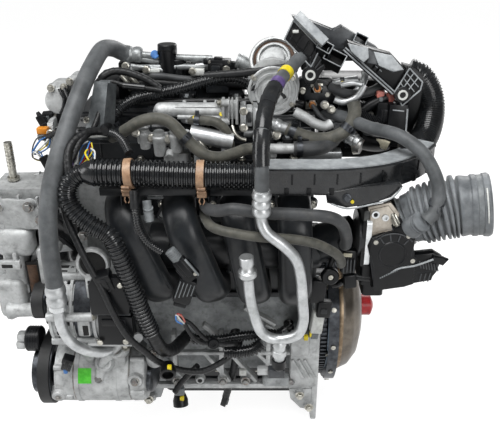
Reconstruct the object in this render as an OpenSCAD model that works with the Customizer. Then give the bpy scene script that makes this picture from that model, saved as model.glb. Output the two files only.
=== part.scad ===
// Transverse four-cylinder petrol engine. Its intake side is at -Y, its belt drive at -X and its torque
// converter
// at +X. Modules work in a frame whose Z is 0 at the crankshaft axis, and placed() stands the sump on Z 0.

/* [Crankcase] */
// Height of the crankshaft axis above the foot of the sump
crank_z = 190; // [158:1:230]
// Distance between neighbouring cylinder bores
bore_pitch = 92; // [91:1:98]
// Diameter of a cylinder bore
bore_d = 84; // [70:1:85]
// Piston stroke
stroke = 90; // [75:1:92]
// Height of the deck above the crankshaft axis
deck_h = 212; // [206:1:255]
// Sheet thickness of the sump
sump_wall = 4; // [3:0.5:5]

/* [Head] */
// Height of the cylinder head
head_h = 141; // [130:1:170]
// Height of the cam cover
cover_h = 100; // [90:1:120]
// Wall thickness of the cam cover
cover_wall = 4; // [3:0.5:5]

/* [Belt drive] */
// Depth of the timing case
case_depth = 55; // [50:1:62]
// Distance from the timing case to the middle of the belt
belt_gap = 73; // [66:1:88]
// Width of the belt
belt_w = 21; // [15:1:24]
// Thickness of the belt
belt_t = 4.5; // [3:0.5:5.5]
// Radius of the crankshaft pulley
crank_pulley_r = 66; // [55:1:68]
// Radius of the compressor pulley
compressor_pulley_r = 62; // [52:1:64]
// Radius of the alternator pulley
alternator_pulley_r = 28; // [23:1:34]
// Radius of the water pump pulley
pump_pulley_r = 48; // [40:1:52]
// Radius of the tensioner pulley
tensioner_pulley_r = 28; // [24:1:30]

/* [Accessories] */
// Radius of the compressor body
compressor_r = 60; // [50:1:62]
// Radius of the alternator body
alternator_r = 74; // [62:1:75]

/* [Intake] */
// Radius of the throttle bore
throttle_r = 32; // [26:1:34]
// Radius of the manifold's plenum
plenum_r = 42; // [36:1:43]
// Wall thickness of the rubber duct
duct_wall = 3; // [2:0.5:4]

/* [Output] */
// Radius of the torque converter
converter_r = 136; // [113:1:140]
// Radius of the starter ring gear over its teeth
ring_gear_r = 147; // [142:1:150]
// Radius of a gearbox bolt hole
gearbox_hole_r = 5.5; // [4.5:0.5:6.5]

/* [Hoses] */
// Radius of the suction hose
suction_r = 15.5; // [13:0.5:17]
// Radius of the discharge hose
discharge_r = 11; // [9:0.5:12]
// Radius of the metal refrigerant pipes
pipe_r = 8; // [6.5:0.5:9]
// Radius of the main wiring conduit
loom_r = 23; // [19:1:24]

/* [Hidden] */

$fn = 48;
fit = 0.05;        // running clearance of a shaft in its bore
gap = 0.3;         // space between pieces that don't touch
eps = 1;           // how far a cut runs past the surface it opens

// Crank train
cylinders = 4;
crank_throw = stroke / 2;
pin_r = 24;
pin_w = 24;
web_w = 18;
web_lip = 1;
journal_r = 26;
sweep_r = crank_throw + pin_r;
bay_r = sweep_r + 5;
bay_half = pin_w / 2 + web_w + 0.5;
bore_r = bore_d / 2;
cylinder_x = [for (i = [0:cylinders - 1]) (i - (cylinders - 1) / 2) * bore_pitch];
main_x = [for (i = [0:cylinders]) (i - cylinders / 2) * bore_pitch];
block_half = cylinders / 2 * bore_pitch + 8;
piston_h = deck_h - 1 - stroke - sweep_r - 2;

// Crankcase walls
skirt_y = 95;
skirt_z = 60;
barrel_y = 72;
bedplate_y = 105;
bedplate_h = 90;
jacket_w = 4;
jacket_depth = 90;

// Sump
pan_flange = 8;
pan_x0 = -120;
pan_y0 = -62;
pan_y1 = 88;
pan_z0 = -crank_z;
drain_x = 150;
drain_z = pan_z0 + 22;
drain_r = 7;

// Head and cam drive
gasket_t = 1.2;
head_z0 = deck_h + gasket_t;
head_z1 = deck_h + head_h;
cover_z1 = head_z1 + cover_h;
head_y = 95;
cam_y = 40;
cam_r = 14;
lobe_r = 17;
lobe_tip_r = 8;
lobe_lift = 17;
bearing_w = 20;
trough_z = head_z1 - lobe_lift - lobe_tip_r - 3;
well_r = 11.5;
tube_r = 14;
tube_z1 = cover_z1 - 12;
port_z = head_z1 - 56;
port_r = 17;
exhaust_port_z = head_z1 - 66;
cam_sprocket_r = 34;
chain_t = 5;
chain_w = 10;
chain_x = -block_half - 26;
crank_sprocket_r = (cam_sprocket_r + gap + chain_t / 2) / 2 - gap - chain_t / 2;

// Timing case, belt and pulleys, with places as [Y, Z]
case_x = -block_half - case_depth;
case_wall = 6;
belt_x = case_x - belt_gap;
pulley_w = belt_w + 4;
nose_r = 13;
pump_at = [30, deck_h - 72];
alternator_at = [-172, 125];
tensioner_at = [-112, 62];
pivot_at = [-90, 0];
compressor_at = [-175, -32];
spindle_r = 8;

// Accessories
compressor_x0 = belt_x + 20;
compressor_x1 = -127;
compressor_nose_r = 25;
alternator_x0 = belt_x + 34;
alternator_x1 = -165;
alternator_cover_x1 = -133;
alternator_shaft_r = 8.5;

// Output end
flange_t = 14;
flange_r = 160;
plate_t = 3;
plate_x = block_half + flange_t;
gearbox_dy = 112;
gearbox_dz = 145;
gearbox_mid_z = -20;
pad_r = 17;
flexplate_x = plate_x + plate_t + 4;
flexplate_t = 4;
converter_x = flexplate_x + flexplate_t + 8;
converter_w = 82;
hub_r = 22;

// Manifold and throttle
plenum_at = [-150, 232];
runner_w = 27;
runner_d = 22;
runner_wall = 3;
throttle_at = [-180, 275];
throttle_x0 = 268;
throttle_x1 = 322;
spigot_r = throttle_r + 5;
spigot_l = 20;

// Bend of the rubber duct away from the throttle's axis
duct_bend_r = 110;
duct_bend = 26;
duct_roll = 36;
duct_r = spigot_r + duct_wall;
mouth_r = 57;
duct_straight = 78;

// Routes, as [X, Y, Z] above the crankshaft axis
suction_route = [[-262, -256, 218.2], [-262, -256, 230], [-262, -255, 250], [-262, -252, 285], [-260,
    -241.5, 340], [-252, -215, 395],
    [-236, -165, 455], [-216, -105, 515], [-202, -50, 550], [-192, -12, 566], [-176, 16, 564], [-156, 29,
        551],
    [-144, 30, 548], [-134.4, 30, 548]];
suction_pipe_route = [[-262, -256, 172], [-262, -256, 160], [-260, -259, 130], [-248, -260, 98],
    [-226, -254, 74], [-202, -243, 60], [-187, -228, 55], [-178, -213, 51], [-176, -204, 46], [-176, -204,
        40.4]];
clamp_at = [-84, 30, 548];
discharge_route = [[89, -282, 400.2], [89, -282, 412], [89, -280, 430], [88, -270, 455], [90, -250, 486],
    [98, -205, 514],
    [114, -155, 532], [140, -100, 548], [160, -76, 562], [173, -60, 569], [174, -52, 570], [174, -46.6, 570]];
discharge_pipe_route = [[89, -282, 359], [89, -282, 350], [98, -287, 330], [124, -289, 308], [144, -288, 284],
    [153, -288, 254], [158, -288, 204], [161, -288, 160], [150, -288, 132], [115, -288, 124], [90, -288, 140],
    [77, -288, 178], [70, -288, 218], [67, -288, 253]];
coolant_route = [[-98.6, -112, 422], [-110, -112, 422], [-120, -112.5, 424], [-132, -116, 430], [-142, -124,
    446], [-136, -132, 462],
    [-116, -138, 472], [-88, -140, 474], [-64, -142, 464], [-38, -148, 438], [-10, -156, 414], [16, -154,
        406],
    [44, -140, 408], [62, -126, 410], [74, -122, 410], [83.5, -122, 410]];
heater_route = [[150.3, -122, 410], [166, -122, 410], [186, -120, 410], [206, -110, 412], [224, -88, 420],
    [232, -60, 428], [234, -40, 430], [234, -10.5, 430]];
purge_route = [[-12, -134, 368], [-11, -150, 364], [-9, -169, 351], [-7, -187, 341], [-4, -210, 341], [5,
    -232, 344], [22, -250, 351], [47, -259, 358],
    [90, -260, 352], [150, -262, 350], [199, -262, 345], [222, -250, 325], [233, -234, 292], [234, -221, 272],
    [234, -212.4, 270]];
vacuum_route = [[-13, -140, 345], [-12, -151, 333], [-8, -180, 319], [-6, -206, 318], [8, -246, 320], [36,
    -262, 318], [87, -266, 311],
    [140, -266, 307], [178, -264, 298], [212, -252, 274], [226, -234, 250], [230, -216, 231], [230, -204.4,
        230]];
breather_route = [[188.4, -20, 436], [200, -20, 436], [216, -42, 448], [240, -74, 452],
    [279, -120, 448], [318, -170, 442], [344, -198, 410], [359, -201, 362], [362, -202, 344], [362, -202,
        330.3]];
main_loom_route = [[-200, -217, 404], [-165, -217, 404], [-100, -217, 402], [-30, -216, 399], [40, -214, 397],
    [96, -212, 395]];
front_loom_route = [[-201.4, -217, 405], [-206, -217, 405], [-217, -220, 400], [-222, -229, 382], [-200,
    -241, 358], [-178, -248, 333],
    [-160, -251, 304], [-148, -255, 276], [-138, -256, 240], [-128, -256, 200], [-118, -256, 160],
    [-104, -252, 110], [-90, -240, 66], [-74, -214, 44], [-58, -184, 42], [-48, -168, 44]];
taped_route = [[-200, -160, 452], [-212, -184, 440], [-225, -203, 412], [-237, -216, 368], [-236, -226, 331],
    [-219, -242, 292], [-201, -252, 253], [-180, -260, 210], [-162, -266, 160], [-142, -266, 112],
    [-118, -254, 72]];
lower_loom_route = [[-46.4, -165.6, 44], [-36, -154, 43], [-18, -146, 42], [15, -142, 43], [50, -142, 48],
    [90, -142, 50],
    [125, -138, 40], [146, -124, 24], [150, -112, 20], [150, -104, 20], [150, -95.5, 20]];
tail_route = [[40, -142, 36], [44, -148, 12], [43, -152, -18], [38, -150, -55], [31, -146, -90], [23, -142,
    -125],
    [14, -140, -165]];
rear_loom_route = [[379.3, -108.5, 398.3], [390, -94, 402], [402, -70, 418], [408, -44, 444], [404, -24, 464],
    [396, -16, 470], [385, -15, 470]];
tray_route = [[100, -212, 394], [150, -210, 393], [220, -206, 392], [290, -186, 392], [345, -150, 394],
    [378, -110, 398]];

// Places and sizes that several sub-parts share
gearbox_bolts = [for (y = [-1, 1], z = [-1, 1]) [y * gearbox_dy, gearbox_mid_z + z * gearbox_dz]];
alternator_pad_y = -skirt_y;
filter_y = skirt_y + 14;
pan_bolts = [for (x = [-170, -85, 0, 85], y = [-1, 1]) [x, y * (bedplate_y - 7)]];
bolt_r = 2.5;
bolt_hole_r = 2.7;
bolt_head_r = 4.6;
bolt_head_h = 5;
cover_y = head_y - 9;
cover_x0 = case_x + 2;
cover_x1 = block_half - 4;
cover_rim = 9;
filler_at = [92, 54];
filler_r = 20;
cover_bolts = [for (x = [-170, -92, 0, 92, 170], y = [-1, 1]) [x, y * (cover_y + 5)]];
case_half = [[-bedplate_y, -bedplate_h], [-bedplate_y, skirt_z], [-82, skirt_z + 20], [-82, deck_h + 8],
    [-head_y, deck_h + 70], [-head_y, head_z1]];
case_inner = [for (p = case_half) [p.x + case_wall, p.y + (p.y < 0 ? case_wall : p.y == head_z1 ? eps : 0)]];
arm_x0 = belt_x + pulley_w / 2 + 4;
arm_x1 = arm_x0 + 11;
flange_z0 = port_z - 28;
flange_z1 = port_z + 28;
manifold_y = -head_y - 7;
runner_lean = [-22, -20, -11, -2];
runner_shift = [-1, 4, 8, 10];
arch_at = [-160, -22];
arch_r = 58;
drop_y = arch_at[0] - arch_r;
hook_at = [-181, -105];
hook_r = hook_at[0] - drop_y;
elbow_end = throttle_x0 - 5;
throttle_axis_x = 296;
shaft_r = 5;
throttle_boss = spigot_r + 12;
duct_x = throttle_x1 + 3;
cuff_l = spigot_l + 2;
nozzle_at = [362, -202, 330];
arm_reach = norm(tensioner_at - pivot_at);
arm_angle = atan2(tensioner_at[1] - pivot_at[1], tensioner_at[0] - pivot_at[0]);
belt_wheels = [[0, 0, crank_pulley_r, 1], [pump_at[0], pump_at[1], pump_pulley_r, 1],
    [alternator_at[0], alternator_at[1], alternator_pulley_r, 1],
    [tensioner_at[0], tensioner_at[1], tensioner_pulley_r, -1],
    [compressor_at[0], compressor_at[1], compressor_pulley_r, 1]];
chain_wheels = [[0, 0, crank_sprocket_r, 1], [cam_y, head_z1, cam_sprocket_r, 1],
    [-cam_y, head_z1, cam_sprocket_r, 1]];
mount_x = -360;
mount_y = -105;
stud_r = 7;
cooler_slope = 12;
outlet_at = [-40, 176, 96];
outlet_r = 26;
exhaust_ends = [[0, 1, 0], [0, 0, -1]];
dip_at = [-178, 114];
journal_half = bore_pitch / 2 - pin_w / 2 - web_w;
teeth = 96;
firing = [0, 90, 270, 180];

function unit(v) = v / norm(v);
function at(p, i) = p[max(0, min(len(p) - 1, i))];

// Smooth curve through points, with n steps to a span.
function between(a, b, c, d, t) = 0.5 * (2 * b + (c - a) * t + (2 * a - 5 * b + 4 * c - d) * t * t
    + (3 * b - a - 3 * c + d) * t * t * t);
function curve(p, n) = [for (i = [0:len(p) - 2]) for (k = [0:n - 1])
    between(at(p, i - 1), p[i], p[i + 1], at(p, i + 2), k / n), p[len(p) - 1]];

// Direction along a curve, and side vectors carried along it without twist.
function along(p) = [for (i = [0:len(p) - 1]) unit(at(p, i + 1) - at(p, i - 1))];
function sides(t, s = []) = len(s) == len(t) ? s :
    let (last = len(s) > 0 ? s[len(s) - 1] : abs(t[0].z) > 0.9 ? [0, 1, 0] : [t[0].y, -t[0].x, 0.01],
        d = t[len(s)])
    sides(t, concat(s, [unit(last - (last * d) * d)]));

// One ring of a sweep: n points on an ellipse, or on a rounded box where square is above 0.
function bulge(a, square) = 1 + square * pow(abs(sin(2 * a)), 2);
function ring(c, s, d, ru, rv, n, square) = let (v = cross(d, s))
    [for (k = [0:n - 1]) let (a = (k + 0.5) * 360 / n) c + bulge(a,
        square) * (ru * cos(a) * s + rv * sin(a) * v)];
function skin(first, rings, n, flip) = [for (i = [0:rings - 2]) for (k = [0:n - 1])
    let (a = first + i * n + k, b = first + i * n + (k + 1) % n)
    flip ? [a, a + n, b + n, b] : [a, b, b + n, a + n]];

// A solid bar or, where wall is above 0, a hollow tube along a list of rings' centres.
module sweep(c, ru, rv, wall = 0, n = 10, square = 0, first_side = [], ends = []) {
    m = len(c);
    d = [for (i = [0:m - 1]) ends == [] ? along(c)[i] : i == 0 ? ends[0] : i == m - 1 ? ends[1]
        : along(c)[i]];
    s = first_side == [] ? sides(d) : sides(d, [unit(first_side - (first_side * d[0]) * d[0])]);
    outer = [for (i = [0:m - 1]) each ring(c[i], s[i], d[i], ru, rv, n, square)];
    inner = wall == 0 ? [] : [for (i = [0:m - 1]) each ring(c[i], s[i], d[i], ru - wall, rv - wall, n,
        square)];
    caps = wall == 0 ? [[for (k = [0:n - 1]) k], [for (k = [0:n - 1]) m * n - 1 - k]]
        : [for (k = [0:n - 1]) let (j = (k + 1) % n) each [[k, j, m * n + j, m * n + k],
            [(m - 1) * n + k, (2 * m - 1) * n + k, (2 * m - 1) * n + j, (m - 1) * n + j]]];
    polyhedron(concat(outer, inner),
        concat(caps, skin(0, m, n, true), wall == 0 ? [] : skin(m * n, m, n, false)));
}
// A round tube along a route, with square ends.
module tube(route, r, wall = 0, steps = 3, n = 10) {
    last = len(route) - 1;
    sweep(curve(route, steps), r, r, wall, n, ends = [unit(route[1] - route[0]),
        unit(route[last] - route[last - 1])]);
}

// Cylinders along X and Y, and an outline in Y and Z drawn along X.
module bar_x(x0, x1, r, r2 = 0) translate([x0, 0, 0]) rotate([0, 90, 0])
    cylinder(r1 = r, r2 = r2 == 0 ? r : r2, h = x1 - x0);
module bar_y(y0, y1, r) translate([0, y0, 0]) rotate([-90, 0, 0]) cylinder(r = r, h = y1 - y0);
module bar_z(z0, z1, r) translate([0, 0, z0]) cylinder(r = r, h = z1 - z0);
module drawn_x(x0, x1) translate([x0, 0, 0]) rotate([90, 0, 90]) linear_extrude(x1 - x0) children();
module drawn_y(y0, y1) translate([0, y1, 0]) rotate([90, 0, 0]) linear_extrude(y1 - y0) children();
module box(x0, x1, y0, y1, z0, z1) translate([x0, y0, z0]) cube([x1 - x0, y1 - y0, z1 - z0]);
module at_yz(p) translate([0, p[0], p[1]]) children();
module placed() translate([0, 0, crank_z]) children();
module rounded(x0, x1, y0, y1, r) {
    translate([x0 + r, y0]) square([x1 - x0 - 2 * r, y1 - y0]);
    translate([x0, y0 + r]) square([x1 - x0, y1 - y0 - 2 * r]);
    for (x = [x0 + r, x1 - r], y = [y0 + r, y1 - r])
        translate([x, y]) circle(r);
}
module rounded_box(x0, x1, y0, y1, z0, z1, r) translate([0, 0, z0]) linear_extrude(z1 - z0)
    rounded(x0, x1, y0, y1, r);
module mirrored_outline(half) polygon(concat(half, [for (i = [len(half) - 1:-1:0]) [-half[i].x, half[i].y]]));

// Gearbox flange, drawn whole and then cut to the height of each casting that carries a share of it.
module gearbox_flange(z0, z1) {
    low = max(z0, gearbox_mid_z - gearbox_dz - pad_r);
    intersection() {
        drawn_x(block_half, plate_x) difference() {
            union() {
                circle(flange_r);
                for (p = gearbox_bolts) {
                    translate(p) circle(pad_r);
                    rotate(atan2(p[1], p[0])) translate([0, -pad_r]) square([norm(p), 2 * pad_r]);
                }
            }
            circle(journal_r + fit);
        }
        box(block_half, plate_x, -200, 200, low, z1);
    }
}
module gearbox_holes() for (p = gearbox_bolts) at_yz(p)
    bar_x(block_half - eps, plate_x + plate_t + eps, gearbox_hole_r);

module crank_bays() for (x = cylinder_x) bar_x(x - bay_half, x + bay_half, bay_r);
module crank_tunnel() bar_x(-block_half - eps, plate_x + eps, journal_r + fit);
module jackets(z0, z1) translate([0, 0, z0]) linear_extrude(z1 - z0) difference() {
    for (x = cylinder_x) translate([x, 0]) circle(bore_r + 2 * jacket_w);
    for (x = cylinder_x) translate([x, 0]) circle(bore_r + jacket_w);
    // Neighbouring bores are joined by a wall
    for (i = [1:cylinders - 1]) translate([main_x[i], 0]) square([2 * jacket_w, bore_r + jacket_w],
        center = true);
}

module cylinder_block() placed() color("silver") difference() {
    union() {
        drawn_x(-block_half, block_half) mirrored_outline([[-skirt_y, 0], [-skirt_y, skirt_z],
            [-barrel_y, skirt_z + 40], [-barrel_y, deck_h]]);
        gearbox_flange(0, flange_r);
        // Pads for the alternator, the oil filter and the manifold's stay
        box(-190, -150, alternator_pad_y, -barrel_y, 108, 152);
        at_yz([0, 20]) translate([60, 0, 0]) bar_y(skirt_y, filter_y, 32);
        for (x = [-100, 100]) box(x - 12, x + 12, -skirt_y, -barrel_y, 70, 150);
        // Ribs down the barrel on both sides
        for (x = main_x, side = [-1, 1]) box(max(x, -block_half) - (x == main_x[cylinders] ? 6 : 0),
            max(x, -block_half) + (x == main_x[cylinders] ? 0 : 6), side < 0 ? -skirt_y + 8 : barrel_y,
            side < 0 ? -barrel_y : skirt_y - 8, skirt_z, deck_h - 20);
    }
    for (x = cylinder_x) translate([x, 0, 0]) bar_z(skirt_z, deck_h + eps, bore_r);
    crank_bays();
    crank_tunnel();
    jackets(deck_h - jacket_depth, deck_h + eps);
    gearbox_holes();
    box(-block_half - eps, plate_x + eps, -bedplate_y, bedplate_y, -flange_r, 0);
}

module bedplate() placed() color("silver") difference() {
    union() {
        drawn_x(-block_half, block_half) mirrored_outline([[-bedplate_y, -bedplate_h], [-bedplate_y, -12],
            [-skirt_y, 0]]);
        gearbox_flange(-bedplate_h, 0);
    }
    for (x = cylinder_x) box(x - bay_half, x + bay_half, -bay_r - 8, bay_r + 8, -bedplate_h - eps, eps);
    crank_tunnel();
    gearbox_holes();
    for (x = main_x) for (y = [-1, 1]) if (abs(x) < block_half - 30)
        translate([x, y * (journal_r + 18), 0]) bar_z(-bedplate_h - eps, -20, 8);
}

module oil_pan() placed() color("silver") difference() {
    union() {
        rounded_box(-block_half, block_half, -bedplate_y, bedplate_y, -bedplate_h - pan_flange, -bedplate_h,
            12);
        box(-block_half + 12, pan_x0 + 20, -bedplate_y + 14, pan_y1, -bedplate_h - 34,
            -bedplate_h - pan_flange);
        rounded_box(pan_x0, block_half - 4, pan_y0, pan_y1, pan_z0, -bedplate_h - pan_flange, 18);
        for (x = [-60, 0, 60, 120]) box(x, x + 5, pan_y0 - 24, pan_y0 + 10, -bedplate_h - 46,
            -bedplate_h - pan_flange);
        gearbox_flange(-flange_r - 30, -bedplate_h);
        box(block_half - 12, plate_x - 6, -gearbox_dy, gearbox_dy, -bedplate_h - pan_flange, -bedplate_h);
    }
    rounded_box(pan_x0 + sump_wall, block_half - 4 - sump_wall, pan_y0 + sump_wall, pan_y1 - sump_wall,
        pan_z0 + sump_wall, -bedplate_h - pan_flange - sump_wall, 18 - sump_wall);
    rounded_box(pan_x0 + sump_wall, block_half - 4 - sump_wall, pan_y0 + sump_wall, pan_y1 - sump_wall,
        -bedplate_h - pan_flange - sump_wall - eps, -bedplate_h + eps, 18 - sump_wall);
    box(-block_half + 12 + sump_wall, pan_x0 + 20, -bedplate_y + 14 + sump_wall, pan_y1 - sump_wall,
        -bedplate_h - 34 + sump_wall, -bedplate_h + eps);
    gearbox_holes();
    translate([drain_x, 0, drain_z]) bar_y(pan_y1 - 20, pan_y1 + eps, drain_r);
    pan_bolt_holes();
}
module pan_bolt_holes() for (p = pan_bolts) translate([p.x, p.y, 0])
    bar_z(-bedplate_h - pan_flange - eps, -bedplate_h + eps, bolt_hole_r);

// Camshaft tunnels, plug tubes and the trough that the lobes turn in
module cam_tunnels() for (y = [-cam_y, cam_y]) at_yz([y, head_z1])
    bar_x(-block_half - eps, block_half - 8, cam_r + fit);
module cylinder_head() placed() color("lightgray") difference() {
    union() {
        difference() {
            box(-block_half, block_half - 2, -head_y, head_y, head_z0, head_z1);
            for (i = [0:cylinders - 1]) box(main_x[i] + bearing_w / 2, main_x[i + 1] - bearing_w / 2,
                -head_y + 12, head_y - 12, trough_z, head_z1 + eps);
            cam_tunnels();
        }
        for (x = cylinder_x) translate([x, 0, 0]) bar_z(trough_z - 5, tube_z1, tube_r);
        box(block_half - 2, block_half + 24, -30, 60, head_z1 - 70, head_z1 - 10);
    }
    for (x = cylinder_x) translate([x, 0, 0]) {
        bar_z(head_z0 - eps, head_z0 + 10, bore_r - 2);
        bar_z(head_z0, tube_z1 + eps, well_r);
        for (dx = [-15, 15]) translate([dx, 0, 0]) {
            translate([0, -22, 0]) bar_z(head_z0, port_z, 13);
            translate([0, 22, 0]) bar_z(head_z0, exhaust_port_z, 12);
        }
        translate([0, 0, port_z]) bar_y(-head_y - eps, -20, port_r);
        translate([0, 0, exhaust_port_z]) bar_y(20, head_y + eps, port_r);
    }
    cover_bolt_holes();
}

module head_gasket() placed() color("dimgray") translate([0, 0,
    deck_h]) linear_extrude(gasket_t) difference() {
    translate([-block_half, -barrel_y]) square([2 * block_half - 2, 2 * barrel_y]);
    for (x = cylinder_x) translate([x, 0]) circle(bore_r);
}

module cover_bolt_holes() for (p = cover_bolts) translate([p.x, p.y, 0])
    bar_z(head_z1 - 20, head_z1 + cover_rim + eps, bolt_hole_r);
module cam_cover() placed() color("dimgray") difference() {
    union() {
        drawn_x(cover_x0, cover_x1) mirrored_outline([[-cover_y, head_z1], [-cover_y, cover_z1 - 26],
            [-cover_y + 22, cover_z1]]);
        for (p = cover_bolts) translate([p.x, p.y, 0]) bar_z(head_z1, head_z1 + cover_rim, 7);
        for (x = cylinder_x) box(x - 18, x + 18, -18, 40, cover_z1 - 1, cover_z1 + 5);
        for (x = [-190, -92, 0, 92, 150]) box(x, x + 4, -cover_y + 24, -26, cover_z1 - 1, cover_z1 + 4);
        translate([filler_at.x, filler_at.y, 0]) bar_z(cover_z1 - 1, cover_z1 + 14, filler_r);
    }
    drawn_x(cover_x0 + cover_wall, cover_x1 - cover_wall) mirrored_outline([[-cover_y + cover_wall,
        head_z1 - eps],
        [-cover_y + cover_wall, cover_z1 - 27], [-cover_y + 23, cover_z1 - cover_wall]]);
    for (x = cylinder_x) translate([x, 0, 0]) bar_z(tube_z1 - 10, cover_z1 + 6 + eps, tube_r + 0.1);
    translate([filler_at.x, filler_at.y, 0]) bar_z(cover_z1 - 10, cover_z1 + 15, filler_r - 4);
    cover_bolt_holes();
}

module cam_caps() placed() color("silver") difference() {
    for (x = [for (i = [0:cylinders]) i == 0 ? main_x[0] - 2 : i == cylinders ? main_x[i] - 12 : main_x[i]],
        y = [-cam_y, cam_y])
        box(x - bearing_w / 2 + 3, x + bearing_w / 2 - 3, y - 24, y + 24, head_z1, head_z1 + 22);
    cam_tunnels();
}

// Timing case with its chain space, water pump boss and tensioner boss
module front_cover() placed() color("gainsboro") difference() {
    union() {
        difference() {
            drawn_x(case_x, -block_half) mirrored_outline(case_half);
            drawn_x(case_x + case_wall, -block_half + eps) mirrored_outline(case_inner);
        }
        at_yz([0, 0]) bar_x(case_x - 8, case_x + case_wall, 34);
        at_yz(pump_at) bar_x(case_x - 44, case_x + case_wall, 26);
        at_yz(pump_at) bar_x(case_x - 12, case_x, 44);
        at_yz(pump_at) bar_x(belt_x - pulley_w / 2 + 4, case_x - 44, spindle_r);
        at_yz(pivot_at) bar_x(arm_x1 + gap, case_x + case_wall, 14);
        at_yz(pivot_at) bar_x(arm_x0 - 3, arm_x1 + gap, spindle_r);
        // Flanges along both edges and ribs across the face
        for (z = [-60, 40, 240, 320]) box(case_x - 4, case_x, -78, 78, z, z + 5);
        for (y = [-70, 65]) box(case_x - 4, case_x, y, y + 5, -60, 320);
        box(case_x - 10, case_x, -80, 62, deck_h + 2, head_z1 - 4);
    }
    bar_x(case_x - 9, case_x + case_wall + eps, nose_r + 4);
}

// Cap over the camshafts' phasers, at the front of the cam cover
module phaser_cover() placed() color("gainsboro") union() {
    difference() {
        union() {
            for (y = [-cam_y, cam_y]) at_yz([y, head_z1 + 46]) bar_x(cover_x0 - 34, cover_x0, 36);
            drawn_x(cover_x0 - 12, cover_x0) mirrored_outline([[-86, head_z1 + 4], [-86, head_z1 + 66],
                [-66, cover_z1 - 8]]);
        }
        for (y = [-cam_y, cam_y]) at_yz([y, head_z1 + 46]) bar_x(cover_x0 - 28, cover_x0 - 12 + eps, 30);
    }
    for (y = [-cam_y, cam_y]) at_yz([y, head_z1 + 46]) bar_x(cover_x0 - 46, cover_x0 - 34, 15);
}

// Intake manifold: four runners that leave the head, arch over and wrap down around the plenum. Each is drawn
// as a band in its own plane, from its port, and the plane leans about the port.
module arc_band(at, r, h) translate(at) difference() {
    circle(r + h, $fn = 64);
    circle(r - h, $fn = 64);
}
module runner_band(h, arch_past, stub_past) {
    intersection() {
        arc_band(arch_at, arch_r, h);
        translate([-260, arch_at[1]]) square([260 + manifold_y + arch_past, 120]);
    }
    translate([drop_y - h, hook_at[1]]) square([2 * h, arch_at[1] - hook_at[1]]);
    intersection() {
        arc_band(hook_at, hook_r, h);
        translate([-260, hook_at[1] - 80]) square([200, 80]);
    }
    translate([hook_at[0] + hook_r - h, hook_at[1]]) square([2 * h, 20]);
    translate([manifold_y - 22, -h]) square([22 + stub_past, 2 * h]);
}
module runners(inset, arch_past, stub_past) for (i = [0:cylinders - 1])
    translate([cylinder_x[i] + runner_shift[i], 0, port_z]) rotate([0, runner_lean[i], 0])
        drawn_x(-runner_w + inset, runner_w - inset) runner_band(runner_d - inset, arch_past,
            stub_past + i % 2 / 2);
module elbow(r, x0) intersection() {
    from = [x0, plenum_at[0], plenum_at[1]];
    reach = [throttle_x0 + 10, throttle_at[0], throttle_at[1]] - from;
    translate(from) rotate([0, acos(reach.z / norm(reach)), atan2(reach.y, reach.x)])
        cylinder(r = r, h = norm(reach));
    box(x0, elbow_end, -300, 0, 0, 400);
}
module intake_manifold() placed() color("#34373a") difference() {
    union() {
        runners(0, 1, 1.5);
        at_yz(plenum_at) bar_x(-112, 200, plenum_r);
        elbow(spigot_r + 2, 184);
        at_yz(throttle_at) bar_x(throttle_x0 - 9, throttle_x0, spigot_r + 9);
        box(-172, 182, manifold_y, -head_y, flange_z0, flange_z1);
        box(-184, 176, -196, -184, port_z + 55, port_z + 70);
        translate([234, 0, 270]) bar_y(-212, -175, 6);
        translate([230, 0, 230]) bar_y(-204, -175, 5);
    }
    runners(runner_wall, -3, 3);
    at_yz(plenum_at) bar_x(-112 + runner_wall, 200 - runner_wall, plenum_r - runner_wall);
    elbow(spigot_r - 2, 190);
    at_yz(throttle_at) bar_x(throttle_x0 - 12, throttle_x0 + eps, throttle_r);
    for (x = cylinder_x) translate([x, 0, port_z]) bar_y(manifold_y - 4, -head_y + eps, port_r);
}

module throttle_body() placed() at_yz(throttle_at) color("silver") difference() {
    union() {
        bar_x(throttle_x0, throttle_x1, spigot_r + 4);
        drawn_x(throttle_x0, throttle_x0 + 9) rounded(-45, 45, -45, 45, 10);
        bar_x(throttle_x1, throttle_x1 + spigot_l, spigot_r);
        translate([throttle_axis_x, 0, 0]) bar_z(-throttle_boss, throttle_boss, 12);
        box(throttle_axis_x - 22, throttle_axis_x + 22, -30, 30, -throttle_boss, -spigot_r + 6);
    }
    bar_x(throttle_x0 - eps, throttle_x1 + spigot_l + eps, throttle_r);
    translate([throttle_axis_x, 0, 0]) bar_z(-throttle_boss - eps, throttle_boss - 3, shaft_r + fit);
    for (y = [-37, 37], z = [-37, 37]) at_yz([y, z]) bar_x(throttle_x0 - eps, throttle_x0 + 10, bolt_hole_r);
}
module throttle_plate() placed() at_yz(throttle_at) color("goldenrod") translate([throttle_axis_x, 0, 0]) {
    bar_z(-throttle_boss - 12, throttle_boss - 4, shaft_r);
    rotate([0, 90, 0]) translate([0, 0, -1.5]) cylinder(r = throttle_r - 0.2, h = 3);
}
module throttle_motor() placed() at_yz(throttle_at) color("#222426") difference() {
    union() {
        translate([throttle_axis_x, 0, 0]) rounded_box(-30, 44, -34, 34, -throttle_boss - 40,
            -throttle_boss, 8);
        translate([throttle_axis_x, 0, 0]) rounded_box(-24, 14, -34, 10, -throttle_boss - 62,
            -throttle_boss - 40, 8);
        box(throttle_axis_x + 44, throttle_axis_x + 74, -26, 6, -throttle_boss - 30, -throttle_boss - 2);
        box(throttle_axis_x + 50, throttle_axis_x + 56, -30, 10, -throttle_boss - 34, -throttle_boss + 2);
    }
    translate([throttle_axis_x, 0, 0]) bar_z(-throttle_boss - 14, -throttle_boss + eps, 9);
    box(throttle_axis_x + 64, throttle_axis_x + 75, -22, 2, -throttle_boss - 26, -throttle_boss - 6);
}

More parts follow.
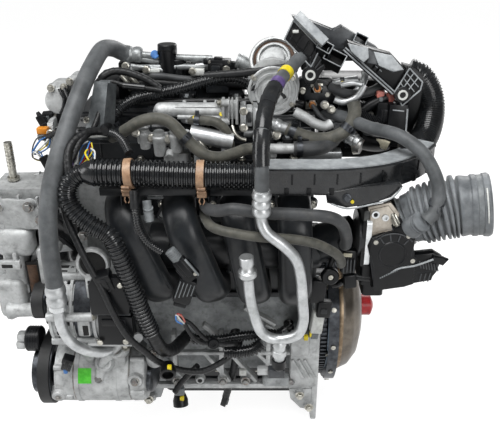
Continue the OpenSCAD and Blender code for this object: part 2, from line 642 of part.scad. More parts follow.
// Rubber duct: a cuff on the throttle body, a pleated bend and a widening mouth
module duct_frame() translate([duct_x, throttle_at[0], throttle_at[1]]) rotate([duct_roll, 0, 0]) children();
module duct_bent(a) translate([cuff_l + duct_bend_r * sin(a), 0, duct_bend_r * (1 - cos(a))])
    rotate([0, -a, 0]) children();
module duct_arc(r) translate([cuff_l, 0, duct_bend_r]) rotate([90, 0, 0]) rotate([0, 0, -90])
    rotate_extrude(angle = duct_bend) translate([duct_bend_r, 0]) circle(r);
module duct_solid(grow, ends) duct_frame() {
    bar_x(-ends, cuff_l, spigot_r + grow);
    duct_arc(spigot_r + grow + 0.6);
    duct_bent(duct_bend) {
        bar_x(0, 22, spigot_r + grow + 1.2, mouth_r - 9 + grow);
        bar_x(22, duct_straight - 22, mouth_r - 8 + grow);
        bar_x(duct_straight - 22, duct_straight - 10, mouth_r - 8 + grow, mouth_r + grow);
        bar_x(duct_straight - 10, duct_straight + ends, mouth_r + grow);
    }
}
module intake_duct() placed() color("#8a8d90") difference() {
    union() {
        duct_solid(duct_wall, 0);
        duct_frame() for (a = [5:6:duct_bend - 2]) duct_bent(a) bar_x(-1.5, 1.5, spigot_r + duct_wall + 6);
        duct_frame() duct_bent(duct_bend) for (x = [30, 40]) bar_x(x, x + 3, mouth_r - 2);
        duct_frame() duct_bent(duct_bend) bar_x(duct_straight - 5, duct_straight, mouth_r + duct_wall + 3);
        translate([nozzle_at.x, nozzle_at.y, 0]) bar_z(throttle_at[1] + spigot_r - 14, nozzle_at.z, 8);
    }
    duct_solid(0, eps);
    translate([nozzle_at.x, nozzle_at.y, 0]) bar_z(throttle_at[1] + 10, nozzle_at.z + eps, 6);
}
module duct_clamps() placed() color("gainsboro") difference() {
    union() {
        duct_frame() bar_x(4, 14, duct_r + 1.6);
        translate([duct_x + 9, throttle_at[0], throttle_at[1] + duct_r + 1]) cube([12, 14, 8], center = true);
    }
    duct_frame() bar_x(0, 18, duct_r);
}

module ignition_coils() placed() color("#1d1e20") for (x = cylinder_x) translate([x, 0, 0]) {
    bar_z(head_z0 + 70, cover_z1 + 5, well_r - 0.5);
    rounded_box(-15, 15, -13, 34, cover_z1 + 5, cover_z1 + 24, 4);
    box(-10, 10, 34, 50, cover_z1 + 8, cover_z1 + 22);
}

module oil_filter() placed() translate([60, 0, 20]) color("#24507a") union() {
    bar_y(filter_y, filter_y + 6, 33);
    bar_y(filter_y + 6, filter_y + 84, 38);
    bar_y(filter_y + 84, filter_y + 90, 30);
}

// Alternator, with its rotor on the pulley's shaft
module alternator_body() placed() color("silver") difference() {
    union() {
        at_yz(alternator_at) bar_x(alternator_x0, alternator_x1, alternator_r);
        for (z = [-1, 1]) box(-188, -168, alternator_at[0], -skirt_y, alternator_at[1] + z * 12 - 6,
            alternator_at[1] + z * 12 + 6);
        at_yz(alternator_at) rotate([-20, 0, 0]) box(alternator_x0 + 6, alternator_x0 + 26, -10, 10,
            -alternator_r - 12, 0);
    }
    at_yz(alternator_at) {
        bar_x(alternator_x0 + 8, alternator_x1 - 6, alternator_r - 8);
        bar_x(alternator_x0 - eps, alternator_x1 - 2, alternator_shaft_r + fit);
        for (a = [0:30:330]) rotate([a, 0, 0]) {
            box(alternator_x0 - eps, alternator_x0 + 9, -5, 5, 26, alternator_r - 18);
            box(alternator_x0 + 30, alternator_x0 + 50, -4, 4, alternator_r - 20, alternator_r + eps);
        }
    }
}
module alternator_cover() placed() color("#3c3f42") difference() {
    union() {
        at_yz(alternator_at) bar_x(alternator_x1, alternator_cover_x1, alternator_r - 6);
        at_yz(alternator_at) box(alternator_x1, alternator_cover_x1 - 4, -50, 20, 30, alternator_r + 4);
    }
    at_yz(alternator_at) for (a = [0:20:340]) rotate([a, 0, 0])
        box(alternator_cover_x1 - 3, alternator_cover_x1 + eps, -2, 2, 22, 54);
}
module groove(r, x) polygon([[r + eps, x - 1.6], [r + eps, x + 1.6], [r - 2.5, x]]);
module ribbed_pulley(r, bore, rim = 8, web = 8) rotate([0, 90, 0]) difference() {
    union() {
        rotate_extrude($fn = 96) difference() {
            translate([r - rim, -pulley_w / 2]) square([rim, pulley_w]);
            for (k = [-3:3]) groove(r, k * belt_w / 8);
        }
        translate([0, 0, -web / 2]) cylinder(r = r - rim / 2, h = web);
        translate([0, 0, -pulley_w / 2]) cylinder(r = bore + 7, h = pulley_w);
    }
    translate([0, 0, -pulley_w / 2 - eps]) cylinder(r = bore, h = pulley_w + 2 * eps);
}
module alternator_pulley() placed() at_yz(alternator_at) color("dimgray") {
    translate([belt_x, 0, 0]) ribbed_pulley(alternator_pulley_r, alternator_shaft_r, 7, 20);
    color("silver") bar_x(belt_x - pulley_w / 2 - 6, alternator_x1 - 3, alternator_shaft_r);
    color("sienna") difference() {
        bar_x(alternator_x0 + 16, alternator_x1 - 14, alternator_r - 22);
        bar_x(alternator_x0 + 15, alternator_x1 - 13, alternator_shaft_r);
    }
}
module pump_pulley() placed() at_yz(pump_at) translate([belt_x, 0, 0]) color("#3a3c3e")
    ribbed_pulley(pump_pulley_r, spindle_r + fit, 8, 6);
module crank_pulley() placed() translate([belt_x, 0, 0]) color("#2c2d2f") ribbed_pulley(crank_pulley_r,
    nose_r, 14, 14);
module tensioner_pulley() placed() at_yz(tensioner_at) translate([belt_x, 0, 0]) color("#202123") rotate([0,
    90, 0])
    translate([0, 0, -pulley_w / 2]) difference() {
        cylinder(r = tensioner_pulley_r, h = pulley_w);
        translate([0, 0, -eps]) cylinder(r = spindle_r + fit, h = pulley_w + 2 * eps);
    }
module tensioner_arm() placed() color("gainsboro") difference() {
    union() {
        at_yz(pivot_at) bar_x(arm_x0, arm_x1, 15);
        at_yz(tensioner_at) bar_x(arm_x0, arm_x1, 13);
        at_yz(pivot_at) rotate([arm_angle, 0, 0]) box(arm_x0, arm_x1, 0, arm_reach, -10, 10);
        at_yz(tensioner_at) bar_x(belt_x - pulley_w / 2, arm_x0, spindle_r);
    }
    at_yz(pivot_at) bar_x(arm_x0 - eps, arm_x1 + eps, spindle_r + fit);
}

// Belt runs: a closed loop of [Y, Z, radius, side], with side 1 inside the loop and -1 on its back
function line_r(w, t) = w[3] * (w[2] + gap + t / 2);
function heading(a, b, t) = let (d = [b[0] - a[0], b[1] - a[1]])
    atan2(d.y, d.x) - asin((line_r(b, t) - line_r(a, t)) / norm(d));
function turn(a, side) = side > 0 ? (a % 360 + 360) % 360 : (a % 360 + 360) % 360 - 360;
function loop_outline(wheels, t, out) = let (n = len(wheels)) [for (i = [0:n - 1]) let (w = wheels[i],
    a0 = heading(wheels[(i + n - 1) % n], w, t), a1 = heading(w, wheels[(i + 1) % n], t),
    sweep = turn(a1 - a0, w[3]), steps = ceil(abs(sweep) / 9), r = line_r(w, t) + out)
    for (k = [0:steps]) let (a = a0 + sweep * k / steps) [w[0] + r * sin(a), w[1] - r * cos(a)]];
module loop_band(wheels, t, x, w) drawn_x(x - w / 2, x + w / 2) difference() {
    polygon(loop_outline(wheels, t, t / 2));
    polygon(loop_outline(wheels, t, -t / 2));
}
module accessory_belt() placed() color("#161718") loop_band(belt_wheels, belt_t, belt_x, belt_w);
module timing_chain() placed() color("dimgray") loop_band(chain_wheels, chain_t, chain_x, chain_w);

// Compressor, with its pulley on a nose and feet against the timing case and the crankcase
module ac_compressor() placed() color("silver") difference() {
    union() {
        at_yz(compressor_at) bar_x(compressor_x0, compressor_x1 - 12, compressor_r);
        at_yz(compressor_at) bar_x(compressor_x1 - 12, compressor_x1, compressor_r - 4, compressor_r - 16);
        at_yz(compressor_at) bar_x(belt_x - pulley_w / 2, compressor_x0, compressor_nose_r);
        for (z = [-78, 8]) {
            box(-238, -212, compressor_at[0], -bedplate_y, z, z + 24);
            box(-166, -142, compressor_at[0], z < 0 ? -bedplate_y : -skirt_y, z, z + 24);
        }
        for (x = [-262, -190]) at_yz(compressor_at) bar_x(x, x + 8, compressor_r + 3);
        rounded_box(-202, -164, -220, -180, 0, 40, 5);
        rounded_box(-236, -206, -216, -184, 0, 34, 5);
    }
    translate([-176, -204, 0]) bar_z(28, 41, pipe_r - 2);
}
module compressor_pulley() placed() at_yz(compressor_at) translate([belt_x, 0, 0]) color("#2a2b2d") {
    ribbed_pulley(compressor_pulley_r, compressor_nose_r + fit, 10, 12);
    difference() {
        bar_x(-pulley_w / 2 - 12, -pulley_w / 2, compressor_pulley_r - 16);
        bar_x(-pulley_w / 2 - 3, -pulley_w / 2 + eps, compressor_nose_r + 2);
    }
}

// Engine mount's bracket: a ribbed casting that reaches over the belt
module mount_bracket() placed() color("gainsboro") difference() {
    union() {
        drawn_y(-145, -65) polygon([[case_x - 10, 344], [case_x - 10, 218], [belt_x + 6, 210],
            [belt_x - 18, 196], [belt_x - 22, 142], [-372, 126], [-412, 168], [-412, 304], [-390, 341]]);
        translate([-362, 0, 142]) bar_y(-156, -60, 17);
    }
    drawn_y(-146, -82) {
        polygon([[-272, 318], [-272, 232], [-322, 224], [-322, 318]]);
        polygon([[-334, 318], [-334, 208], [-352, 166], [-372, 162], [-372, 318]]);
        polygon([[-382, 316], [-382, 166], [-402, 184], [-402, 298]]);
    }
    translate([-362, 0, 142]) bar_y(-157, -59, 7);
    translate([mount_x, mount_y, 0]) bar_z(322, 345, stud_r);
}
module mount_stud() placed() color("lightgray") translate([mount_x, mount_y, 0]) {
    bar_z(322, 416, stud_r);
    difference() {
        bar_z(345, 350, 11);
        bar_z(344, 351, stud_r);
    }
}

// Coolant outlet, water pipe and gas cooler, each on a plate against the head
module head_plate(x0, x1, z1) box(x0, x1, -head_y - 6, -head_y, flange_z1 + 2, z1);
module coolant_outlet() placed() color("silver") {
    difference() {
        union() {
            head_plate(-84, -36, 402);
            rounded_box(-82, -38, -126, -head_y - 5, 356, 402, 8);
            translate([0, -112, 422]) bar_x(-98, -60, 10);
            translate([-60, -112, 0]) bar_z(400, 436, 13);
        }
        translate([0, -112, 422]) bar_x(-99, -60, 7);
    }
    translate([0, -122, 410]) bar_x(84, 150, 9);
    head_plate(104, 118, 404);
    box(104, 118, -126, -head_y - 5, 396, 404);
}
module egr_cooler() placed() color("lightgray") {
    translate([-34, -114, 436]) rotate([0, 90 + cooler_slope, 0]) cylinder(r = 15, h = 76);
    for (x = [-30, 20]) {
        head_plate(x, x + 10, 412);
        box(x, x + 10, -116, -head_y - 5, 400, 412);
    }
}
module vacuum_pump() placed() color("gainsboro") translate([112, 0, cover_z1 + 53]) {
    bar_y(-60, -54, 47);
    difference() {
        bar_y(-54, -30, 44);
        bar_y(-61, -50, 20);
    }
    bar_y(-64, -60, 24);
    bar_y(-30, -18, 36);
    box(-8, 8, -52, -22, -53, -40);
}

// Exhaust manifold on the far side
module exhaust_manifold() placed() color("saddlebrown") render() difference($fn = 24) {
    union() {
        for (x = cylinder_x) {
            sweep(curve(exhaust_route(x), 2), 22, 22, 0, 12, ends = exhaust_ends);
            translate([x - 26, head_y, exhaust_port_z - 26]) cube([52, 9, 52]);
        }
        translate([outlet_at.x, outlet_at.y, 0]) bar_z(outlet_at.z + 8, outlet_at.z + 62, 34);
        for (a = [0:45:315]) hull() {
            translate([outlet_at.x, outlet_at.y, 0]) bar_z(outlet_at.z, outlet_at.z + 10, 34);
            translate([outlet_at.x + 44 * cos(a), outlet_at.y + 30 * sin(a), 0]) bar_z(outlet_at.z,
                outlet_at.z + 10, 6);
        }
    }
    for (x = cylinder_x) {
        sweep(curve(exhaust_route(x), 2), 17, 17, 0, 12, ends = exhaust_ends);
        translate([x, 0, exhaust_port_z]) bar_y(head_y - eps, head_y + 4, 16);
    }
    translate([outlet_at.x, outlet_at.y, 0]) bar_z(outlet_at.z - eps, outlet_at.z + 54, outlet_r);
}
function exhaust_route(x) = [[x, head_y + 3, exhaust_port_z], [x, head_y + 16, exhaust_port_z],
    [x * 0.85 + outlet_at.x * 0.15, head_y + 44, exhaust_port_z - 26],
    [x * 0.5 + outlet_at.x * 0.5, head_y + 66, exhaust_port_z - 78],
    [outlet_at.x + (x - outlet_at.x) * 0.12, outlet_at.y, outlet_at.z + 50],
    [outlet_at.x, outlet_at.y, outlet_at.z + 28]];

module wiring_tray() placed() color("#26282a") {
    sweep(curve(tray_route, 2), 22, 19, 0, 8, 0.25, [0, 1, 0]);
    box(146, 158, -195, -185, port_z + 70, 380);
}
module main_loom() placed() color("#1c1d1f") tube(main_loom_route, loom_r, 0, 2, 12);
module front_loom() placed() color("#222325") {
    tube(front_loom_route, 12, 0, 2, 8);
    tube(taped_route, 6, 0, 2, 8);
}
module lower_loom() placed() color("#222325") tube(lower_loom_route, 10, 0, 3, 8);
module rear_loom() placed() color("#161718") tube(rear_loom_route, 13, 0, 3, 10);
module loom_tail() placed() color("#1a1a1a") tube(tail_route, 8, 0, 3, 8);
module clamps() placed() {
    color("tan") for (c = [[-126, -217.3, 402.3], [-10, -215.6, 398.6]]) {
        translate([0, c.y, c.z]) difference() {
            bar_x(c.x - 7, c.x + 7, loom_r + 3.4);
            bar_x(c.x - 8, c.x + 8, loom_r + 1);
        }
        box(c.x - 6, c.x + 6, -204, -188, port_z + 70, c.z - loom_r);
    }
    color("#1b1c1d") difference() {
        translate([clamp_at.x, clamp_at.y, 0])
            bar_z(cover_z1, clamp_at.z + 15, 18);
        translate([0, clamp_at.y, clamp_at.z]) bar_x(-110, -60, pipe_r + 0.1);
    }
}
module connector_bracket() placed() color("#2b2d30") {
    drawn_y(-46, 8) polygon([[136, 604], [160, 618], [206, 590], [258, 556], [312, 530], [384, 486], [378,
        456],
        [318, 484], [262, 508], [226, 516], [188, 556]]);
    box(204, 216, 2, 30, head_z1 - 10, 545);
    drawn_y(-62, -50) polygon([[190, 570], [206, 562], [198, 530], [190, 512], [164, 512], [164, 536], [186,
        548]]);
    box(192, 204, -50, -46, 552, 564);
    drawn_y(-62, -46) polygon([[320, 508], [350, 500], [348, 476], [322, 476]]);
    for (lug = [[177, 524], [336, 482]]) translate([lug[0], 0, lug[1]]) bar_y(-68, -55, 13);
}
module suction_hose() placed() color("#4a4d50") tube(suction_route, suction_r, 4, 3, 10);
module discharge_hose() placed() color("#303236") tube(discharge_route, discharge_r, 3, 3, 10);
module refrigerant_pipes() placed() color("silver") {
    tube(suction_pipe_route, pipe_r, 2, 2, 10);
    translate([-262, -256, 0]) bar_z(172, 217.7, suction_r + 2);
    tube(discharge_pipe_route, pipe_r, 2, 2, 10);
    translate([89, -282, 0]) bar_z(359, 399.7, discharge_r + 2);
    translate([0, 30, 548]) bar_x(-133.7, -112, suction_r + 1);
    translate([0, 30, 548]) bar_x(-112, 0, pipe_r);
}
module coolant_hoses() placed() color("#3a3c3e") {
    tube(coolant_route, 10, 3, 2, 10);
    tube(heater_route, 13, 3, 2, 10);
}
module vacuum_hoses() placed() color("#4b4a46") {
    tube(purge_route, 10, 3, 2, 8);
    tube(vacuum_route, 8, 2, 2, 8);
}
module breather_hose() placed() color("#3c3e40") tube(breather_route, 10, 3, 2, 10);

module adapter_plate() placed() color("#7c8488") difference() {
    drawn_x(plate_x, plate_x + plate_t) difference() {
        union() {
            circle(flange_r - 2);
            for (p = gearbox_bolts) translate(p) circle(pad_r - 2);
            for (p = gearbox_bolts) rotate(atan2(p[1], p[0])) translate([0, -pad_r + 4]) square([norm(p),
                2 * pad_r - 8]);
        }
        circle(44);
    }
    gearbox_holes();
}
module bolts() placed() color("gray") {
    for (p = cover_bolts) translate([p.x, p.y, 0]) {
        bar_z(head_z1 - 18, head_z1 + cover_rim, bolt_r);
        translate([0, 0, head_z1 + cover_rim]) cylinder(r = bolt_head_r, h = bolt_head_h, $fn = 6);
    }
    for (p = pan_bolts) translate([p.x, p.y, 0]) {
        bar_z(-bedplate_h - pan_flange, -bedplate_h, bolt_r);
        translate([0, 0, -bedplate_h - pan_flange - bolt_head_h]) cylinder(r = bolt_head_r, h = bolt_head_h,
            $fn = 6);
    }
    translate([drain_x, 0, drain_z]) {
        bar_y(pan_y1 - sump_wall - 4, pan_y1, drain_r);
        translate([0, pan_y1 + 8, 0]) rotate([90, 0, 0]) cylinder(r = 11, h = 8, $fn = 6);
    }
}
module dipstick_tube() placed() color("silver") difference() {
    union() {
        translate(dip_at) bar_z(-80, 390, 5);
        box(dip_at[0] - 9, dip_at[0] + 9, bedplate_y, dip_at[1] + 9, -86, -50);
        box(dip_at[0] - 6, dip_at[0] + 6, head_y, dip_at[1] + 4, 300, 308);
    }
    translate(dip_at) bar_z(-70, 391, 3);
}
module dipstick() placed() translate(dip_at) color("gold") {
    bar_z(-66, 390.3, 1.5);
    bar_z(390.3, 402, 6);
    difference() {
        translate([0, 0, 415]) rotate([90, 0, 0]) translate([0, 0, -2.5]) cylinder(r = 15, h = 5);
        translate([0, 0, 415]) rotate([90, 0, 0]) translate([0, 0, -4]) cylinder(r = 10, h = 8);
    }
}
module oil_filler_cap() placed() translate([filler_at.x, filler_at.y, 0]) color("#1a1b1c") {
    bar_z(cover_z1 + 4, cover_z1 + 14 + gap, filler_r - 4 - fit);
    bar_z(cover_z1 + 14 + gap, cover_z1 + 26, filler_r + 3);
    box(-filler_r + 2, filler_r - 2, -4, 4, cover_z1 + 26, cover_z1 + 36);
}

// Crankshaft: five journals, eight webs and four pins, with pins 1 and 4 up and 2 and 3 down
module crankshaft() placed() color("lightslategray") {
    for (i = [0:cylinders]) bar_x(max(main_x[i] - journal_half, -block_half - 4),
        min(main_x[i] + journal_half, plate_x + 2), journal_r);
    bar_x(main_x[cylinders], flexplate_x, journal_r);
    bar_x(belt_x - pulley_w / 2 - 4, -block_half, nose_r);
    bar_x(chain_x - chain_w / 2, chain_x + chain_w / 2, crank_sprocket_r);
    bar_x(belt_x - pulley_w / 2 - 12, belt_x - pulley_w / 2 - 4, 16);
    for (i = [0:cylinders - 1]) {
        side = i == 0 || i == cylinders - 1 ? 1 : -1;
        translate([0, 0, side * crank_throw]) bar_x(cylinder_x[i] - pin_w / 2, cylinder_x[i] + pin_w / 2,
            pin_r);
        for (k = [-1, 1]) drawn_x(cylinder_x[i] + k * (pin_w + web_w) / 2 - web_w / 2,
            cylinder_x[i] + k * (pin_w + web_w) / 2 + web_w / 2) {
            circle(journal_r + 4);
            translate([0, side * crank_throw]) circle(pin_r + web_lip);
            translate([-pin_r, min(0, side * crank_throw)]) square([2 * pin_r, crank_throw]);
            intersection() {
                circle(sweep_r);
                translate([-sweep_r, side > 0 ? -sweep_r : 0]) square([2 * sweep_r, sweep_r]);
            }
        }
    }
}
module flexplate() placed() color("dimgray") difference() {
    union() {
        bar_x(flexplate_x, flexplate_x + flexplate_t, ring_gear_r - 8);
        drawn_x(flexplate_x - 1, flexplate_x + 11) difference() {
            circle(ring_gear_r - 4);
            circle(ring_gear_r - 14);
        }
        drawn_x(flexplate_x - 1, flexplate_x + 11) for (a = [0:teeth - 1]) rotate(a * 360 / teeth)
            translate([ring_gear_r - 5, -1.7]) square([5, 3.4]);
    }
    for (a = [0:45:315]) rotate([a, 0, 0]) translate([0, 0, 78]) bar_x(flexplate_x - eps, flexplate_x + 5,
        14);
}
module torque_converter() placed() color("darkgray") {
    translate([converter_x, 0, 0]) rotate([0, 90, 0]) rotate_extrude($fn = 96) polygon([[0, 0],
        [converter_r - 26, 0],
        [converter_r - 6, 4], [converter_r, 16], [converter_r, 34], [converter_r - 8, 52],
            [converter_r - 30, 70],
        [converter_r - 62, converter_w - 2], [44, converter_w], [hub_r, converter_w - 6],
        [hub_r, converter_w + 26], [0, converter_w + 26]]);
    for (a = [45:90:315]) rotate([a, 0, 0]) translate([0, 0, 108]) bar_x(flexplate_x + flexplate_t,
        converter_x + 2, 13);
}
module lobe() {
    tilt = acos((lobe_r - lobe_tip_r) / lobe_lift);
    circle(lobe_r);
    translate([0, lobe_lift]) circle(lobe_tip_r);
    polygon([[-lobe_r * sin(tilt), lobe_r * cos(tilt)], [lobe_r * sin(tilt), lobe_r * cos(tilt)],
        [lobe_tip_r * sin(tilt), lobe_lift + lobe_tip_r * cos(tilt)],
        [-lobe_tip_r * sin(tilt), lobe_lift + lobe_tip_r * cos(tilt)]]);
}
module camshaft(y, lead) placed() at_yz([y, head_z1]) color("silver") {
    bar_x(chain_x - chain_w / 2 - 8, block_half - 14, cam_r);
    bar_x(chain_x - chain_w / 2, chain_x + chain_w / 2, cam_sprocket_r);
    for (i = [0:cylinders - 1], dx = [-20, 20]) drawn_x(cylinder_x[i] + dx - 7, cylinder_x[i] + dx + 7)
        rotate(lead - firing[i]) lobe();
}
module camshaft_intake() camshaft(-cam_y, 40);
module camshaft_exhaust() camshaft(cam_y, -40);

// A piston with its crown at the top of its travel, three ring grooves and a hollow under the crown
module piston() difference() {
    bar_z(deck_h - 1 - piston_h, deck_h - 1, bore_r - fit);
    bar_z(deck_h - 2 - piston_h, deck_h - 11, bore_r - 7);
    for (k = [0:2]) translate([0, 0, deck_h - 8 - 4 * k]) difference() {
        cylinder(r = bore_r, h = 1.2);
        translate([0, 0, -eps]) cylinder(r = bore_r - 2, h = 4);
    }
}
module pistons_outer() placed() color("silver") for (i = [0, cylinders - 1]) translate([cylinder_x[i], 0,
    0]) piston();
module pistons_inner() placed() color("silver") for (i = [1:cylinders - 2])
    translate([cylinder_x[i], 0, -stroke]) piston();

cylinder_block();
bedplate();
oil_pan();
cylinder_head();
head_gasket();
cam_cover();
cam_caps();
front_cover();
phaser_cover();
intake_manifold();
throttle_body();
throttle_motor();
intake_duct();
duct_clamps();
ignition_coils();
oil_filter();
alternator_body();
alternator_cover();
ac_compressor();
mount_bracket();
mount_stud();
accessory_belt();
timing_chain();
coolant_outlet();
egr_cooler();
vacuum_pump();
exhaust_manifold();
wiring_tray();
main_loom();
front_loom();
lower_loom();
rear_loom();
clamps();
connector_bracket();
suction_hose();
discharge_hose();
refrigerant_pipes();
coolant_hoses();
vacuum_hoses();
breather_hose();
adapter_plate();
bolts();
dipstick_tube();
loom_tail();
crankshaft();
crank_pulley();
flexplate();
torque_converter();
camshaft_intake();
camshaft_exhaust();
pistons_outer();
pistons_inner();
compressor_pulley();
alternator_pulley();
pump_pulley();
tensioner_arm();
tensioner_pulley();
throttle_plate();
oil_filler_cap();
dipstick();
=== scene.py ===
# %% [markdown]
# # A dressed car engine
# This lesson dresses a CAD model of a family car's engine. The CAD part gives every casting, shaft and hose its
# place and its motion. The cells below give them the surface, the small parts and the light of the real thing.
# Sizes are in metres. Most points are typed in millimetres above the crankshaft, as an engine builder gives them.
# `above_crank` turns them into places in the scene, and a plain tuple for a place goes through it too.

# %% Load the CAD model
import math
import random

import bmesh
import bpy
from mathutils import Matrix, Vector


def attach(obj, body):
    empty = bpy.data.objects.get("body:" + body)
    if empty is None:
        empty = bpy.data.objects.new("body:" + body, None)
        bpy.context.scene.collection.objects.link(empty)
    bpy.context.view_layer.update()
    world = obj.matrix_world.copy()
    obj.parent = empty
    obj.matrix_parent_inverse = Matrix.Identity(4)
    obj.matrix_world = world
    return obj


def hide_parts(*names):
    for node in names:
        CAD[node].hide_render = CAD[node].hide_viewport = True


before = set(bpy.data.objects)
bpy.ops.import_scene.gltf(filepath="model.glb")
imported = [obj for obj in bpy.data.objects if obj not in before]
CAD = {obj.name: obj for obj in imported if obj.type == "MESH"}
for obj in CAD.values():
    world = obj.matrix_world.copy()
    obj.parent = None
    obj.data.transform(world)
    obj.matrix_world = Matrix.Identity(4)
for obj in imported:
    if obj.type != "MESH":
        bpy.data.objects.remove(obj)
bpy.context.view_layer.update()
CRANK_HEIGHT = 0.190


link = bpy.context.scene.collection.objects.link


def cosine(degrees):
    return math.cos(math.radians(degrees))


def sine(degrees):
    return math.sin(math.radians(degrees))


def mm(*pairs):
    """Pairs of a profile or an outline, typed in millimetres, as metres."""
    return [(a / 1000, b / 1000) for a, b in pairs]


def above_crank(x, y, z):
    """A point given in millimetres from the middle of the crankshaft."""
    return Vector((x / 1000, y / 1000, z / 1000 + CRANK_HEIGHT))


def at(point):
    """A place as a vector. A plain tuple is taken as millimetres from the middle of the crankshaft."""
    return point if isinstance(point, Vector) else above_crank(*point)


def route(*points):
    return [at(point) for point in points]


# %% [markdown]
# ## Where the eye is
# The eye stands in front of the intake side, a little above it. A long-ish lens keeps the upright edges nearly
# parallel. The camera comes first, because a loose cord's hidden length is judged by what it sees.

# %% Camera
EYE_ELEVATION = math.radians(26)
EYE_DISTANCE = 1.25
LENS_MM = 46.15
SENSOR_MM = 36
LOOK_AT = Vector((0.071, -0.060, 0.445))
camera = bpy.data.objects.new("camera", bpy.data.cameras.new("camera"))
camera.data.lens = LENS_MM
camera.data.sensor_width = SENSOR_MM
to_eye = Vector((0, -math.cos(EYE_ELEVATION), math.sin(EYE_ELEVATION)))
camera.location = LOOK_AT + EYE_DISTANCE * to_eye
camera.rotation_euler = to_eye.to_track_quat("Z", "Y").to_euler()
link(camera)
bpy.context.scene.camera = camera
print("Camera at", [round(v, 3) for v in camera.location])

# %% [markdown]
# ## Drawing tools
# Four ways of making a shape cover nearly every part of an engine. A tube follows a route, as a hose does. A
# turned shape spins a profile, as a lathe does. A block and a plate have eased edges, as a casting does. They are
# all written into one mesh with `bmesh`, so a piece made of thirty small shapes is still one piece.

# %% Smooth routes
def smooth_route(points, spacing=0.004):
    """Points along a smooth curve through the given ones, about `spacing` apart."""
    points = route(*points)
    count = len(points)
    out = []
    for i in range(count - 1):
        a, b, c, d = (points[max(0, min(count - 1, i + k))] for k in (-1, 0, 1, 2))
        steps = max(1, round((c - b).length / spacing))
        for step in range(steps):
            t = step / steps
            out.append(0.5 * (2 * b + (c - a) * t + (2 * a - 5 * b + 4 * c - d) * t * t
                              + (3 * b - a - 3 * c + d) * t * t * t))
    return out + [points[-1].copy()]


def directions(points):
    count = len(points)
    out = []
    for i in range(count):
        out.append((points[min(i + 1, count - 1)] - points[max(i - 1, 0)]).normalized())
    return out


def side_vectors(along, first=None):
    """A side vector at each point of a route, carried along it without twist."""
    side = Vector(first) if first is not None else (
        Vector((0, 1, 0)) if abs(along[0].z) > 0.9 else Vector((along[0].y, -along[0].x, 0.01)))
    out = []
    for direction in along:
        side = (side - side.dot(direction) * direction).normalized()
        out.append(side.copy())
    return out


# %% A piece in the making
def hang(mesh, name, body, replaces=(), angle=34):
    """Smooths a mesh up to `angle` degrees and hangs it on its body as a piece."""
    mesh.shade_smooth()
    mesh.set_sharp_from_angle(angle=math.radians(angle))
    made = bpy.data.objects.new(name, mesh)
    link(made)
    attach(made, body)
    if replaces:
        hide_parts(*replaces)
    print(f"{name}: {len(mesh.polygons)} faces on {body}")
    return made


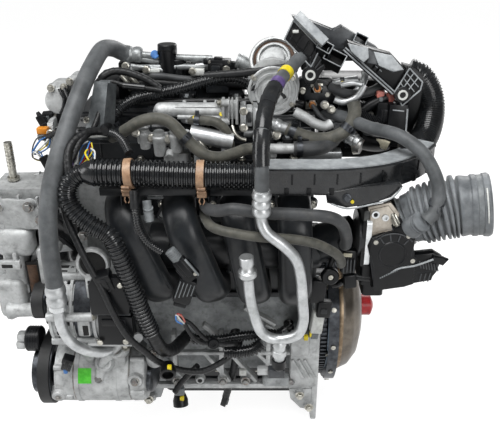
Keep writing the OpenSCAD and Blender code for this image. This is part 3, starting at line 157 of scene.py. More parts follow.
class Piece:
    """One mesh built from many shapes. It rides on one body. `skin` is the material of a shape that names none."""

    def __init__(self, name, skin=None, body="engine", slot=None):
        self.name, self.skin, self.body, self.slot = name, skin, body, slot
        self.mesh = bmesh.new()
        self.materials = []

    def paint(self, faces, material):
        if material not in self.materials:
            self.materials.append(material)
        index = self.materials.index(material)
        for face in faces:
            face.material_index = index

    def take(self, part, material, place=None):
        """Moves a small finished bmesh into this piece."""
        if place is not None:
            bmesh.ops.transform(part, matrix=place, verts=part.verts)
        moved = {vert: self.mesh.verts.new(vert.co) for vert in part.verts}
        faces = [self.mesh.faces.new([moved[vert] for vert in face.verts]) for face in part.faces]
        self.paint(faces, material or self.skin)
        part.free()

    def tube(self, points, radius, material=None, sides=20, spacing=0.004, wall=0.0, flat=1.0, first=None,
             smooth=True):
        """A round bar along a route. `radius` is a number, or a function of how far along it is, from 0 to 1."""
        line = smooth_route(points, spacing) if smooth else route(*points)
        along = directions(line)
        side = side_vectors(along, first)
        size = radius if callable(radius) else (lambda t: radius)
        part = bmesh.new()

        def skin(shrink):
            rings = []
            for i, centre in enumerate(line):
                r = size(i / max(1, len(line) - 1)) - shrink
                up = along[i].cross(side[i])
                rings.append([part.verts.new(centre + r * math.cos(a) * side[i] + r * flat * math.sin(a) * up)
                              for a in (2 * math.pi * k / sides for k in range(sides))])
            return rings

        def join(rings, inward):
            for low, high in zip(rings, rings[1:]):
                for k in range(sides):
                    quad = [low[k], low[(k + 1) % sides], high[(k + 1) % sides], high[k]]
                    part.faces.new(quad[::-1] if inward else quad)

        outer = skin(0)
        join(outer, False)
        if wall > 0:
            inner = skin(wall)
            join(inner, True)
            for ends, flip in (((outer[0], inner[0]), False), ((outer[-1], inner[-1]), True)):
                for k in range(sides):
                    quad = [ends[0][k], ends[1][k], ends[1][(k + 1) % sides], ends[0][(k + 1) % sides]]
                    part.faces.new(quad[::-1] if flip else quad)
        else:
            part.faces.new(outer[0][::-1])
            part.faces.new(outer[-1])
        self.take(part, material)
        return self

    def turned(self, profile, origin, axis, material=None, sides=32):
        """Spins a profile of (distance along the axis, radius) pairs, in metres. A radius of 0 closes an end."""
        turn = Vector(axis).to_track_quat("Z", "Y").to_matrix().to_4x4()
        part = bmesh.new()
        rings = []
        for height, r in profile:
            if r <= 0:
                rings.append([part.verts.new((0, 0, height))])
            else:
                rings.append([part.verts.new((r * math.cos(a), r * math.sin(a), height))
                              for a in (2 * math.pi * k / sides for k in range(sides))])
        for low, high in zip(rings, rings[1:]):
            for k in range(sides):
                quad = [low[k % len(low)], low[(k + 1) % len(low)], high[(k + 1) % len(high)], high[k % len(high)]]
                corners = list(dict.fromkeys(quad))
                if len(corners) > 2:
                    part.faces.new(corners)
        for ring, flip in ((rings[0], True), (rings[-1], False)):
            if len(ring) > 1:
                part.faces.new(ring[::-1] if flip else ring)
        self.take(part, material, Matrix.Translation(at(origin)) @ turn)
        return self

    def block(self, low, high, material=None, ease=0.002, turn=None, about=None, segments=2):
        """A box between two corners with eased edges, turned about a point if one is given."""
        low, high = at(low), at(high)
        part = bmesh.new()
        bmesh.ops.create_cube(part, size=1)
        size = high - low
        bmesh.ops.transform(part, matrix=Matrix.Diagonal((*size, 1)), verts=part.verts)
        ease = min(ease, 0.49 * min(size))
        if ease > 0:
            bmesh.ops.bevel(part, geom=part.edges, offset=ease, segments=segments, profile=0.5, affect="EDGES")
        place = Matrix.Translation((low + high) / 2)
        if turn is not None:
            centre = Vector(about) if about is not None else (low + high) / 2
            place = Matrix.Translation(centre) @ turn.to_4x4() @ Matrix.Translation(-centre) @ place
        self.take(part, material, place)
        return self

    def blocks(self, *rows, skin=None):
        """Several blocks of one material. A row is two corners and, in millimetres, how far the edges are eased."""
        for low, high, ease in rows:
            self.block(low, high, skin, ease / 1000)

    def tubes(self, *rows, sides=20, skin=None):
        """Several tubes of one material. A row is a radius in millimetres and the places along the route."""
        for radius, *points in rows:
            self.tube(points, radius / 1000, skin, sides)

    def plate(self, outline, thickness, place, material=None, ease=0.0015):
        """A flat outline of (u, v) pairs, drawn out along its own third axis, set down by the matrix `place`."""
        part = bmesh.new()
        low = [part.verts.new((u, v, 0)) for u, v in outline]
        high = [part.verts.new((u, v, thickness)) for u, v in outline]
        rims = [part.faces.new(low[::-1]), part.faces.new(high)]
        count = len(outline)
        for k in range(count):
            part.faces.new([low[k], low[(k + 1) % count], high[(k + 1) % count], high[k]])
        if ease > 0:
            edges = {edge for face in rims for edge in face.edges}
            bmesh.ops.bevel(part, geom=list(edges), offset=ease, segments=2, profile=0.5, affect="EDGES")
        self.take(part, material, place)
        return self

    def hex_bolt(self, head, axis, across, material=None, height=None, washer=True):
        """A flanged hexagon head that stands on the point `head` and looks along `axis`."""
        height = height or across * 0.62
        r = across / math.sqrt(3)
        start = 0
        if washer:
            self.turned([(0, across * 0.78), (across * 0.08, across * 0.78), (across * 0.17, across * 0.55)],
                        head, axis, material, sides=20)
            start = across * 0.1
        self.turned([(start, r), (height * 0.86, r), (height, r * 0.86)], head, axis, material, sides=6)
        return self

    def done(self, replaces=()):
        """Writes the mesh and hangs the piece on its body."""
        mesh = bpy.data.meshes.new(self.name)
        bmesh.ops.recalc_face_normals(self.mesh, faces=self.mesh.faces)
        self.mesh.to_mesh(mesh)
        self.mesh.free()
        for material in self.materials:
            mesh.materials.append(material)
        return hang(mesh, self.name, self.body, replaces)


def set_down(origin, u=(1, 0, 0), v=(0, 0, 1)):
    """A matrix that lays a drawing's own axes along the directions u and v, with its corner at origin."""
    u, v = Vector(u).normalized(), Vector(v).normalized()
    w = u.cross(v).normalized()
    return Matrix.Translation(at(origin)) @ Matrix((u, w.cross(u), w)).transposed().to_4x4()

# %% [markdown]
# ## Finishes
# An engine is mostly five stuffs: cast aluminium, drawn or machined metal, moulded nylon, rubber hose and taped or
# corrugated wiring. Each material below starts from how its surface was made. Patterns read Object coordinates, in
# metres, so a scale is one over a real size.

# %% Colour and node helpers
def linear(hex_colour):
    """An sRGB hex value as the linear colour that a shader takes."""
    channels = [int(hex_colour.lstrip("#")[i:i + 2], 16) / 255 for i in (0, 2, 4)]
    return (*[c / 12.92 if c <= 0.04045 else ((c + 0.055) / 1.055) ** 2.4 for c in channels], 1.0)


def add(tree, kind, settings=(), **links):
    """Adds a node, sets its properties, and fills its inputs with values or with other sockets."""
    node = tree.nodes.new(kind)
    for key, value in dict(settings).items():
        setattr(node, key, value)
    for key, value in links.items():
        name = key.replace("_", " ")
        socket = node.inputs[int(key[1:])] if key[0] == "i" and key[1:].isdigit() else node.inputs[name]
        if isinstance(value, bpy.types.NodeSocket):
            tree.links.new(value, socket)
        else:
            socket.default_value = value
    return node


def per_mm(size):
    """The texture scale whose cells are about `size` millimetres."""
    return 1000 / size


def ramp(tree, factor, stops):
    """A colour ramp from (position, hex) pairs."""
    node = add(tree, "ShaderNodeValToRGB", i0=factor)
    marks = node.color_ramp.elements
    while len(marks) < len(stops):
        marks.new(0.5)
    for mark, (position, colour) in zip(marks, stops):
        mark.position, mark.color = position, linear(colour)
    return node.outputs[0]


GRAIN_DEPTH = 0.00025


def finish(name, dark, light, metal, rough, cloud_mm, grain_mm, bump, grime="#2b2723", grime_amount=0.25,
           grain_stretch=(1, 1, 1), rough_spread=0.12, edge_wear=None, sheen=0.0, coat=0.0, ior=1.5):
    """A worked surface: clouds of two tones, a fine grain that dulls and bumps it, grime, and rubbed edges."""
    made = bpy.data.materials.new(name)
    made.use_nodes = True
    tree = made.node_tree
    shader = tree.nodes["Principled BSDF"]
    place = add(tree, "ShaderNodeTexCoord").outputs["Object"]
    stretched = add(tree, "ShaderNodeMapping", Vector=place, Scale=grain_stretch).outputs[0]
    cloud = add(tree, "ShaderNodeTexNoise", Vector=place, Scale=per_mm(cloud_mm), Detail=4.0, Roughness=0.6)
    grain = add(tree, "ShaderNodeTexNoise", Vector=stretched, Scale=per_mm(grain_mm), Detail=3.0, Roughness=0.65)
    tone = ramp(tree, cloud.outputs[0], [(0.34, dark), (0.66, light)])
    dirt = add(tree, "ShaderNodeTexNoise", Vector=place, Scale=per_mm(cloud_mm * 0.45), Detail=6.0, Roughness=0.7)
    spots = add(tree, "ShaderNodeMapRange", Value=dirt.outputs[0])
    for socket, value in zip(spots.inputs[1:5], (0.5, 0.75, 0.0, grime_amount)):
        socket.default_value = value
    colour = add(tree, "ShaderNodeMix", {"data_type": "RGBA"}, i0=spots.outputs[0], i6=tone, i7=linear(grime))
    out = colour.outputs[2]
    if edge_wear:
        rounded = add(tree, "ShaderNodeBevel", {"samples": 4}, Radius=0.0012)
        true_normal = add(tree, "ShaderNodeNewGeometry").outputs["Normal"]
        facing = add(tree, "ShaderNodeVectorMath", {"operation": "DOT_PRODUCT"}, i0=rounded.outputs[0], i1=true_normal)
        rubbed = add(tree, "ShaderNodeMapRange", Value=facing.outputs["Value"])
        for socket, value in zip(rubbed.inputs[1:5], (0.985, 0.90, 0.0, 0.8)):
            socket.default_value = value
        worn = add(tree, "ShaderNodeMath", {"operation": "MULTIPLY"}, i0=rubbed.outputs[0], i1=cloud.outputs[0])
        out = add(tree, "ShaderNodeMix", {"data_type": "RGBA"}, i0=worn.outputs[0], i6=out,
                  i7=linear(edge_wear)).outputs[2]
    tree.links.new(out, shader.inputs["Base Color"])
    dull = add(tree, "ShaderNodeMapRange", Value=grain.outputs[0])
    for socket, value in zip(dull.inputs[1:5], (0.3, 0.7, rough - rough_spread / 2, rough + rough_spread / 2)):
        socket.default_value = value
    tree.links.new(dull.outputs[0], shader.inputs["Roughness"])
    shader.inputs["Metallic"].default_value = metal
    shader.inputs["Sheen Weight"].default_value = sheen
    shader.inputs["Coat Weight"].default_value = coat
    if metal < 0.5:
        shader.inputs["IOR"].default_value = ior
    relief = add(tree, "ShaderNodeBump", Strength=bump, Distance=GRAIN_DEPTH, Height=grain.outputs[0])
    tree.links.new(relief.outputs[0], shader.inputs["Normal"])
    return made


# %% Metals
# Each call gives the two tones, metal, roughness, the sizes of clouds and grain in mm, the bump, and the grime.
# Die-cast aluminium: a grey skin with a pebbled grain, dulled by oxide and road dust.
cast_aluminium = finish("cast_aluminium", "#a0a2a2", "#c4c6c6", 0.55, 0.6, 30, 1.6, 0.35, "#3a3733", 0.5)
# Sand-cast block metal is darker and coarser.
sand_cast = finish("sand_cast_aluminium", "#818485", "#a9acad", 0.6, 0.58, 35, 2.2, 0.5, "#2c2a27", 0.6)
# Drawn aluminium pipe: pale, with a soft shine and faint lengthwise marks.
dull_pipe = finish("dulled_aluminium_pipe", "#7c7f80", "#a2a5a5", 0.6, 0.46, 14, 0.7, 0.08, "#3c3a36", 0.6)
drawn_aluminium = finish("drawn_aluminium", "#a9acad", "#c9cbcc", 0.85, 0.4, 18, 0.7, 0.06, "#77736c", 0.3)
# Machined faces keep the light of the cutter.
machined_aluminium = finish("machined_aluminium", "#c0c3c4", "#dfe1e2", 0.85, 0.34, 14, 0.6, 0.05, "#6d6963", 0.25)
# Zinc-plated steel screws and clips: bright, a little yellow.
zinc_steel = finish("zinc_plated_steel", "#8d8b83", "#c3c1b8", 0.95, 0.34, 8, 0.5, 0.05, "#4a4238", 0.35)
# Oiled steel of shafts and pulleys.
oiled_steel = finish("oiled_steel", "#34363a", "#55585c", 0.9, 0.38, 12, 0.6, 0.08, "#2a2019", 0.5)
bright_steel = finish("ground_steel", "#777a7d", "#a4a7a9", 0.95, 0.32, 16, 0.6, 0.05, "#4b3a2c", 0.4)
# Black paint over pressed steel, rubbed bright on its edges.
black_paint = finish("black_paint_on_steel", "#141517", "#222427", 0.0, 0.42, 20, 1.2, 0.08, "#3c3833", 0.4,
    edge_wear="#6a6c6e", coat=0.15)
# Cast iron that has been hot: brown-grey scale.
hot_iron = finish("scaled_cast_iron", "#43352c", "#6b5648", 0.5, 0.75, 18, 1.5, 0.5, "#7a4a2a", 0.5)
copper = finish("copper_plated_steel", "#8c5a35", "#c2895b", 0.95, 0.32, 6, 0.4, 0.05)
brass = finish("turned_brass", "#8a7138", "#b3964f", 0.95, 0.35, 8, 0.5, 0.05)
rusty_steel = finish("rust_spotted_steel", "#6d6f70", "#9a9a96", 0.8, 0.45, 14, 0.8, 0.15, "#6e3d1e", 0.8)

# %% Plastics and rubbers
# Glass-filled nylon from a mould: near black, with a silky haze that dust turns grey.
moulded_nylon = finish("glass_filled_nylon", "#131518", "#1f2225", 0.0, 0.34, 45, 0.9, 0.1, "#3e3e3c", 0.35,
    rough_spread=0.1, sheen=0.05, ior=1.38)
black_plastic = finish("black_polypropylene", "#07080a", "#101113", 0.0, 0.34, 20, 0.7, 0.08, "#1d1d1c", 0.3,
    edge_wear="#3a3c3f", ior=1.33)
# Corrugated conduit: thin polypropylene, shiny on every ridge.
conduit_plastic = finish("conduit_polypropylene", "#121315", "#232527", 0.0, 0.2, 22, 0.8, 0.05, "#3f3d39", 0.3)
# Soft PVC tape, wound by hand: a satin black.
wiring_tape = finish("wound_pvc_tape", "#0d0e0f", "#1a1b1d", 0.0, 0.42, 10, 1.0, 0.15, "#3a3936", 0.3, ior=1.38)
grey_plastic = finish("grey_nylon", "#5d6163", "#787c7e", 0.0, 0.5, 12, 0.7, 0.08, "#3a3936", 0.35)
# Hose rubber: EPDM with a chalky bloom.
hose_rubber = finish("hose_rubber", "#232527", "#3a3c3e", 0.0, 0.55, 28, 0.9, 0.2, "#5b5954", 0.4, sheen=0.15)
pale_hose = finish("weathered_hose_rubber", "#3a3d3f", "#585b5d", 0.0, 0.55, 30, 0.9, 0.2, "#2f302f", 0.4, sheen=0.15)
olive_hose = finish("old_vacuum_hose_rubber", "#35352f", "#504f47", 0.0, 0.6, 22, 0.8, 0.25, "#6e6b60", 0.5,
    sheen=0.15)
duct_rubber = finish("duct_rubber", "#4c5053", "#7c8083", 0.0, 0.46, 35, 1.0, 0.15, "#45474a", 0.4, sheen=0.15)
belt_rubber = finish("belt_rubber", "#101112", "#1d1e1f", 0.0, 0.6, 18, 0.8, 0.2)
tan_nylon = finish("tan_nylon", "#86674f", "#ad8d70", 0.0, 0.45, 10, 0.6, 0.08, "#3b2a20", 0.4)
white_nylon = finish("white_nylon", "#b9bbb8", "#d6d8d4", 0.0, 0.45, 10, 0.6, 0.05, "#7a766c", 0.4)
yellow_plastic = finish("yellow_plastic", "#c9b314", "#e4d02c", 0.0, 0.4, 10, 0.6, 0.05, "#6b5518", 0.3)
orange_plastic = finish("orange_plastic", "#c9781c", "#e39a35", 0.0, 0.4, 10, 0.6, 0.05)
purple_plastic = finish("purple_plastic", "#4a3a66", "#66528a", 0.0, 0.45, 10, 0.6, 0.05)
blue_plastic = finish("blue_plastic", "#2e5f9c", "#4a82c4", 0.0, 0.4, 10, 0.6, 0.05)
red_plastic = finish("red_plastic", "#a3161c", "#c9242b", 0.0, 0.35, 10, 0.6, 0.05)
green_label = finish("green_label", "#46b82c", "#63d443", 0.0, 0.5, 10, 0.6, 0.02)
salmon_plastic = finish("salmon_plastic", "#b5655a", "#cf8175", 0.0, 0.45, 10, 0.6, 0.05)
# Steel that welding has tinted: a blue band, and a straw-brown one beside the bead.
blued_steel = finish("heat_blued_steel", "#4a5560", "#6f7c88", 0.9, 0.34, 16, 0.6, 0.06, "#5a4632", 0.5)
converter_steel = finish("heat_darkened_steel", "#4f4a44", "#756e65", 0.9, 0.36, 45, 0.7, 0.06, "#38291c", 0.5,
    grain_stretch=(3, 0.4, 0.4))
bar_steel = finish("dulled_pressed_steel", "#4d5153", "#707476", 0.5, 0.42, 22, 0.8, 0.08, "#2f3031", 0.5)
# Cast metal painted dark as painted shade, for a flange that sits in shadow
shade_painted_casting = finish("shadowed_casting", "#3a3b3b", "#565857", 0.5, 0.55, 24, 1.0, 0.2, "#232220", 0.5)
throttle_casting = finish("warm_cast_aluminium", "#a29a8f", "#c2bbb0", 0.5, 0.46, 24, 0.8, 0.12, "#6b5c4c", 0.5)
weld_steel = finish("straw_tinted_steel", "#6a5a48", "#8e7d68", 0.9, 0.4, 14, 0.7, 0.12, "#3a2c20", 0.5)
# Black plastic painted mid grey as a painted sheen, for faces and ribs that would shine in the lamp's light
sheen_grey_plastic = finish("scuffed_polypropylene", "#2a2c2f", "#45484b", 0.0, 0.42, 16, 0.8, 0.1, "#2a2a29", 0.4)
# The same plastic painted light grey: a painted highlight for flat faces and edges that the lamp falls on
highlight_grey_plastic = finish("greyed_polypropylene", "#85898c", "#aaaeb0", 0.0, 0.36, 18, 0.8, 0.06, "#4a4d4f", 0.35)
tan_cream = finish("aged_white_nylon", "#a8a38f", "#c4bfaa", 0.0, 0.5, 9, 0.6, 0.08, "#5e584a", 0.5)
# Painted shadow: a near black that takes almost no light, put in bores, slots, pockets and sockets where shade falls
shadow_black = finish("black_seal_rubber", "#040404", "#090909", 0.0, 0.8, 10, 0.6, 0.05)
print("Finishes:", len(bpy.data.materials))

# %% [markdown]
# ## The loose end of the wiring
# One taped branch of the wiring hangs free below the block, where it was unplugged from the car. Tape is wound with
# each turn half over the last, so the branch has a low step every few millimetres. It ends in a small connector.

# %% Hanging branch
TAIL_RADIUS = 0.008
TAPE_STEP = 0.009


def wound(radius, length, step=TAPE_STEP, rise=0.0006):
    """The radius of a taped bundle along its length: it grows a little and drops at each turn."""
    return lambda t: radius - rise + rise * ((t * length / step) % 1.0)


tail_route = route((40, -142, 36), (44, -148, 12), (43, -152, -18), (38, -150, -55), (31, -146, -90),
                   (24, -142.4, -120), (20, -141, -137))
tail_line = smooth_route(tail_route, 0.0015)
tail_length = sum((b - a).length for a, b in zip(tail_line, tail_line[1:]))
tail = Piece("hanging_branch", slot="loom_black")
tail.tube(tail_route, wound(TAIL_RADIUS, tail_length), wiring_tape, spacing=0.0015, sides=18)
tail = tail.done(replaces=["loom_tail"])
tail_aim = (tail_line[-1] - tail_line[-3]).normalized()
tail_plug = Piece("hanging_connector", slot="black_plastic")
turned_down = tail_aim.to_track_quat("Z", "Y").to_matrix()
tail_end = tail_line[-1]
tail_plug.block(tail_end + Vector((-0.0075, -0.006, -0.004)), tail_end + Vector((0.0075, 0.006, 0.022)),
                black_plastic, 0.0015, turned_down, tail_end)
tail_plug.block(tail_end + Vector((-0.003, -0.0085, 0.004)), tail_end + Vector((0.003, -0.005, 0.019)),
                grey_plastic, 0.001, turned_down, tail_end)
tail_plug = tail_plug.done()
print(f"Hanging branch: {tail_length * 1000:.0f} mm")

# %% [markdown]
# ## Rules that repeat
# The ridges of a conduit are the same shape again and again, so a small Geometry Nodes tree makes them. The tree
# gets its sizes through named inputs, and its result is turned into a plain mesh, because the exported model keeps
# meshes only. A second tree smooths the light on the CAD pieces.

# %% Tree helpers
def new_tree(name, **inputs):
    """An empty tree with a geometry input, the given named inputs, and a geometry output."""
    tree = bpy.data.node_groups.new(name, "GeometryNodeTree")
    face = tree.interface
    face.new_socket("Geometry", in_out="INPUT", socket_type="NodeSocketGeometry")
    face.new_socket("Geometry", in_out="OUTPUT", socket_type="NodeSocketGeometry")
    for key, value in inputs.items():
        kind = {float: "NodeSocketFloat", int: "NodeSocketInt"}.get(type(value), "NodeSocketMaterial")
        socket = face.new_socket(key.replace("_", " "), in_out="INPUT", socket_type=kind)
        if kind != "NodeSocketMaterial":
            socket.default_value = value
    return tree, tree.nodes.new("NodeGroupInput").outputs, tree.nodes.new("NodeGroupOutput").inputs


def run_tree(source, tree, name, body, slot=None, replaces=(), angle=34, **values):
    """Runs a tree on an object, keeps the result as a plain mesh, and hangs it on its body."""
    modifier = source.modifiers.new("shape", "NODES")
    modifier.node_group = tree
    for item in tree.interface.items_tree:
        if item.in_out == "INPUT" and item.name.replace(" ", "_") in values:
            modifier[item.identifier] = values[item.name.replace(" ", "_")]
    seen = source.evaluated_get(bpy.context.evaluated_depsgraph_get())
    mesh = bpy.data.meshes.new_from_object(seen)
    mesh.name = name
    bpy.data.objects.remove(source)
    return hang(mesh, name, body, replaces, angle)


# %% [markdown]
# ### Corrugated conduit
# A thin plastic tube pressed into ridges, so that it bends without a kink. Resampling the route to a quarter of a
# ridge and lifting every second pair of rings gives the true profile, in one skin.

# %% Conduit tree
conduit_tree, given, out = new_tree("conduit", Radius=0.01, Ridge=0.005, Depth=0.0015, Sides=18, Skin=wiring_tape)
quarter = add(conduit_tree, "ShaderNodeMath", {"operation": "DIVIDE"}, i0=given["Ridge"], i1=4.0)
rings = add(conduit_tree, "GeometryNodeResampleCurve", {"mode": "LENGTH"}, Curve=given["Geometry"],
            Length=quarter.outputs[0])
number = add(conduit_tree, "GeometryNodeInputIndex")
turn = add(conduit_tree, "ShaderNodeMath", {"operation": "MODULO"}, i0=number.outputs[0], i1=4.0)
valley = add(conduit_tree, "ShaderNodeMath", {"operation": "GREATER_THAN"}, i0=turn.outputs[0], i1=1.5)
sunk = add(conduit_tree, "ShaderNodeMath", {"operation": "MULTIPLY"}, i0=valley.outputs[0], i1=given["Depth"])
size = add(conduit_tree, "ShaderNodeMath", {"operation": "SUBTRACT"}, i0=given["Radius"], i1=sunk.outputs[0])
sized = add(conduit_tree, "GeometryNodeSetCurveRadius", Curve=rings.outputs[0], Radius=size.outputs[0])
section = add(conduit_tree, "GeometryNodeCurvePrimitiveCircle", Resolution=given["Sides"], Radius=1.0)
skin = add(conduit_tree, "GeometryNodeCurveToMesh", Curve=sized.outputs[0], i1=section.outputs[0])
for socket in skin.inputs:
    if socket.name == "Fill Caps":
        socket.default_value = True
    if socket.name == "Scale":
        radius = add(conduit_tree, "GeometryNodeInputRadius")
        conduit_tree.links.new(radius.outputs[0], socket)
real = add(conduit_tree, "GeometryNodeRealizeInstances", Geometry=skin.outputs[0])
done = add(conduit_tree, "GeometryNodeSetMaterial", Geometry=real.outputs[0], Material=given["Skin"])
conduit_tree.links.new(done.outputs[0], out["Geometry"])


def curve_object(points):
    curve = bpy.data.curves.new("route", "CURVE")
    curve.dimensions = "3D"
    line = smooth_route(points, 0.003)
    spline = curve.splines.new("POLY")
    spline.points.add(len(line) - 1)
    for spot, point in zip(spline.points, line):
        spot.co = (*point, 1)
    made = bpy.data.objects.new("route", curve)
    link(made)
    return made


def conduit(name, points, radius, ridge=0.0045, depth=0.0016, **more):
    return run_tree(curve_object(points), conduit_tree, name, "engine", slot="loom_black", angle=50, Radius=radius,
                    Ridge=ridge, Depth=depth, Skin=conduit_plastic, **more)


# %% [markdown]
# ### Smooth light on the CAD pieces
# The CAD pieces arrive as loose triangles. Their shapes are right, so they stay as they are, and one modifier joins
# their edges and lets light run smoothly over every bend that is less than a set angle.

# %% Soft shading tree
shade_tree, given, out = new_tree("soft_shading", Angle=0.6)
joined = add(shade_tree, "GeometryNodeMergeByDistance", Geometry=given["Geometry"], Distance=0.00002)
fold = add(shade_tree, "GeometryNodeInputMeshEdgeAngle")
gentle = add(shade_tree, "FunctionNodeCompare", {"operation": "LESS_THAN"}, i0=fold.outputs[0], i1=given["Angle"])
faces = add(shade_tree, "GeometryNodeSetShadeSmooth", {"domain": "FACE"}, Geometry=joined.outputs[0])
edges = add(shade_tree, "GeometryNodeSetShadeSmooth", {"domain": "EDGE"}, Geometry=faces.outputs[0],
            i2=gentle.outputs[0])
shade_tree.links.new(edges.outputs[0], out["Geometry"])


def coat(material, *names):
    """Gives CAD pieces a finish and smooth light."""
    for name in names:
        made = CAD[name]
        made.data.materials.clear()
        made.data.materials.append(material)
        modifier = made.modifiers.new("soft_shading", "NODES")
        modifier.node_group = shade_tree


coat(sand_cast, "cylinder_block", "bedplate", "cylinder_head")
coat(cast_aluminium, "front_cover", "phaser_cover", "alternator_body", "ac_compressor", "mount_bracket",
     "vacuum_pump", "tensioner_arm", "coolant_outlet")
coat(machined_aluminium, "cam_caps", "throttle_body", "pistons_outer", "pistons_inner", "egr_cooler",
     "refrigerant_pipes")
coat(black_paint, "oil_pan", "oil_filter", "pump_pulley")
coat(moulded_nylon, "cam_cover", "intake_manifold", "alternator_cover", "wiring_tray")
coat(black_plastic, "connector_bracket", "throttle_motor", "ignition_coils", "tensioner_pulley", "oil_filler_cap")
coat(oiled_steel, "crankshaft", "flexplate", "crank_pulley", "camshaft_intake", "camshaft_exhaust", "compressor_pulley",
     "alternator_pulley", "timing_chain")
coat(bright_steel, "head_gasket", "dipstick_tube")
coat(converter_steel, "adapter_plate", "torque_converter")
coat(zinc_steel, "mount_stud", "bolts", "duct_clamps")
coat(hot_iron, "exhaust_manifold")
coat(brass, "throttle_plate")
coat(yellow_plastic, "dipstick")
coat(belt_rubber, "accessory_belt")
coat(duct_rubber, "intake_duct")
coat(pale_hose, "suction_hose")
coat(hose_rubber, "discharge_hose", "coolant_hoses", "breather_hose")
coat(olive_hose, "vacuum_hoses")
coat(conduit_plastic, "main_loom", "front_loom", "lower_loom", "rear_loom")
coat(wiring_tape, "loom_tail")
coat(tan_nylon, "clamps")

# %% [markdown]
# ## Wiring
# The car's wiring crosses the front of the engine in a thick corrugated conduit, held by two tan clamps. At its
# left end it turns down into a thinner branch, which runs past the alternator to the starter. Beside it hangs a
# thin lead wound in tape. The small end is where the conduit is cut, with sleeves of tape over the joints.

# %% Conduits
LOOM_RADIUS = 0.023
main_route = route((-184, -217, 404), (-160, -217, 404), (-100, -217, 402), (-30, -216, 399), (40, -214, 397),
    (99, -212, 395))
conduit("main_conduit", main_route, LOOM_RADIUS, ridge=0.0076, depth=0.0034, replaces=["main_loom"])
branch_route = route((-184, -217, 404), (-204, -218, 403), (-222, -223, 390), (-227, -232, 368), (-214, -241, 344),
    (-190, -247, 324), (-160, -251, 304), (-148, -255, 276), (-138, -256, 240), (-128, -256, 200), (-118, -256, 160),
    (-104, -252, 110), (-90, -240, 66), (-74, -214, 44), (-58, -184, 42), (-48, -168, 44))
conduit("front_branch_conduit", branch_route[:12], 0.0162, ridge=0.007, depth=0.0028, replaces=["front_loom"])
conduit("lower_conduit", [(-47, -176, 44), (-36, -180, 43), (-18, -182, 42), (15, -182, 43), (50, -180, 48),
    (90, -176, 50), (125, -160, 40), (146, -124, 24), (150, -112, 20), (150, -95.5, 20)], 0.0105, ridge=0.0058,
    depth=0.0024, replaces=["lower_loom"])
rear_route = route((352, -92, 398), (374, -84, 402), (392, -66, 416), (402, -48, 440), (404, -34, 466),
    (396, -24, 492), (380, -18, 512), (360, -14, 520))
conduit("rear_conduit", rear_route, 0.0255, ridge=0.0046, depth=0.0018, replaces=["rear_loom"])
conduit("injector_conduit", [(-178, -90, 446), (-160, -84, 470), (-130, -74, 486), (-90, -66, 494), (-50, -60, 502),
    (-10, -54, 512), (30, -50, 519), (60, -52, 515), (84, -60, 500)], 0.0108, ridge=0.0062, depth=0.0024)
conduit("sensor_conduit", [(-112, -268, 366), (-110, -272, 352), (-108, -274, 334), (-100, -274, 314),
    (-88, -272, 298), (-74, -270, 286)], 0.0062, ridge=0.0042, depth=0.0012)
conduit("small_upper_conduit", [(-172, -140, 446), (-156, -152, 446), (-140, -172, 440), (-128, -192, 428)], 0.0072,
    ridge=0.0045, depth=0.0013)
conduit("starter_conduit", [(22, -204, 30), (48, -204, 30), (76, -202, 34), (94, -196, 46)], 0.0125, ridge=0.0062,
    depth=0.0026)

# %% Taped branches
def taped(piece, points, radius, step=TAPE_STEP, rise=0.0006):
    line = smooth_route(points, 0.0016)
    length = sum((b - a).length for a, b in zip(line, line[1:]))
    piece.tube(points, wound(radius, length, step, rise), wiring_tape, spacing=0.0016, sides=16)


tape_work = Piece("taped_branches", slot="loom_black")
taped(tape_work, branch_route[11:], 0.0128, 0.012, 0.0008)
taped(tape_work, [(-200, -160, 452), (-212, -184, 440), (-225, -203, 412), (-237, -216, 368), (-236, -226, 331),
    (-219, -242, 292), (-201, -254, 253), (-180, -264, 210), (-162, -270, 160), (-142, -268, 112), (-118, -256, 72),
    (-96, -246, 40), (-60, -236, 14), (-22, -226, 2), (6, -214, 6), (34, -196, 16), (44, -186, 30)], 0.0062, 0.008)
taped(tape_work, [(-222, -222, 398), (-226, -206, 424), (-222, -188, 442), (-206, -166, 452), (-190, -150, 452),
    (-172, -140, 446)], 0.0075, 0.009)
taped(tape_work, [(-60, -206, 110), (-40, -204, 96), (-20, -200, 66), (0, -196, 44), (20, -190, 34)], 0.0042, 0.006)
taped(tape_work, [(36, -180, 30), (44, -168, 20), (46, -156, 24), (40, -144, 34)], 0.0115, 0.012, 0.0008)
taped(tape_work, [(-112, -262, 392), (-112, -266, 380), (-112, -268, 364)], 0.0072, 0.008)
taped(tape_work, [(-176, -150, 452), (-178, -120, 450), (-178, -90, 446)], 0.0085, 0.01)
# The shoulder where the thick conduit necks down to its branch
tape_work.turned(mm((0, 15), (4, 17.6), (10, 20), (18, 22.2), (22, 22.2)), main_route[0] - Vector((0.018, 0, 0)),
    (1, 0, 0), conduit_plastic, 40)
tape_work.done()

# %% [markdown]
# ## Hoses and refrigerant lines
# The two refrigerant lines change from drawn aluminium pipe to rubber hose under crimped sleeves. A crimp bites
# the sleeve in rings, so its profile has two or three bulges. Bands of coloured tape mark the hose, and below them
# it is wrapped in a spiral of black film.

# %% Crimped sleeve
def sleeve(piece, low, axis, radius, length, bulges, material):
    """A crimped sleeve that starts at `low` and has `bulges` rings along it."""
    profile = [(0, radius * 0.82), (length * 0.04, radius * 0.92)]
    span = length * 0.92 / bulges
    for k in range(bulges):
        start = length * 0.04 + k * span
        for t, r in ((0.05, 0.93), (0.2, 1.0), (0.6, 1.0), (0.8, 0.93), (0.95, 0.88)):
            profile.append((start + t * span, radius * r))
    profile += [(length * 0.98, radius * 0.9), (length, radius * 0.8)]
    piece.turned(profile, low, axis, material, 36)


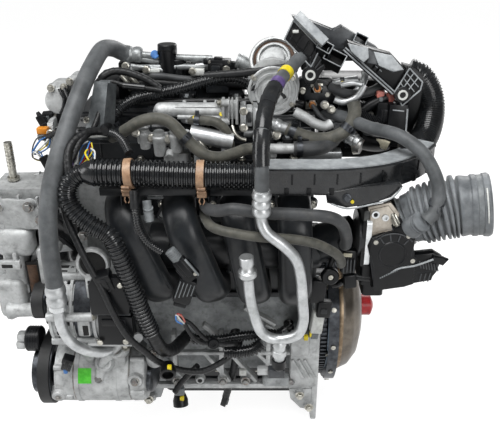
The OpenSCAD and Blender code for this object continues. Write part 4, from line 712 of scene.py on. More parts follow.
# %% Refrigerant lines
suction_route = route((-262, -256, 208), (-262, -256, 230), (-262, -255, 250), (-262, -252, 285),
                      (-260, -241.5, 340), (-252, -215, 395), (-236, -165, 455), (-216, -105, 515),
                      (-204, -50, 546), (-195, -12, 560), (-182, 14, 556), (-168, 27, 546), (-156, 30, 543))
suction = Piece("suction_hose_run", slot="grey_rubber")
suction.tube(suction_route, 0.0152, pale_hose, 28)
suction.done(replaces=["suction_hose"])

discharge_route = route((89, -282, 392), (89, -282, 412), (89, -280, 430), (88, -270, 455), (90, -250, 486),
                        (98, -205, 514), (114, -155, 532), (140, -100, 548), (160, -76, 562), (173, -60, 569),
                        (174, -52, 570), (174, -42, 570))
hose_line = smooth_route(discharge_route, 0.002)
discharge = Piece("discharge_hose_run", slot="black_rubber")
discharge.tube(discharge_route, 0.0112, pale_hose, 26)


def along_hose(line, start, stop):
    count = len(line)
    return line[int(start * (count - 1)):int(stop * (count - 1)) + 1]


discharge.tube(along_hose(hose_line, 0.700, 0.742), 0.0124, yellow_plastic, 26, smooth=False)
discharge.tube(along_hose(hose_line, 0.600, 0.638), 0.0124, purple_plastic, 26, smooth=False)
FILM_TURNS = 9
for turn in range(FILM_TURNS):
    start = 0.14 + turn * 0.050
    part = along_hose(hose_line, start, start + 0.0480)
    discharge.tube(part, lambda t: 0.0126 + 0.0012 * t, conduit_plastic, 24, smooth=False)
discharge.done(replaces=["discharge_hose"])

lines = Piece("refrigerant_lines", drawn_aluminium, slot="machined_aluminium")
lines.tube([(-262, -256, 178), (-262, -256, 160), (-260, -259, 130), (-248, -260, 98), (-226, -254, 74),
    (-202, -243, 60), (-187, -228, 55), (-178, -213, 51), (-176, -204, 46), (-176, -204, 34)], 0.0095, sides=26)
sleeve(lines, (-262, -256, 174), (0, 0, 1), 0.0178, 0.04, 2, drawn_aluminium)
lines.turned(mm((0, 12), (3, 15.5), (12, 15.5), (14, 12)), (-262, -256, 162), (0, 0, 1), machined_aluminium, 30)
lines.tube([(89, -282, 366), (89, -282, 350), (98, -287, 330), (124, -289, 308), (144, -288, 284), (153, -288, 254),
    (158, -288, 204), (161, -288, 160), (150, -288, 132), (115, -288, 124), (90, -288, 140), (77, -288, 178),
    (70, -288, 218), (67, -288, 262)], 0.0092, sides=26)
sleeve(lines, (89, -282, 358), (0, 0, 1), 0.0152, 0.044, 3, drawn_aluminium)
# End fitting with its union nut and cap
lines.turned(mm((0, 10.5), (4, 13.5), (6, 15.5), (14, 15.5), (16, 13), (19, 11.5), (22, 10), (26, 10), (27, 12),
    (40, 12), (41.5, 10.8), (41.5, 0)), (67.6, -288, 246), (-0.06, 0, 1), sides=30)
lines.hex_bolt((67.2, -288, 254), (-0.06, 0, 1), 0.026, height=0.009, washer=False)
# Charge fitting and pressure switch below the bend
lines.turned(mm((0, 9.5), (6, 12.5), (9, 12.5), (10, 11), (18, 11), (20, 12.8), (30, 12.8), (32, 10), (40, 9.5),
    (40, 0)), (121, -288, 121), (0.02, 0, -1), sides=28)
lines.turned(mm((40, 9.5), (41, 12), (56, 11.8), (60, 9), (60, 0)), (121, -288, 121), (0.02, 0, -1), black_plastic,
    28)
lines.tube([(0, 30, 534), (-60, 30, 536), (-104, 30, 539), (-140, 30, 542)], 0.0062, dull_pipe, 20)
sleeve(lines, (-132, 30, 541), (-1, 0, 0.05), 0.015, 0.034, 2, dull_pipe)
lines.tube([(-150, 24, 518), (-60, 24, 520), (-8, 24, 518)], 0.0058, dull_pipe, 20)
lines.done(replaces=["refrigerant_pipes"])

# %% [markdown]
# Rubber coolant and vacuum hoses are moulded to their bends. Each is pushed over a nipple and held by a spring
# clip: a band of flat steel with two ears.

# %% Moulded hoses
def spring_clip(piece, place, axis, radius, ears=(0, 0, 1), width=0.010, material=None):
    material = material or oiled_steel
    piece.turned([(-width / 2, radius), (-width / 2, radius + 0.0012), (width / 2, radius + 0.0012),
                  (width / 2, radius)], place, axis, material, 30)
    along = Vector(axis).normalized()
    up = (Vector(ears) - Vector(ears).dot(along) * along).normalized()
    across = along.cross(up)
    for side in (-1, 1):
        root = at(place) + up * (radius + 0.004) + across * side * 0.0035
        turn = Matrix((along, across, up)).transposed()
        piece.block(root - Vector((width * 0.35, 0.0007, 0.005)), root + Vector((width * 0.35, 0.0007, 0.005)),
                    material, 0.0004, turn, root)


water = Piece("coolant_hose_runs", slot="black_rubber")
water.tube([(-172, -114, 428), (-158, -122, 436), (-138, -130, 450), (-116, -136, 464), (-88, -140, 471),
    (-64, -142, 464), (-38, -148, 438), (-10, -156, 414), (16, -154, 406), (44, -140, 408), (62, -126, 410),
    (74, -122, 410), (86, -122, 410)], 0.0102, olive_hose, 26)
water.tube([(148, -122, 410), (166, -122, 410), (186, -120, 410), (206, -110, 412), (224, -88, 420), (232, -60, 428),
    (234, -40, 430), (234, -6, 430)], 0.0132, hose_rubber, 26)
water.done(replaces=["coolant_hoses"])
vacuum = Piece("vacuum_hose_runs", slot="grey_rubber")
vacuum.tube([(-12, -130, 370), (-11, -150, 364), (-9, -169, 351), (-7, -187, 341), (-4, -210, 341), (5, -232, 344),
    (22, -250, 351), (47, -259, 358), (90, -260, 352), (150, -262, 350), (199, -262, 345), (222, -250, 325),
    (233, -234, 292), (234, -221, 272), (234, -208, 270)], 0.01, hose_rubber, 24)
vacuum.tube([(-13, -136, 347), (-12, -151, 333), (-8, -180, 319), (-6, -206, 318), (8, -246, 320), (36, -262, 318),
    (87, -266, 311), (140, -266, 307), (178, -264, 298), (212, -252, 274), (226, -234, 250), (230, -216, 231),
    (230, -200, 230)], 0.0082, olive_hose, 22)
vacuum.done(replaces=["vacuum_hoses"])
breather = Piece("breather_hose_run", slot="black_rubber")
breather.tube([(186, -20, 436), (200, -20, 436), (216, -42, 448), (240, -74, 452), (279, -120, 448), (318, -166, 450),
    (352, -198, 432), (374, -216, 398), (380, -228, 368), (374, -240, 346), (360, -244, 330)], 0.0112, pale_hose, 26)
breather.done(replaces=["breather_hose"])
clips = Piece("hose_clips", slot="bright_steel")
spring_clip(clips, (-152, -124, 440), (0.8, -0.35, 0.5), 0.0106)
spring_clip(clips, (80, -122, 410), (1, 0, 0), 0.0106)
spring_clip(clips, (158, -122, 410), (1, 0, 0), 0.0136)
spring_clip(clips, (234, -18, 430), (0, 1, 0), 0.0136)
spring_clip(clips, (234, -214, 270.6), (0, 1, 0.1), 0.0104)
spring_clip(clips, (230, -206, 230), (0, 1, 0), 0.0086)
spring_clip(clips, (377, -234, 356), (0.2, 0.4, -0.9), 0.0118, ears=(0, -1, 0))
spring_clip(clips, (-38, -148, 438), (0.7, -0.2, -0.68), 0.0106, ears=(0.2, -0.9, 0.3))
clips.done()

# %% [markdown]
# ## Small fittings
# Plugs, bare wires, bands and ribs turn up all over an engine. Each is a short function that draws itself into a
# piece at a place, looking along an aim, with its top towards `up`.

# %% Fittings
def facing(aim, up=(0, 0, 1)):
    """A turn whose third axis is the aim and whose second axis leans towards `up`."""
    w = Vector(aim).normalized()
    v = Vector(up) - Vector(up).dot(w) * w
    if v.length < 1e-4:
        v = Vector((0, 1, 0)) - w.y * w
    v.normalize()
    return Matrix((v.cross(w), v, w)).transposed()


def box_at(piece, place, turn, low, high, material=None, ease=0.0012, segments=2):
    """A block typed in millimetres about a place, in the place's own axes."""
    place = at(place)
    piece.block(place + Vector(low) / 1000, place + Vector(high) / 1000, material, ease, turn, place, segments)


def plug(piece, place, aim, up, width, height, length, ribs=3, lock=None):
    """A sealed plug: housing, collar, latch, ribs and a boot for its wires. Sizes are in millimetres."""
    turn = facing(aim, up)
    w, h = width / 2, height / 2
    box_at(piece, place, turn, (-w, -h, 0), (w, h, length * 0.72), black_plastic)
    box_at(piece, place, turn, (-w - 1.2, -h - 1.2, length * 0.62), (w + 1.2, h + 1.2, length), black_plastic,
           0.0015)
    box_at(piece, place, turn, (-w * 0.42, h, length * 0.2), (w * 0.42, h + 2.6, length * 0.86), lock or black_plastic,
           0.0006)
    for k in range(ribs):
        x = -w + (k + 0.5) * 2 * w / ribs
        box_at(piece, place, turn, (x - 0.6, -h - 0.9, length * 0.08), (x + 0.6, h + 0.9, length * 0.6),
               black_plastic, 0.0003, 1)
    piece.turned(mm((-length * 0.26, min(w, h) * 0.55), (1, min(w, h) * 0.8)), place, turn.col[2], conduit_plastic, 16)


def fan_of_wires(piece, start, end, materials, radius=0.0011, spread=0.004, bow=0.004, seed=1):
    """Loose wires between two places. Each bows out a little on its own side."""
    dice = random.Random(seed)
    start, end = at(start), at(end)
    along = (end - start).normalized()
    across = along.orthogonal().normalized()
    for k, material in enumerate(materials):
        turn = Matrix.Rotation(2 * math.pi * k / len(materials) + dice.uniform(-0.3, 0.3), 3, along)
        side = turn @ across
        lift = side * bow * dice.uniform(0.6, 1.3)
        piece.tube([start + side * spread * 0.5, start.lerp(end, 0.33) + side * spread * 0.8 + lift,
                    start.lerp(end, 0.7) + side * spread * 0.6 + lift * 0.8, end + side * spread * 0.5],
                   radius, material, sides=8, spacing=0.004)


def band(piece, place, axis, radius, width, material=None, thick=0.0010, sides=36):
    """A ring around a hose or a pipe."""
    piece.turned([(-width / 2, radius - 0.0005), (-width / 2, radius + thick * 0.7), (-width * 0.4, radius + thick),
                  (width * 0.4, radius + thick), (width / 2, radius + thick * 0.7), (width / 2, radius - 0.0005)],
                 place, axis, material, sides)


def boss(piece, place, axis, radius, height, material, screw=None, screw_across=0.010, hole_shade=None):
    """A round lug with an eased rim. It carries a screw, or shows a disc of painted shadow in its bore."""
    piece.turned([(-0.004, radius * 1.25), (0, radius * 1.06), (height * 0.85, radius), (height, radius * 0.88)],
                 place, axis, material, 28)
    top = at(place) + Vector(axis).normalized() * height
    if screw is not None:
        piece.hex_bolt(top, axis, screw_across, screw)
    if hole_shade is not None:
        piece.turned([(0, radius * 0.55), (0.0004, radius * 0.55)], top, axis, hole_shade, 20)


def zip_tie(piece, place, axis, radius, material, head=(0, 0, 1)):
    """A cable tie with its square head."""
    band(piece, place, axis, radius, 0.0034, material, 0.0009, 24)
    along = Vector(axis).normalized()
    out = (Vector(head) - Vector(head).dot(along) * along).normalized()
    box_at(piece, at(place) + out * (radius + 0.0018), facing(out, along), (-2.6, -2.4, -1.8), (2.6, 2.4, 2.2),
           material, 0.0005, 1)


def sweep(piece, line, outline, material, side=None):
    """Carries an outline of (u, v) pairs along a line. u lies across it, and v leans upwards."""
    part = bmesh.new()
    rings = []
    for point, along in zip(line, directions(line)):
        u = Vector(side) if side is not None else along.cross(Vector((0, 0, 1)))
        u = (u - u.dot(along) * along).normalized()
        v = u.cross(along)
        rings.append([part.verts.new(point + a * u + b * v) for a, b in outline])
    count = len(outline)
    for low, high in zip(rings, rings[1:]):
        for k in range(count):
            part.faces.new([low[k], low[(k + 1) % count], high[(k + 1) % count], high[k]])
    part.faces.new(rings[0][::-1])
    part.faces.new(rings[-1])
    piece.take(part, material)


to_front = facing((0, -1, 0), (0, 0, 1))

# %% [markdown]
# ## Top of the engine
# Under the wiring lies the moulded cam cover with its ribs, screws and four ignition coils. A black filler neck,
# a solenoid and a vacuum pump stand on it, and two aluminium pipes cross it.

# %% Cam cover
cover_work = Piece("cam_cover_detail", moulded_nylon, slot="black_plastic")
for x in (-200, -150, -106, -60, -14, 32, 78, 124, 160):
    cover_work.block((x - 1.6, -88, 366), (x + 1.6, -84.6, 448), ease=0.0008)
for z, y in ((374, -91), (408, -88.5), (436, -88)):
    cover_work.block((-240, y, z - 1.8), (184, -84, z + 1.8), ease=0.0008)
for x in (-218, -128, -36, 56, 148):
    for y in (-91, 91):
        boss(cover_work, (x, y, 362), (0, 0, 1), 0.008, 0.016, moulded_nylon, zinc_steel, 0.01)
for x in range(-225, 180, 18):
    cover_work.block((x - 1.2, 56, 452), (x + 1.2, 82, 455.5), ease=0.0006)
for y in (-74, -52, 64):
    cover_work.block((-238, y - 1.5, 452), (180, y + 1.5, 456), ease=0.0007)
# The far bank of the cover, with the wiring that lies along it
cover_work.block((-214, 26, 446), (60, 94, 502), ease=0.006)
cover_work.blocks(((-214, -30, 430), (-168, 60, 508), 6), ((-180, 34, 490), (-40, 88, 526), 4),
    ((-34, 30, 490), (50, 84, 512), 5), skin=black_plastic)
for x in range(-180, 50, 21):
    cover_work.block((x, 24.5, 452), (x + 2.4, 92, 498), ease=0.0006)
cover_work.tube([(-186, 20, 486), (-120, 16, 492), (-50, 18, 488), (20, 16, 492), (70, 12, 488)], 0.0095, wiring_tape,
    16)
cover_work.tube([(-180, 10, 500), (-110, 12, 506), (-60, 14, 500), (-20, 14, 496)], 0.0062, hose_rubber, 14)
# The raised baffle box of the breather, behind the wiring
cover_work.blocks(((-6, -80, 448), (66, -46, 474), 4), ((-112, -80, 448), (-48, -52, 466), 4))
for x in (4, 18, 32, 46, 58):
    cover_work.block((x - 1, -81.5, 450), (x + 1, -44, 475.2), ease=0.0005)
cover_work.done()

# %% Ignition coils and their plugs
coils = Piece("coil_plugs", slot="black_plastic")
for k, x in enumerate((-138, -46, 46, 138)):
    coils.block((x - 13, -14, 466), (x + 13, 22, 478.6), black_plastic, 0.003)
    boss(coils, (x, 40, 462), (0, 0, 1), 0.008, 0.008, black_plastic, zinc_steel, 0.01)
    plug(coils, (x, -13, 472), (0, -1, -0.12), (0, 0, 1), 17, 12, 24, lock=grey_plastic)
    coils.tube([(x, -38, 468), (x + 4, -48, 470), (x + 14, -56, 474), (x + 30, -60, 474)], 0.0042, wiring_tape, 12)
coils.tube([(-170, -58, 474), (-90, -60, 476), (0, -62, 478), (90, -60, 476), (166, -56, 470)], 0.0062, wiring_tape,
    16)
coils.done()

# %% Filler neck, pipes and solenoid
neck = Piece("filler_neck", black_plastic, slot="black_plastic")
neck.turned(mm((0, 19), (10, 19), (12, 16.5), (52, 16.5), (53, 17.5), (60, 17.5), (61.5, 16), (61.5, 14.5),
    (52, 14.5)), (-67, 36, 472), (0, 0, 1), sides=40)
neck.block((-92, 20, 452), (-44, 52, 474), ease=0.004)
for a in range(0, 360, 30):
    place = above_crank(-67 + 17 * cosine(a), 36 + 17 * sine(a), 476)
    neck.block(place - Vector((0.0009, 0.0009, 0)), place + Vector((0.0009, 0.0009, 0.046)), ease=0.0004)
neck.done()

rails = Piece("top_pipes", zinc_steel, slot="machined_aluminium")
rails.tubes((5.8, (-172, 30, 538), (-140, 31, 534), (-100, 33, 528), (-60, 52, 524), (-14, 44, 524)),
    (4.8, (-166, 22, 524), (-130, 22, 519), (-92, 20, 514), (-88, 20, 506)), sides=18, skin=dull_pipe)
rails.tube([(-150, 40, 515), (-120, 40, 514), (-94, 40, 512)], 0.0042, sides=16)
rails.tube([(-30, 24, 522), (-12, 20, 524), (0, 18, 524)], 0.0048, drawn_aluminium, 16)
rails.tube([(47, 16, 534), (58, 14, 530), (74, 12, 520)], 0.0135, dull_pipe, 28)
rails.turned(mm((0, 13.5), (1, 15), (5, 15), (6, 13.8)), (48, 16, 533.6), (1, -0.1, -0.45), drawn_aluminium, 28)
rails.tubes((4.5, (-160, -42, 520), (-150, -40, 506), (-146, -36, 492)), (4.5, (-148, -44, 522), (-136, -42, 508),
    (-130, -36, 496)), sides=14)
for x, z in ((-160, 534), (-122, 527), (-36, 524)):
    boss(rails, (x, 14, z - 10), (0, -1, 0.2), 0.0065, 0.01, drawn_aluminium, zinc_steel, 0.009)
rails.blocks(((-168, 16, 505), (-150, 34, 522), 3), ((-128, 16, 498), (-104, 34, 512), 3), skin=cast_aluminium)
rails.blocks(((-126, 10, 512), (-98, 16, 519), 1.5), ((-40, 4, 508), (-14, 22, 519), 1.5), skin=white_nylon)
# The port cap left on the upper pipe
rails.turned(mm((0, 7.8), (9, 7.8), (10, 6.6), (10, 0)), (-108, 28, 541), (0.2, -1, 0.4), blue_plastic, 20)
rails.done()

solenoid = Piece("solenoid", black_plastic, slot="black_plastic")
solenoid.blocks(((-8, 2, 504), (36, 26, 537), 3), ((-3, -1, 509), (20, 3, 532), 1.5))
solenoid.block((0, -3, 513), (15, 0, 528), moulded_nylon, 0.003)
solenoid.blocks(((34, 8, 512), (48, 22, 532), 2), ((-16, 6, 528), (-6, 20, 538), 2),
    ((4, 6, 536), (20, 18, 541), 1.5))
solenoid.turned(mm((0, 7.2), (1.6, 7.2), (2.6, 6.2), (2.6, 3), (1, 2.8), (1, 0)), (27, 2, 520), (0, -1, 0.1),
    zinc_steel, 28)
for x, z in ((-4, 534), (32, 534), (-4, 507), (32, 507)):
    solenoid.turned(mm((0, 2.8), (2, 2.4), (2, 0)), (x, 1.5, z), (0, -1, 0), zinc_steel, 12)
solenoid.block((-12, 8, 474), (30, 24, 505), moulded_nylon, 0.002)
solenoid.done()

# %% [markdown]
# ### Vacuum pump
# A cast drum whose face is stepped in rings around a centre boss, with a domed cap above it. The rings are the
# marks that a lathe leaves, so they are turned and left bright.

# %% Vacuum pump rings and dome
pump = Piece("vacuum_pump_face", cast_aluminium, slot="cast_aluminium")
pump_middle = above_crank(112, -64.2, 497)
pump.turned(mm((0, 45), (1.5, 45), (3, 43.5), (3, 40.5), (1.2, 39.5), (1.2, 34), (4.5, 33), (4.5, 28.5), (2.2, 27.5),
    (2.2, 21.5), (6, 20), (6, 16.5), (3.8, 15.5), (3.8, 9.5), (8.5, 8.5), (8.5, 5), (7, 4.6), (7, 0)), pump_middle,
    (0, -1, 0), sides=72)
for a in (35, 145, 215, 325):
    spot = pump_middle + Vector((0.0415 * cosine(a), 0.004, 0.0415 * sine(a)))
    boss(pump, spot, (0, -1, 0), 0.0062, 0.003, cast_aluminium, zinc_steel, 0.0085)
dome_middle = above_crank(116, -6, 534)
DOME_AXIS = Vector((-0.12, -0.8, 0.6)).normalized()
pump.turned(mm((-40, 34), (-12, 40), (0, 46), (10, 46.5), (16, 45), (19, 42.5), (19, 39), (12, 38)), dome_middle,
    DOME_AXIS, sides=64)
pump.turned(mm((8, 38.2), (12.5, 38), (12.5, 32), (8, 31.8)), dome_middle, DOME_AXIS, hot_iron, 64)
pump.turned(mm((6, 32.2), (18.5, 31.8), (21.5, 29.5), (21.5, 26.5), (15, 25.5), (15, 21.5), (24, 20.5), (25.5, 18),
    (25.5, 0)), dome_middle, DOME_AXIS, sides=64)
pump.done()

# %% Terminal block with its two copper studs
studs = Piece("terminal_block", zinc_steel, slot="black_plastic")
studs.block((160, -34, 452), (222, -8, 512), black_plastic, 0.005)
studs.turned(mm((0, 31), (4, 31), (5, 28)), (194, -32, 480), (0, -1, 0), black_plastic, 40)
studs.turned(mm((0, 24), (6, 24), (7, 22)), (194, -34, 480), (0, -1, 0), moulded_nylon, 36)
for x, z in ((193, 496), (185, 466)):
    studs.turned(mm((0, 9.5), (1.5, 9.5), (2.5, 8.8)), (x, -40, z), (0, -1, 0), sides=6)
    studs.turned(mm((2, 6.8), (5.5, 6.8), (6.5, 5.8), (6.5, 0)), (x, -40, z), (0, -1, 0), copper, 20)
    studs.block((x - 12, -41, z - 9), (x + 10, -39.5, z + 9), ease=0.001)
for x, z in ((167, 490), (212, 484)):
    studs.hex_bolt((x, -36, z), (0, -1, 0), 0.009)
studs.tubes((3.8, (193, -44, 496), (186, -50, 512), (176, -56, 532)), (4.2, (185, -44, 466), (198, -56, 450),
    (214, -60, 440), (240, -62, 446)), sides=12, skin=hose_rubber)
studs.tube([(160, -30, 470), (150, -34, 452), (146, -40, 444)], 0.0055, drawn_aluminium, 14)
studs.done()

# %% [markdown]
# ## Between the cover and the wiring
# A cooler for exhaust gas lies along the head as a long, tapered casting. At its end two flanges with ribs hold a
# valve, and a bright tube carries on to the right. A three-legged aluminium outlet feeds the coolant hoses.

# %% Exhaust gas cooler and valve
cooler = Piece("gas_cooler_casting", cast_aluminium, slot="bright_steel")
cooler.tube([(-98, -88, 466), (-94, -88, 469), (-84, -88, 471), (-60, -88, 471), (0, -88, 470), (24, -88, 470)],
    lambda t: 0.014 * min(1.0, 0.3 + 9 * t) + 0.0015 * t, sides=36, smooth=True, flat=0.86)
cooler.tube([(-56, -99, 461), (0, -100, 460), (26, -100, 459)], 0.0042, sides=14)
cooler.tube([(-60, -98, 478), (-20, -99, 479), (20, -99, 479)], 0.0026, sides=12)
for x, wide in ((24, 6), (34, 3), (40, 3), (48, 5)):
    cooler.block((x - wide / 2, -106, 448), (x + wide / 2, -74, 490), ease=0.002)
cooler.block((26, -98, 456), (48, -78, 486), ease=0.002)
for y, z in ((-101, 486), (-101, 453)):
    boss(cooler, (28, y, z), (-1, -0.4, 0.2), 0.0062, 0.01, cast_aluminium, zinc_steel, 0.009)
cooler.block((54, -110, 440), (64, -74, 482), drawn_aluminium, 0.0015)
cooler.block((64, -104, 444), (76, -78, 478), ease=0.003)
cooler.block((76, -108, 438), (84, -74, 480), drawn_aluminium, 0.0015)
cooler.block((66, -108, 452), (74, -103, 472), black_paint, 0.002)
for z in (444, 474):
    boss(cooler, (60, -110, z), (0, -1, 0.3), 0.006, 0.006, cast_aluminium, zinc_steel, 0.009)
cooler.tube([(84, -92, 452), (104, -94, 448), (120, -96, 444), (138, -98, 438)], 0.0098, drawn_aluminium, 24)
band(cooler, (120, -96, 444), (1, -0.1, -0.3), 0.01, 0.01, drawn_aluminium, 0.0018)
cooler.tube([(40, -104, 446), (44, -112, 436), (52, -116, 428), (64, -116, 424)], 0.0036, zinc_steel, 12)
for x, z in ((-44, 486), (-8, 486), (12, 486)):
    cooler.block((x - 3, -92, z - 4), (x + 3, -84, z + 1.5), ease=0.0012)
cooler.turned(mm((0, 3.6), (2, 3.6), (2, 0)), (21, -103, 467), (0, -1, 0.5), yellow_plastic, 14)
cooler.turned(mm((0, 3), (2, 3), (2, 0)), (-26, -106, 462), (0, -1, 0.5), yellow_plastic, 14)
cooler.done()

# %% Coolant hoses on the cooler
head_hoses = Piece("cooler_hoses", slot="black_rubber")
head_hoses.tube([(-34, -96, 455), (-22, -104, 456), (-6, -108, 457), (10, -110, 455), (24, -112, 446),
    (32, -112, 432), (35, -112, 418), (36, -114, 406)], 0.0085, olive_hose, 22)
head_hoses.tube([(136, -98, 438), (158, -104, 430), (184, -106, 423), (212, -104, 423), (236, -100, 432),
    (250, -94, 448), (256, -88, 466), (254, -80, 480)], 0.0118, olive_hose, 24)
head_hoses.tube([(226, -62, 428), (246, -76, 440), (266, -84, 452)], 0.01, hose_rubber, 20)
head_hoses.done()
tubes = Piece("head_fittings", cast_aluminium, slot="machined_aluminium")
spring_clip(tubes, (-20, -105, 456), (1, -0.3, 0.06), 0.0089, ears=(0, 0.2, 1))
spring_clip(tubes, (146, -100, 434), (1, -0.25, -0.33), 0.0122, ears=(0, -0.2, 1), width=0.012)
spring_clip(tubes, (244, -97, 440), (0.6, 0.2, 0.8), 0.0122, ears=(0.4, -1, 0), width=0.012)
tubes.tube([(-46, -84, 452), (-40, -92, 454), (-30, -98, 455)], 0.0078, drawn_aluminium, 20)

# %% [markdown]
# The coolant outlet has three legs side by side, each with a collar, on one low casting.

# %% Three-legged coolant outlet
for x, y, top, low, r in ((-112, -122, 449, 412, 9.5), (-86, -128, 446, 402, 11), (-58, -128, 448, 408, 10.5),
        (-40, -122, 444, 416, 8)):
    tubes.turned([(0, r * 0.92 / 1000), (0.004, r / 1000), ((top - low) * 0.00055, r / 1000),
        ((top - low) * 0.0006, r * 1.12 / 1000), ((top - low) * 0.0008, r * 1.12 / 1000),
        ((top - low) * 0.00085, r * 0.86 / 1000), ((top - low) / 1000, r * 0.86 / 1000),
        ((top - low) / 1000 - 0.001, r * 0.66 / 1000)], (x, y, low), (0, -0.12, 1), sides=26)
tubes.blocks(((-126, -126, 418), (-32, -104, 436), 5), ((-118, -132, 422), (-100, -120, 438), 3))
for x, z in ((-126, 440), (-99, 430), (-72, 428), (-34, 430)):
    boss(tubes, (x, -124, z), (0, -1, 0.35), 0.0066, 0.009, cast_aluminium, zinc_steel, 0.0095)
tubes.turned(mm((0, 7.2), (12, 7.2), (13, 6), (13, 0)), (-68, -134, 408), (0, -1, -0.4), sides=20)
tubes.tube([(-34, -116, 436), (-24, -122, 430), (-14, -124, 420), (-6, -122, 408)], 0.0046, zinc_steel, 14)
for x in (-24, -4, 14):
    tubes.tube([(x, -90, 440), (x + 2, -104, 436), (x + 4, -112, 424), (x + 4, -114, 410)], 0.003, zinc_steel, 10)
    tubes.hex_bolt((x + 4, -116, 420), (0, -1, 0.3), 0.009, zinc_steel)
tubes.done()

# %% [markdown]
# ### Right of the cooler
# Injector plugs, a bypass pipe and a fuel rail sit close together here. Their plugs are black, white and purple.

# %% Fuel rail, plugs and pipes on the right
rail = Piece("fuel_side", drawn_aluminium, slot="machined_aluminium")
rail.tube([(60, -84, 428), (120, -84, 426), (180, -84, 424)], 0.0095, sides=22)
for k, x in enumerate((84, 118, 152)):
    boss(rail, (x, -92, 424), (0, -1, 0.4), 0.007, 0.01, cast_aluminium, zinc_steel, 0.01)
    plug(rail, (x + 16, -98, 422), (0.2, -1, -0.1), (0, 0, 1), 15, 11, 20, lock=grey_plastic)
for x, z, skin in ((88, 416, white_nylon), (126, 412, pale_hose), (164, 416, white_nylon)):
    rail.block((x - 7, -122, z - 6), (x + 9, -108, z + 6), skin, 0.002)
rail.tube([(150, -84, 466), (170, -88, 456), (186, -90, 446), (204, -88, 440), (216, -84, 444)], 0.0088,
    cast_aluminium, 20)
rail.tube([(222, -30, 492), (232, -36, 484), (246, -38, 480), (262, -36, 486), (274, -30, 498), (281, -24, 512),
    (280, -18, 522)], 0.0066, sides=20)
rail.tube([(222, -26, 500), (244, -30, 506), (266, -26, 508)], 0.0075, sides=18)
band(rail, (240, -29, 505), (1, -0.1, 0.2), 0.0078, 0.008, black_paint, 0.0016)
rail.turned(mm((0, 3.4), (3, 3.4), (3, 0)), (238, -40, 506), (0, -1, 0.2), yellow_plastic, 12)
for x, z in ((206, 470), (218, 462)):
    boss(rail, (x, -58, z), (0, -1, 0.2), 0.0064, 0.008, cast_aluminium, zinc_steel, 0.009)
rail.turned(mm((0, 12.5), (3, 14), (9, 14), (12, 12.5), (20, 12.5), (22, 10), (30, 10)), (244, -88, 424),
    (0.7, -0.6, -0.3), sides=28)
rail.turned(mm((0, 13.5), (10, 13.5)), (262, -100, 410), (0.8, -0.5, -0.25), rusty_steel, 28)
rail.block((252, -98, 440), (263, -84, 450), purple_plastic, 0.0015)
rail.block((264, -98, 436), (272, -84, 446), black_plastic, 0.0015)
rail.block((272, -96, 424), (302, -80, 446), pale_hose, 0.003)
rail.block((298, -90, 428), (306, -82, 442), white_nylon, 0.002)
rail.tube([(264, -92, 416), (284, -84, 408), (304, -74, 402), (320, -64, 400)], 0.015, black_plastic, 24)
rail.done()

# %% Black plugs behind the bracket
rear_plugs = Piece("rear_plugs", black_plastic, slot="black_plastic")
rear_plugs.blocks(((299, -70, 434), (344, -40, 478), 4), ((305, -73, 440), (326, -69, 466), 2),
    ((330, -74, 436), (346, -44, 482), 4))
for k in range(4):
    rear_plugs.block((307 + 5 * k, -74.5, 442), (308.4 + 5 * k, -72, 464), ease=0.0004)
rear_plugs.blocks(((298, -62, 474), (312, -46, 496), 2), ((310, -60, 480), (320, -46, 492), 3), skin=salmon_plastic)
rear_plugs.block((302, -66, 478), (309, -60, 486), grey_plastic, 0.002)
for k in range(9):
    x = 246 + 6.4 * k
    rear_plugs.block((x, -52, 458 - 1.6 * k), (x + 2.6, -34, 480 - 1.6 * k), ease=0.0008)
rear_plugs.block((240, -46, 450), (300, -30, 470), ease=0.003)
rear_plugs.block((282, -58, 420), (296, -50, 456), olive_hose, 0.002)
rear_plugs.done()

# %% [markdown]
# ## Left end, above the alternator
# The timing cover rises to a cast housing for the cam phasers. Plugs and bare wires hang beside it, where the
# wiring branches out of its conduit, and a square aluminium bar holds the wiring up.

# %% Square bar and the ties on it
bar = Piece("support_bar", slot="cast_aluminium")
bar.tube([(-192, -118, 428), (-189, -112, 450), (-184, -104, 480), (-178, -92, 520)], lambda t: 0.027 - 0.008 * t,
    bar_steel, sides=4, spacing=0.02, first=(0.35, -0.94, 0), smooth=False)
bar.block((-190, -100, 512), (-168, -86, 524), bar_steel, 0.004)
bar.tube([(-212, -140, 440), (-200, -150, 443), (-186, -148, 443), (-174, -138, 440)], 0.003, white_nylon, 10)
bar.block((-216, -122, 456), (-206, -112, 466), zinc_steel, 0.002)
bar.done()

# %% Wires that bridge the cover
bridges = Piece("cover_wires", slot="loom_black")
taped(bridges, [(-192, -70, 520), (-182, -66, 528), (-168, -60, 532), (-149, -58, 530), (-128, -60, 524),
    (-108, -62, 515), (-88, -66, 502)], 0.0068, 0.01)
taped(bridges, [(-192, -72, 514), (-172, -72, 516), (-150, -74, 510)], 0.005, 0.008)
bridges.tube([(-152, -74, 510), (-134, -74, 508), (-114, -74, 506)], 0.0062, conduit_plastic, 16)
taped(bridges, [(-116, -74, 506), (-100, -76, 504), (-84, -78, 502)], 0.0046, 0.008)
taped(bridges, [(-190, -72, 518), (-186, -90, 500), (-188, -118, 474), (-196, -142, 452)], 0.005, 0.008)
taped(bridges, [(-10, -54, 522), (64, -57, 529), (140, -58, 540)], 0.0072, 0.014)
bridges.tube([(36, -52, 520), (60, -54, 515), (90, -58, 508), (120, -66, 500), (134, -70, 486)], 0.0032,
    conduit_plastic, 10)
for x, z in ((-192, 512), (-186, 505)):
    zip_tie(bridges, (x, -78, z + 3), (0.4, -0.5, -0.7), 0.0058, black_plastic, (-1, 0, 0.6))
bridges.done()

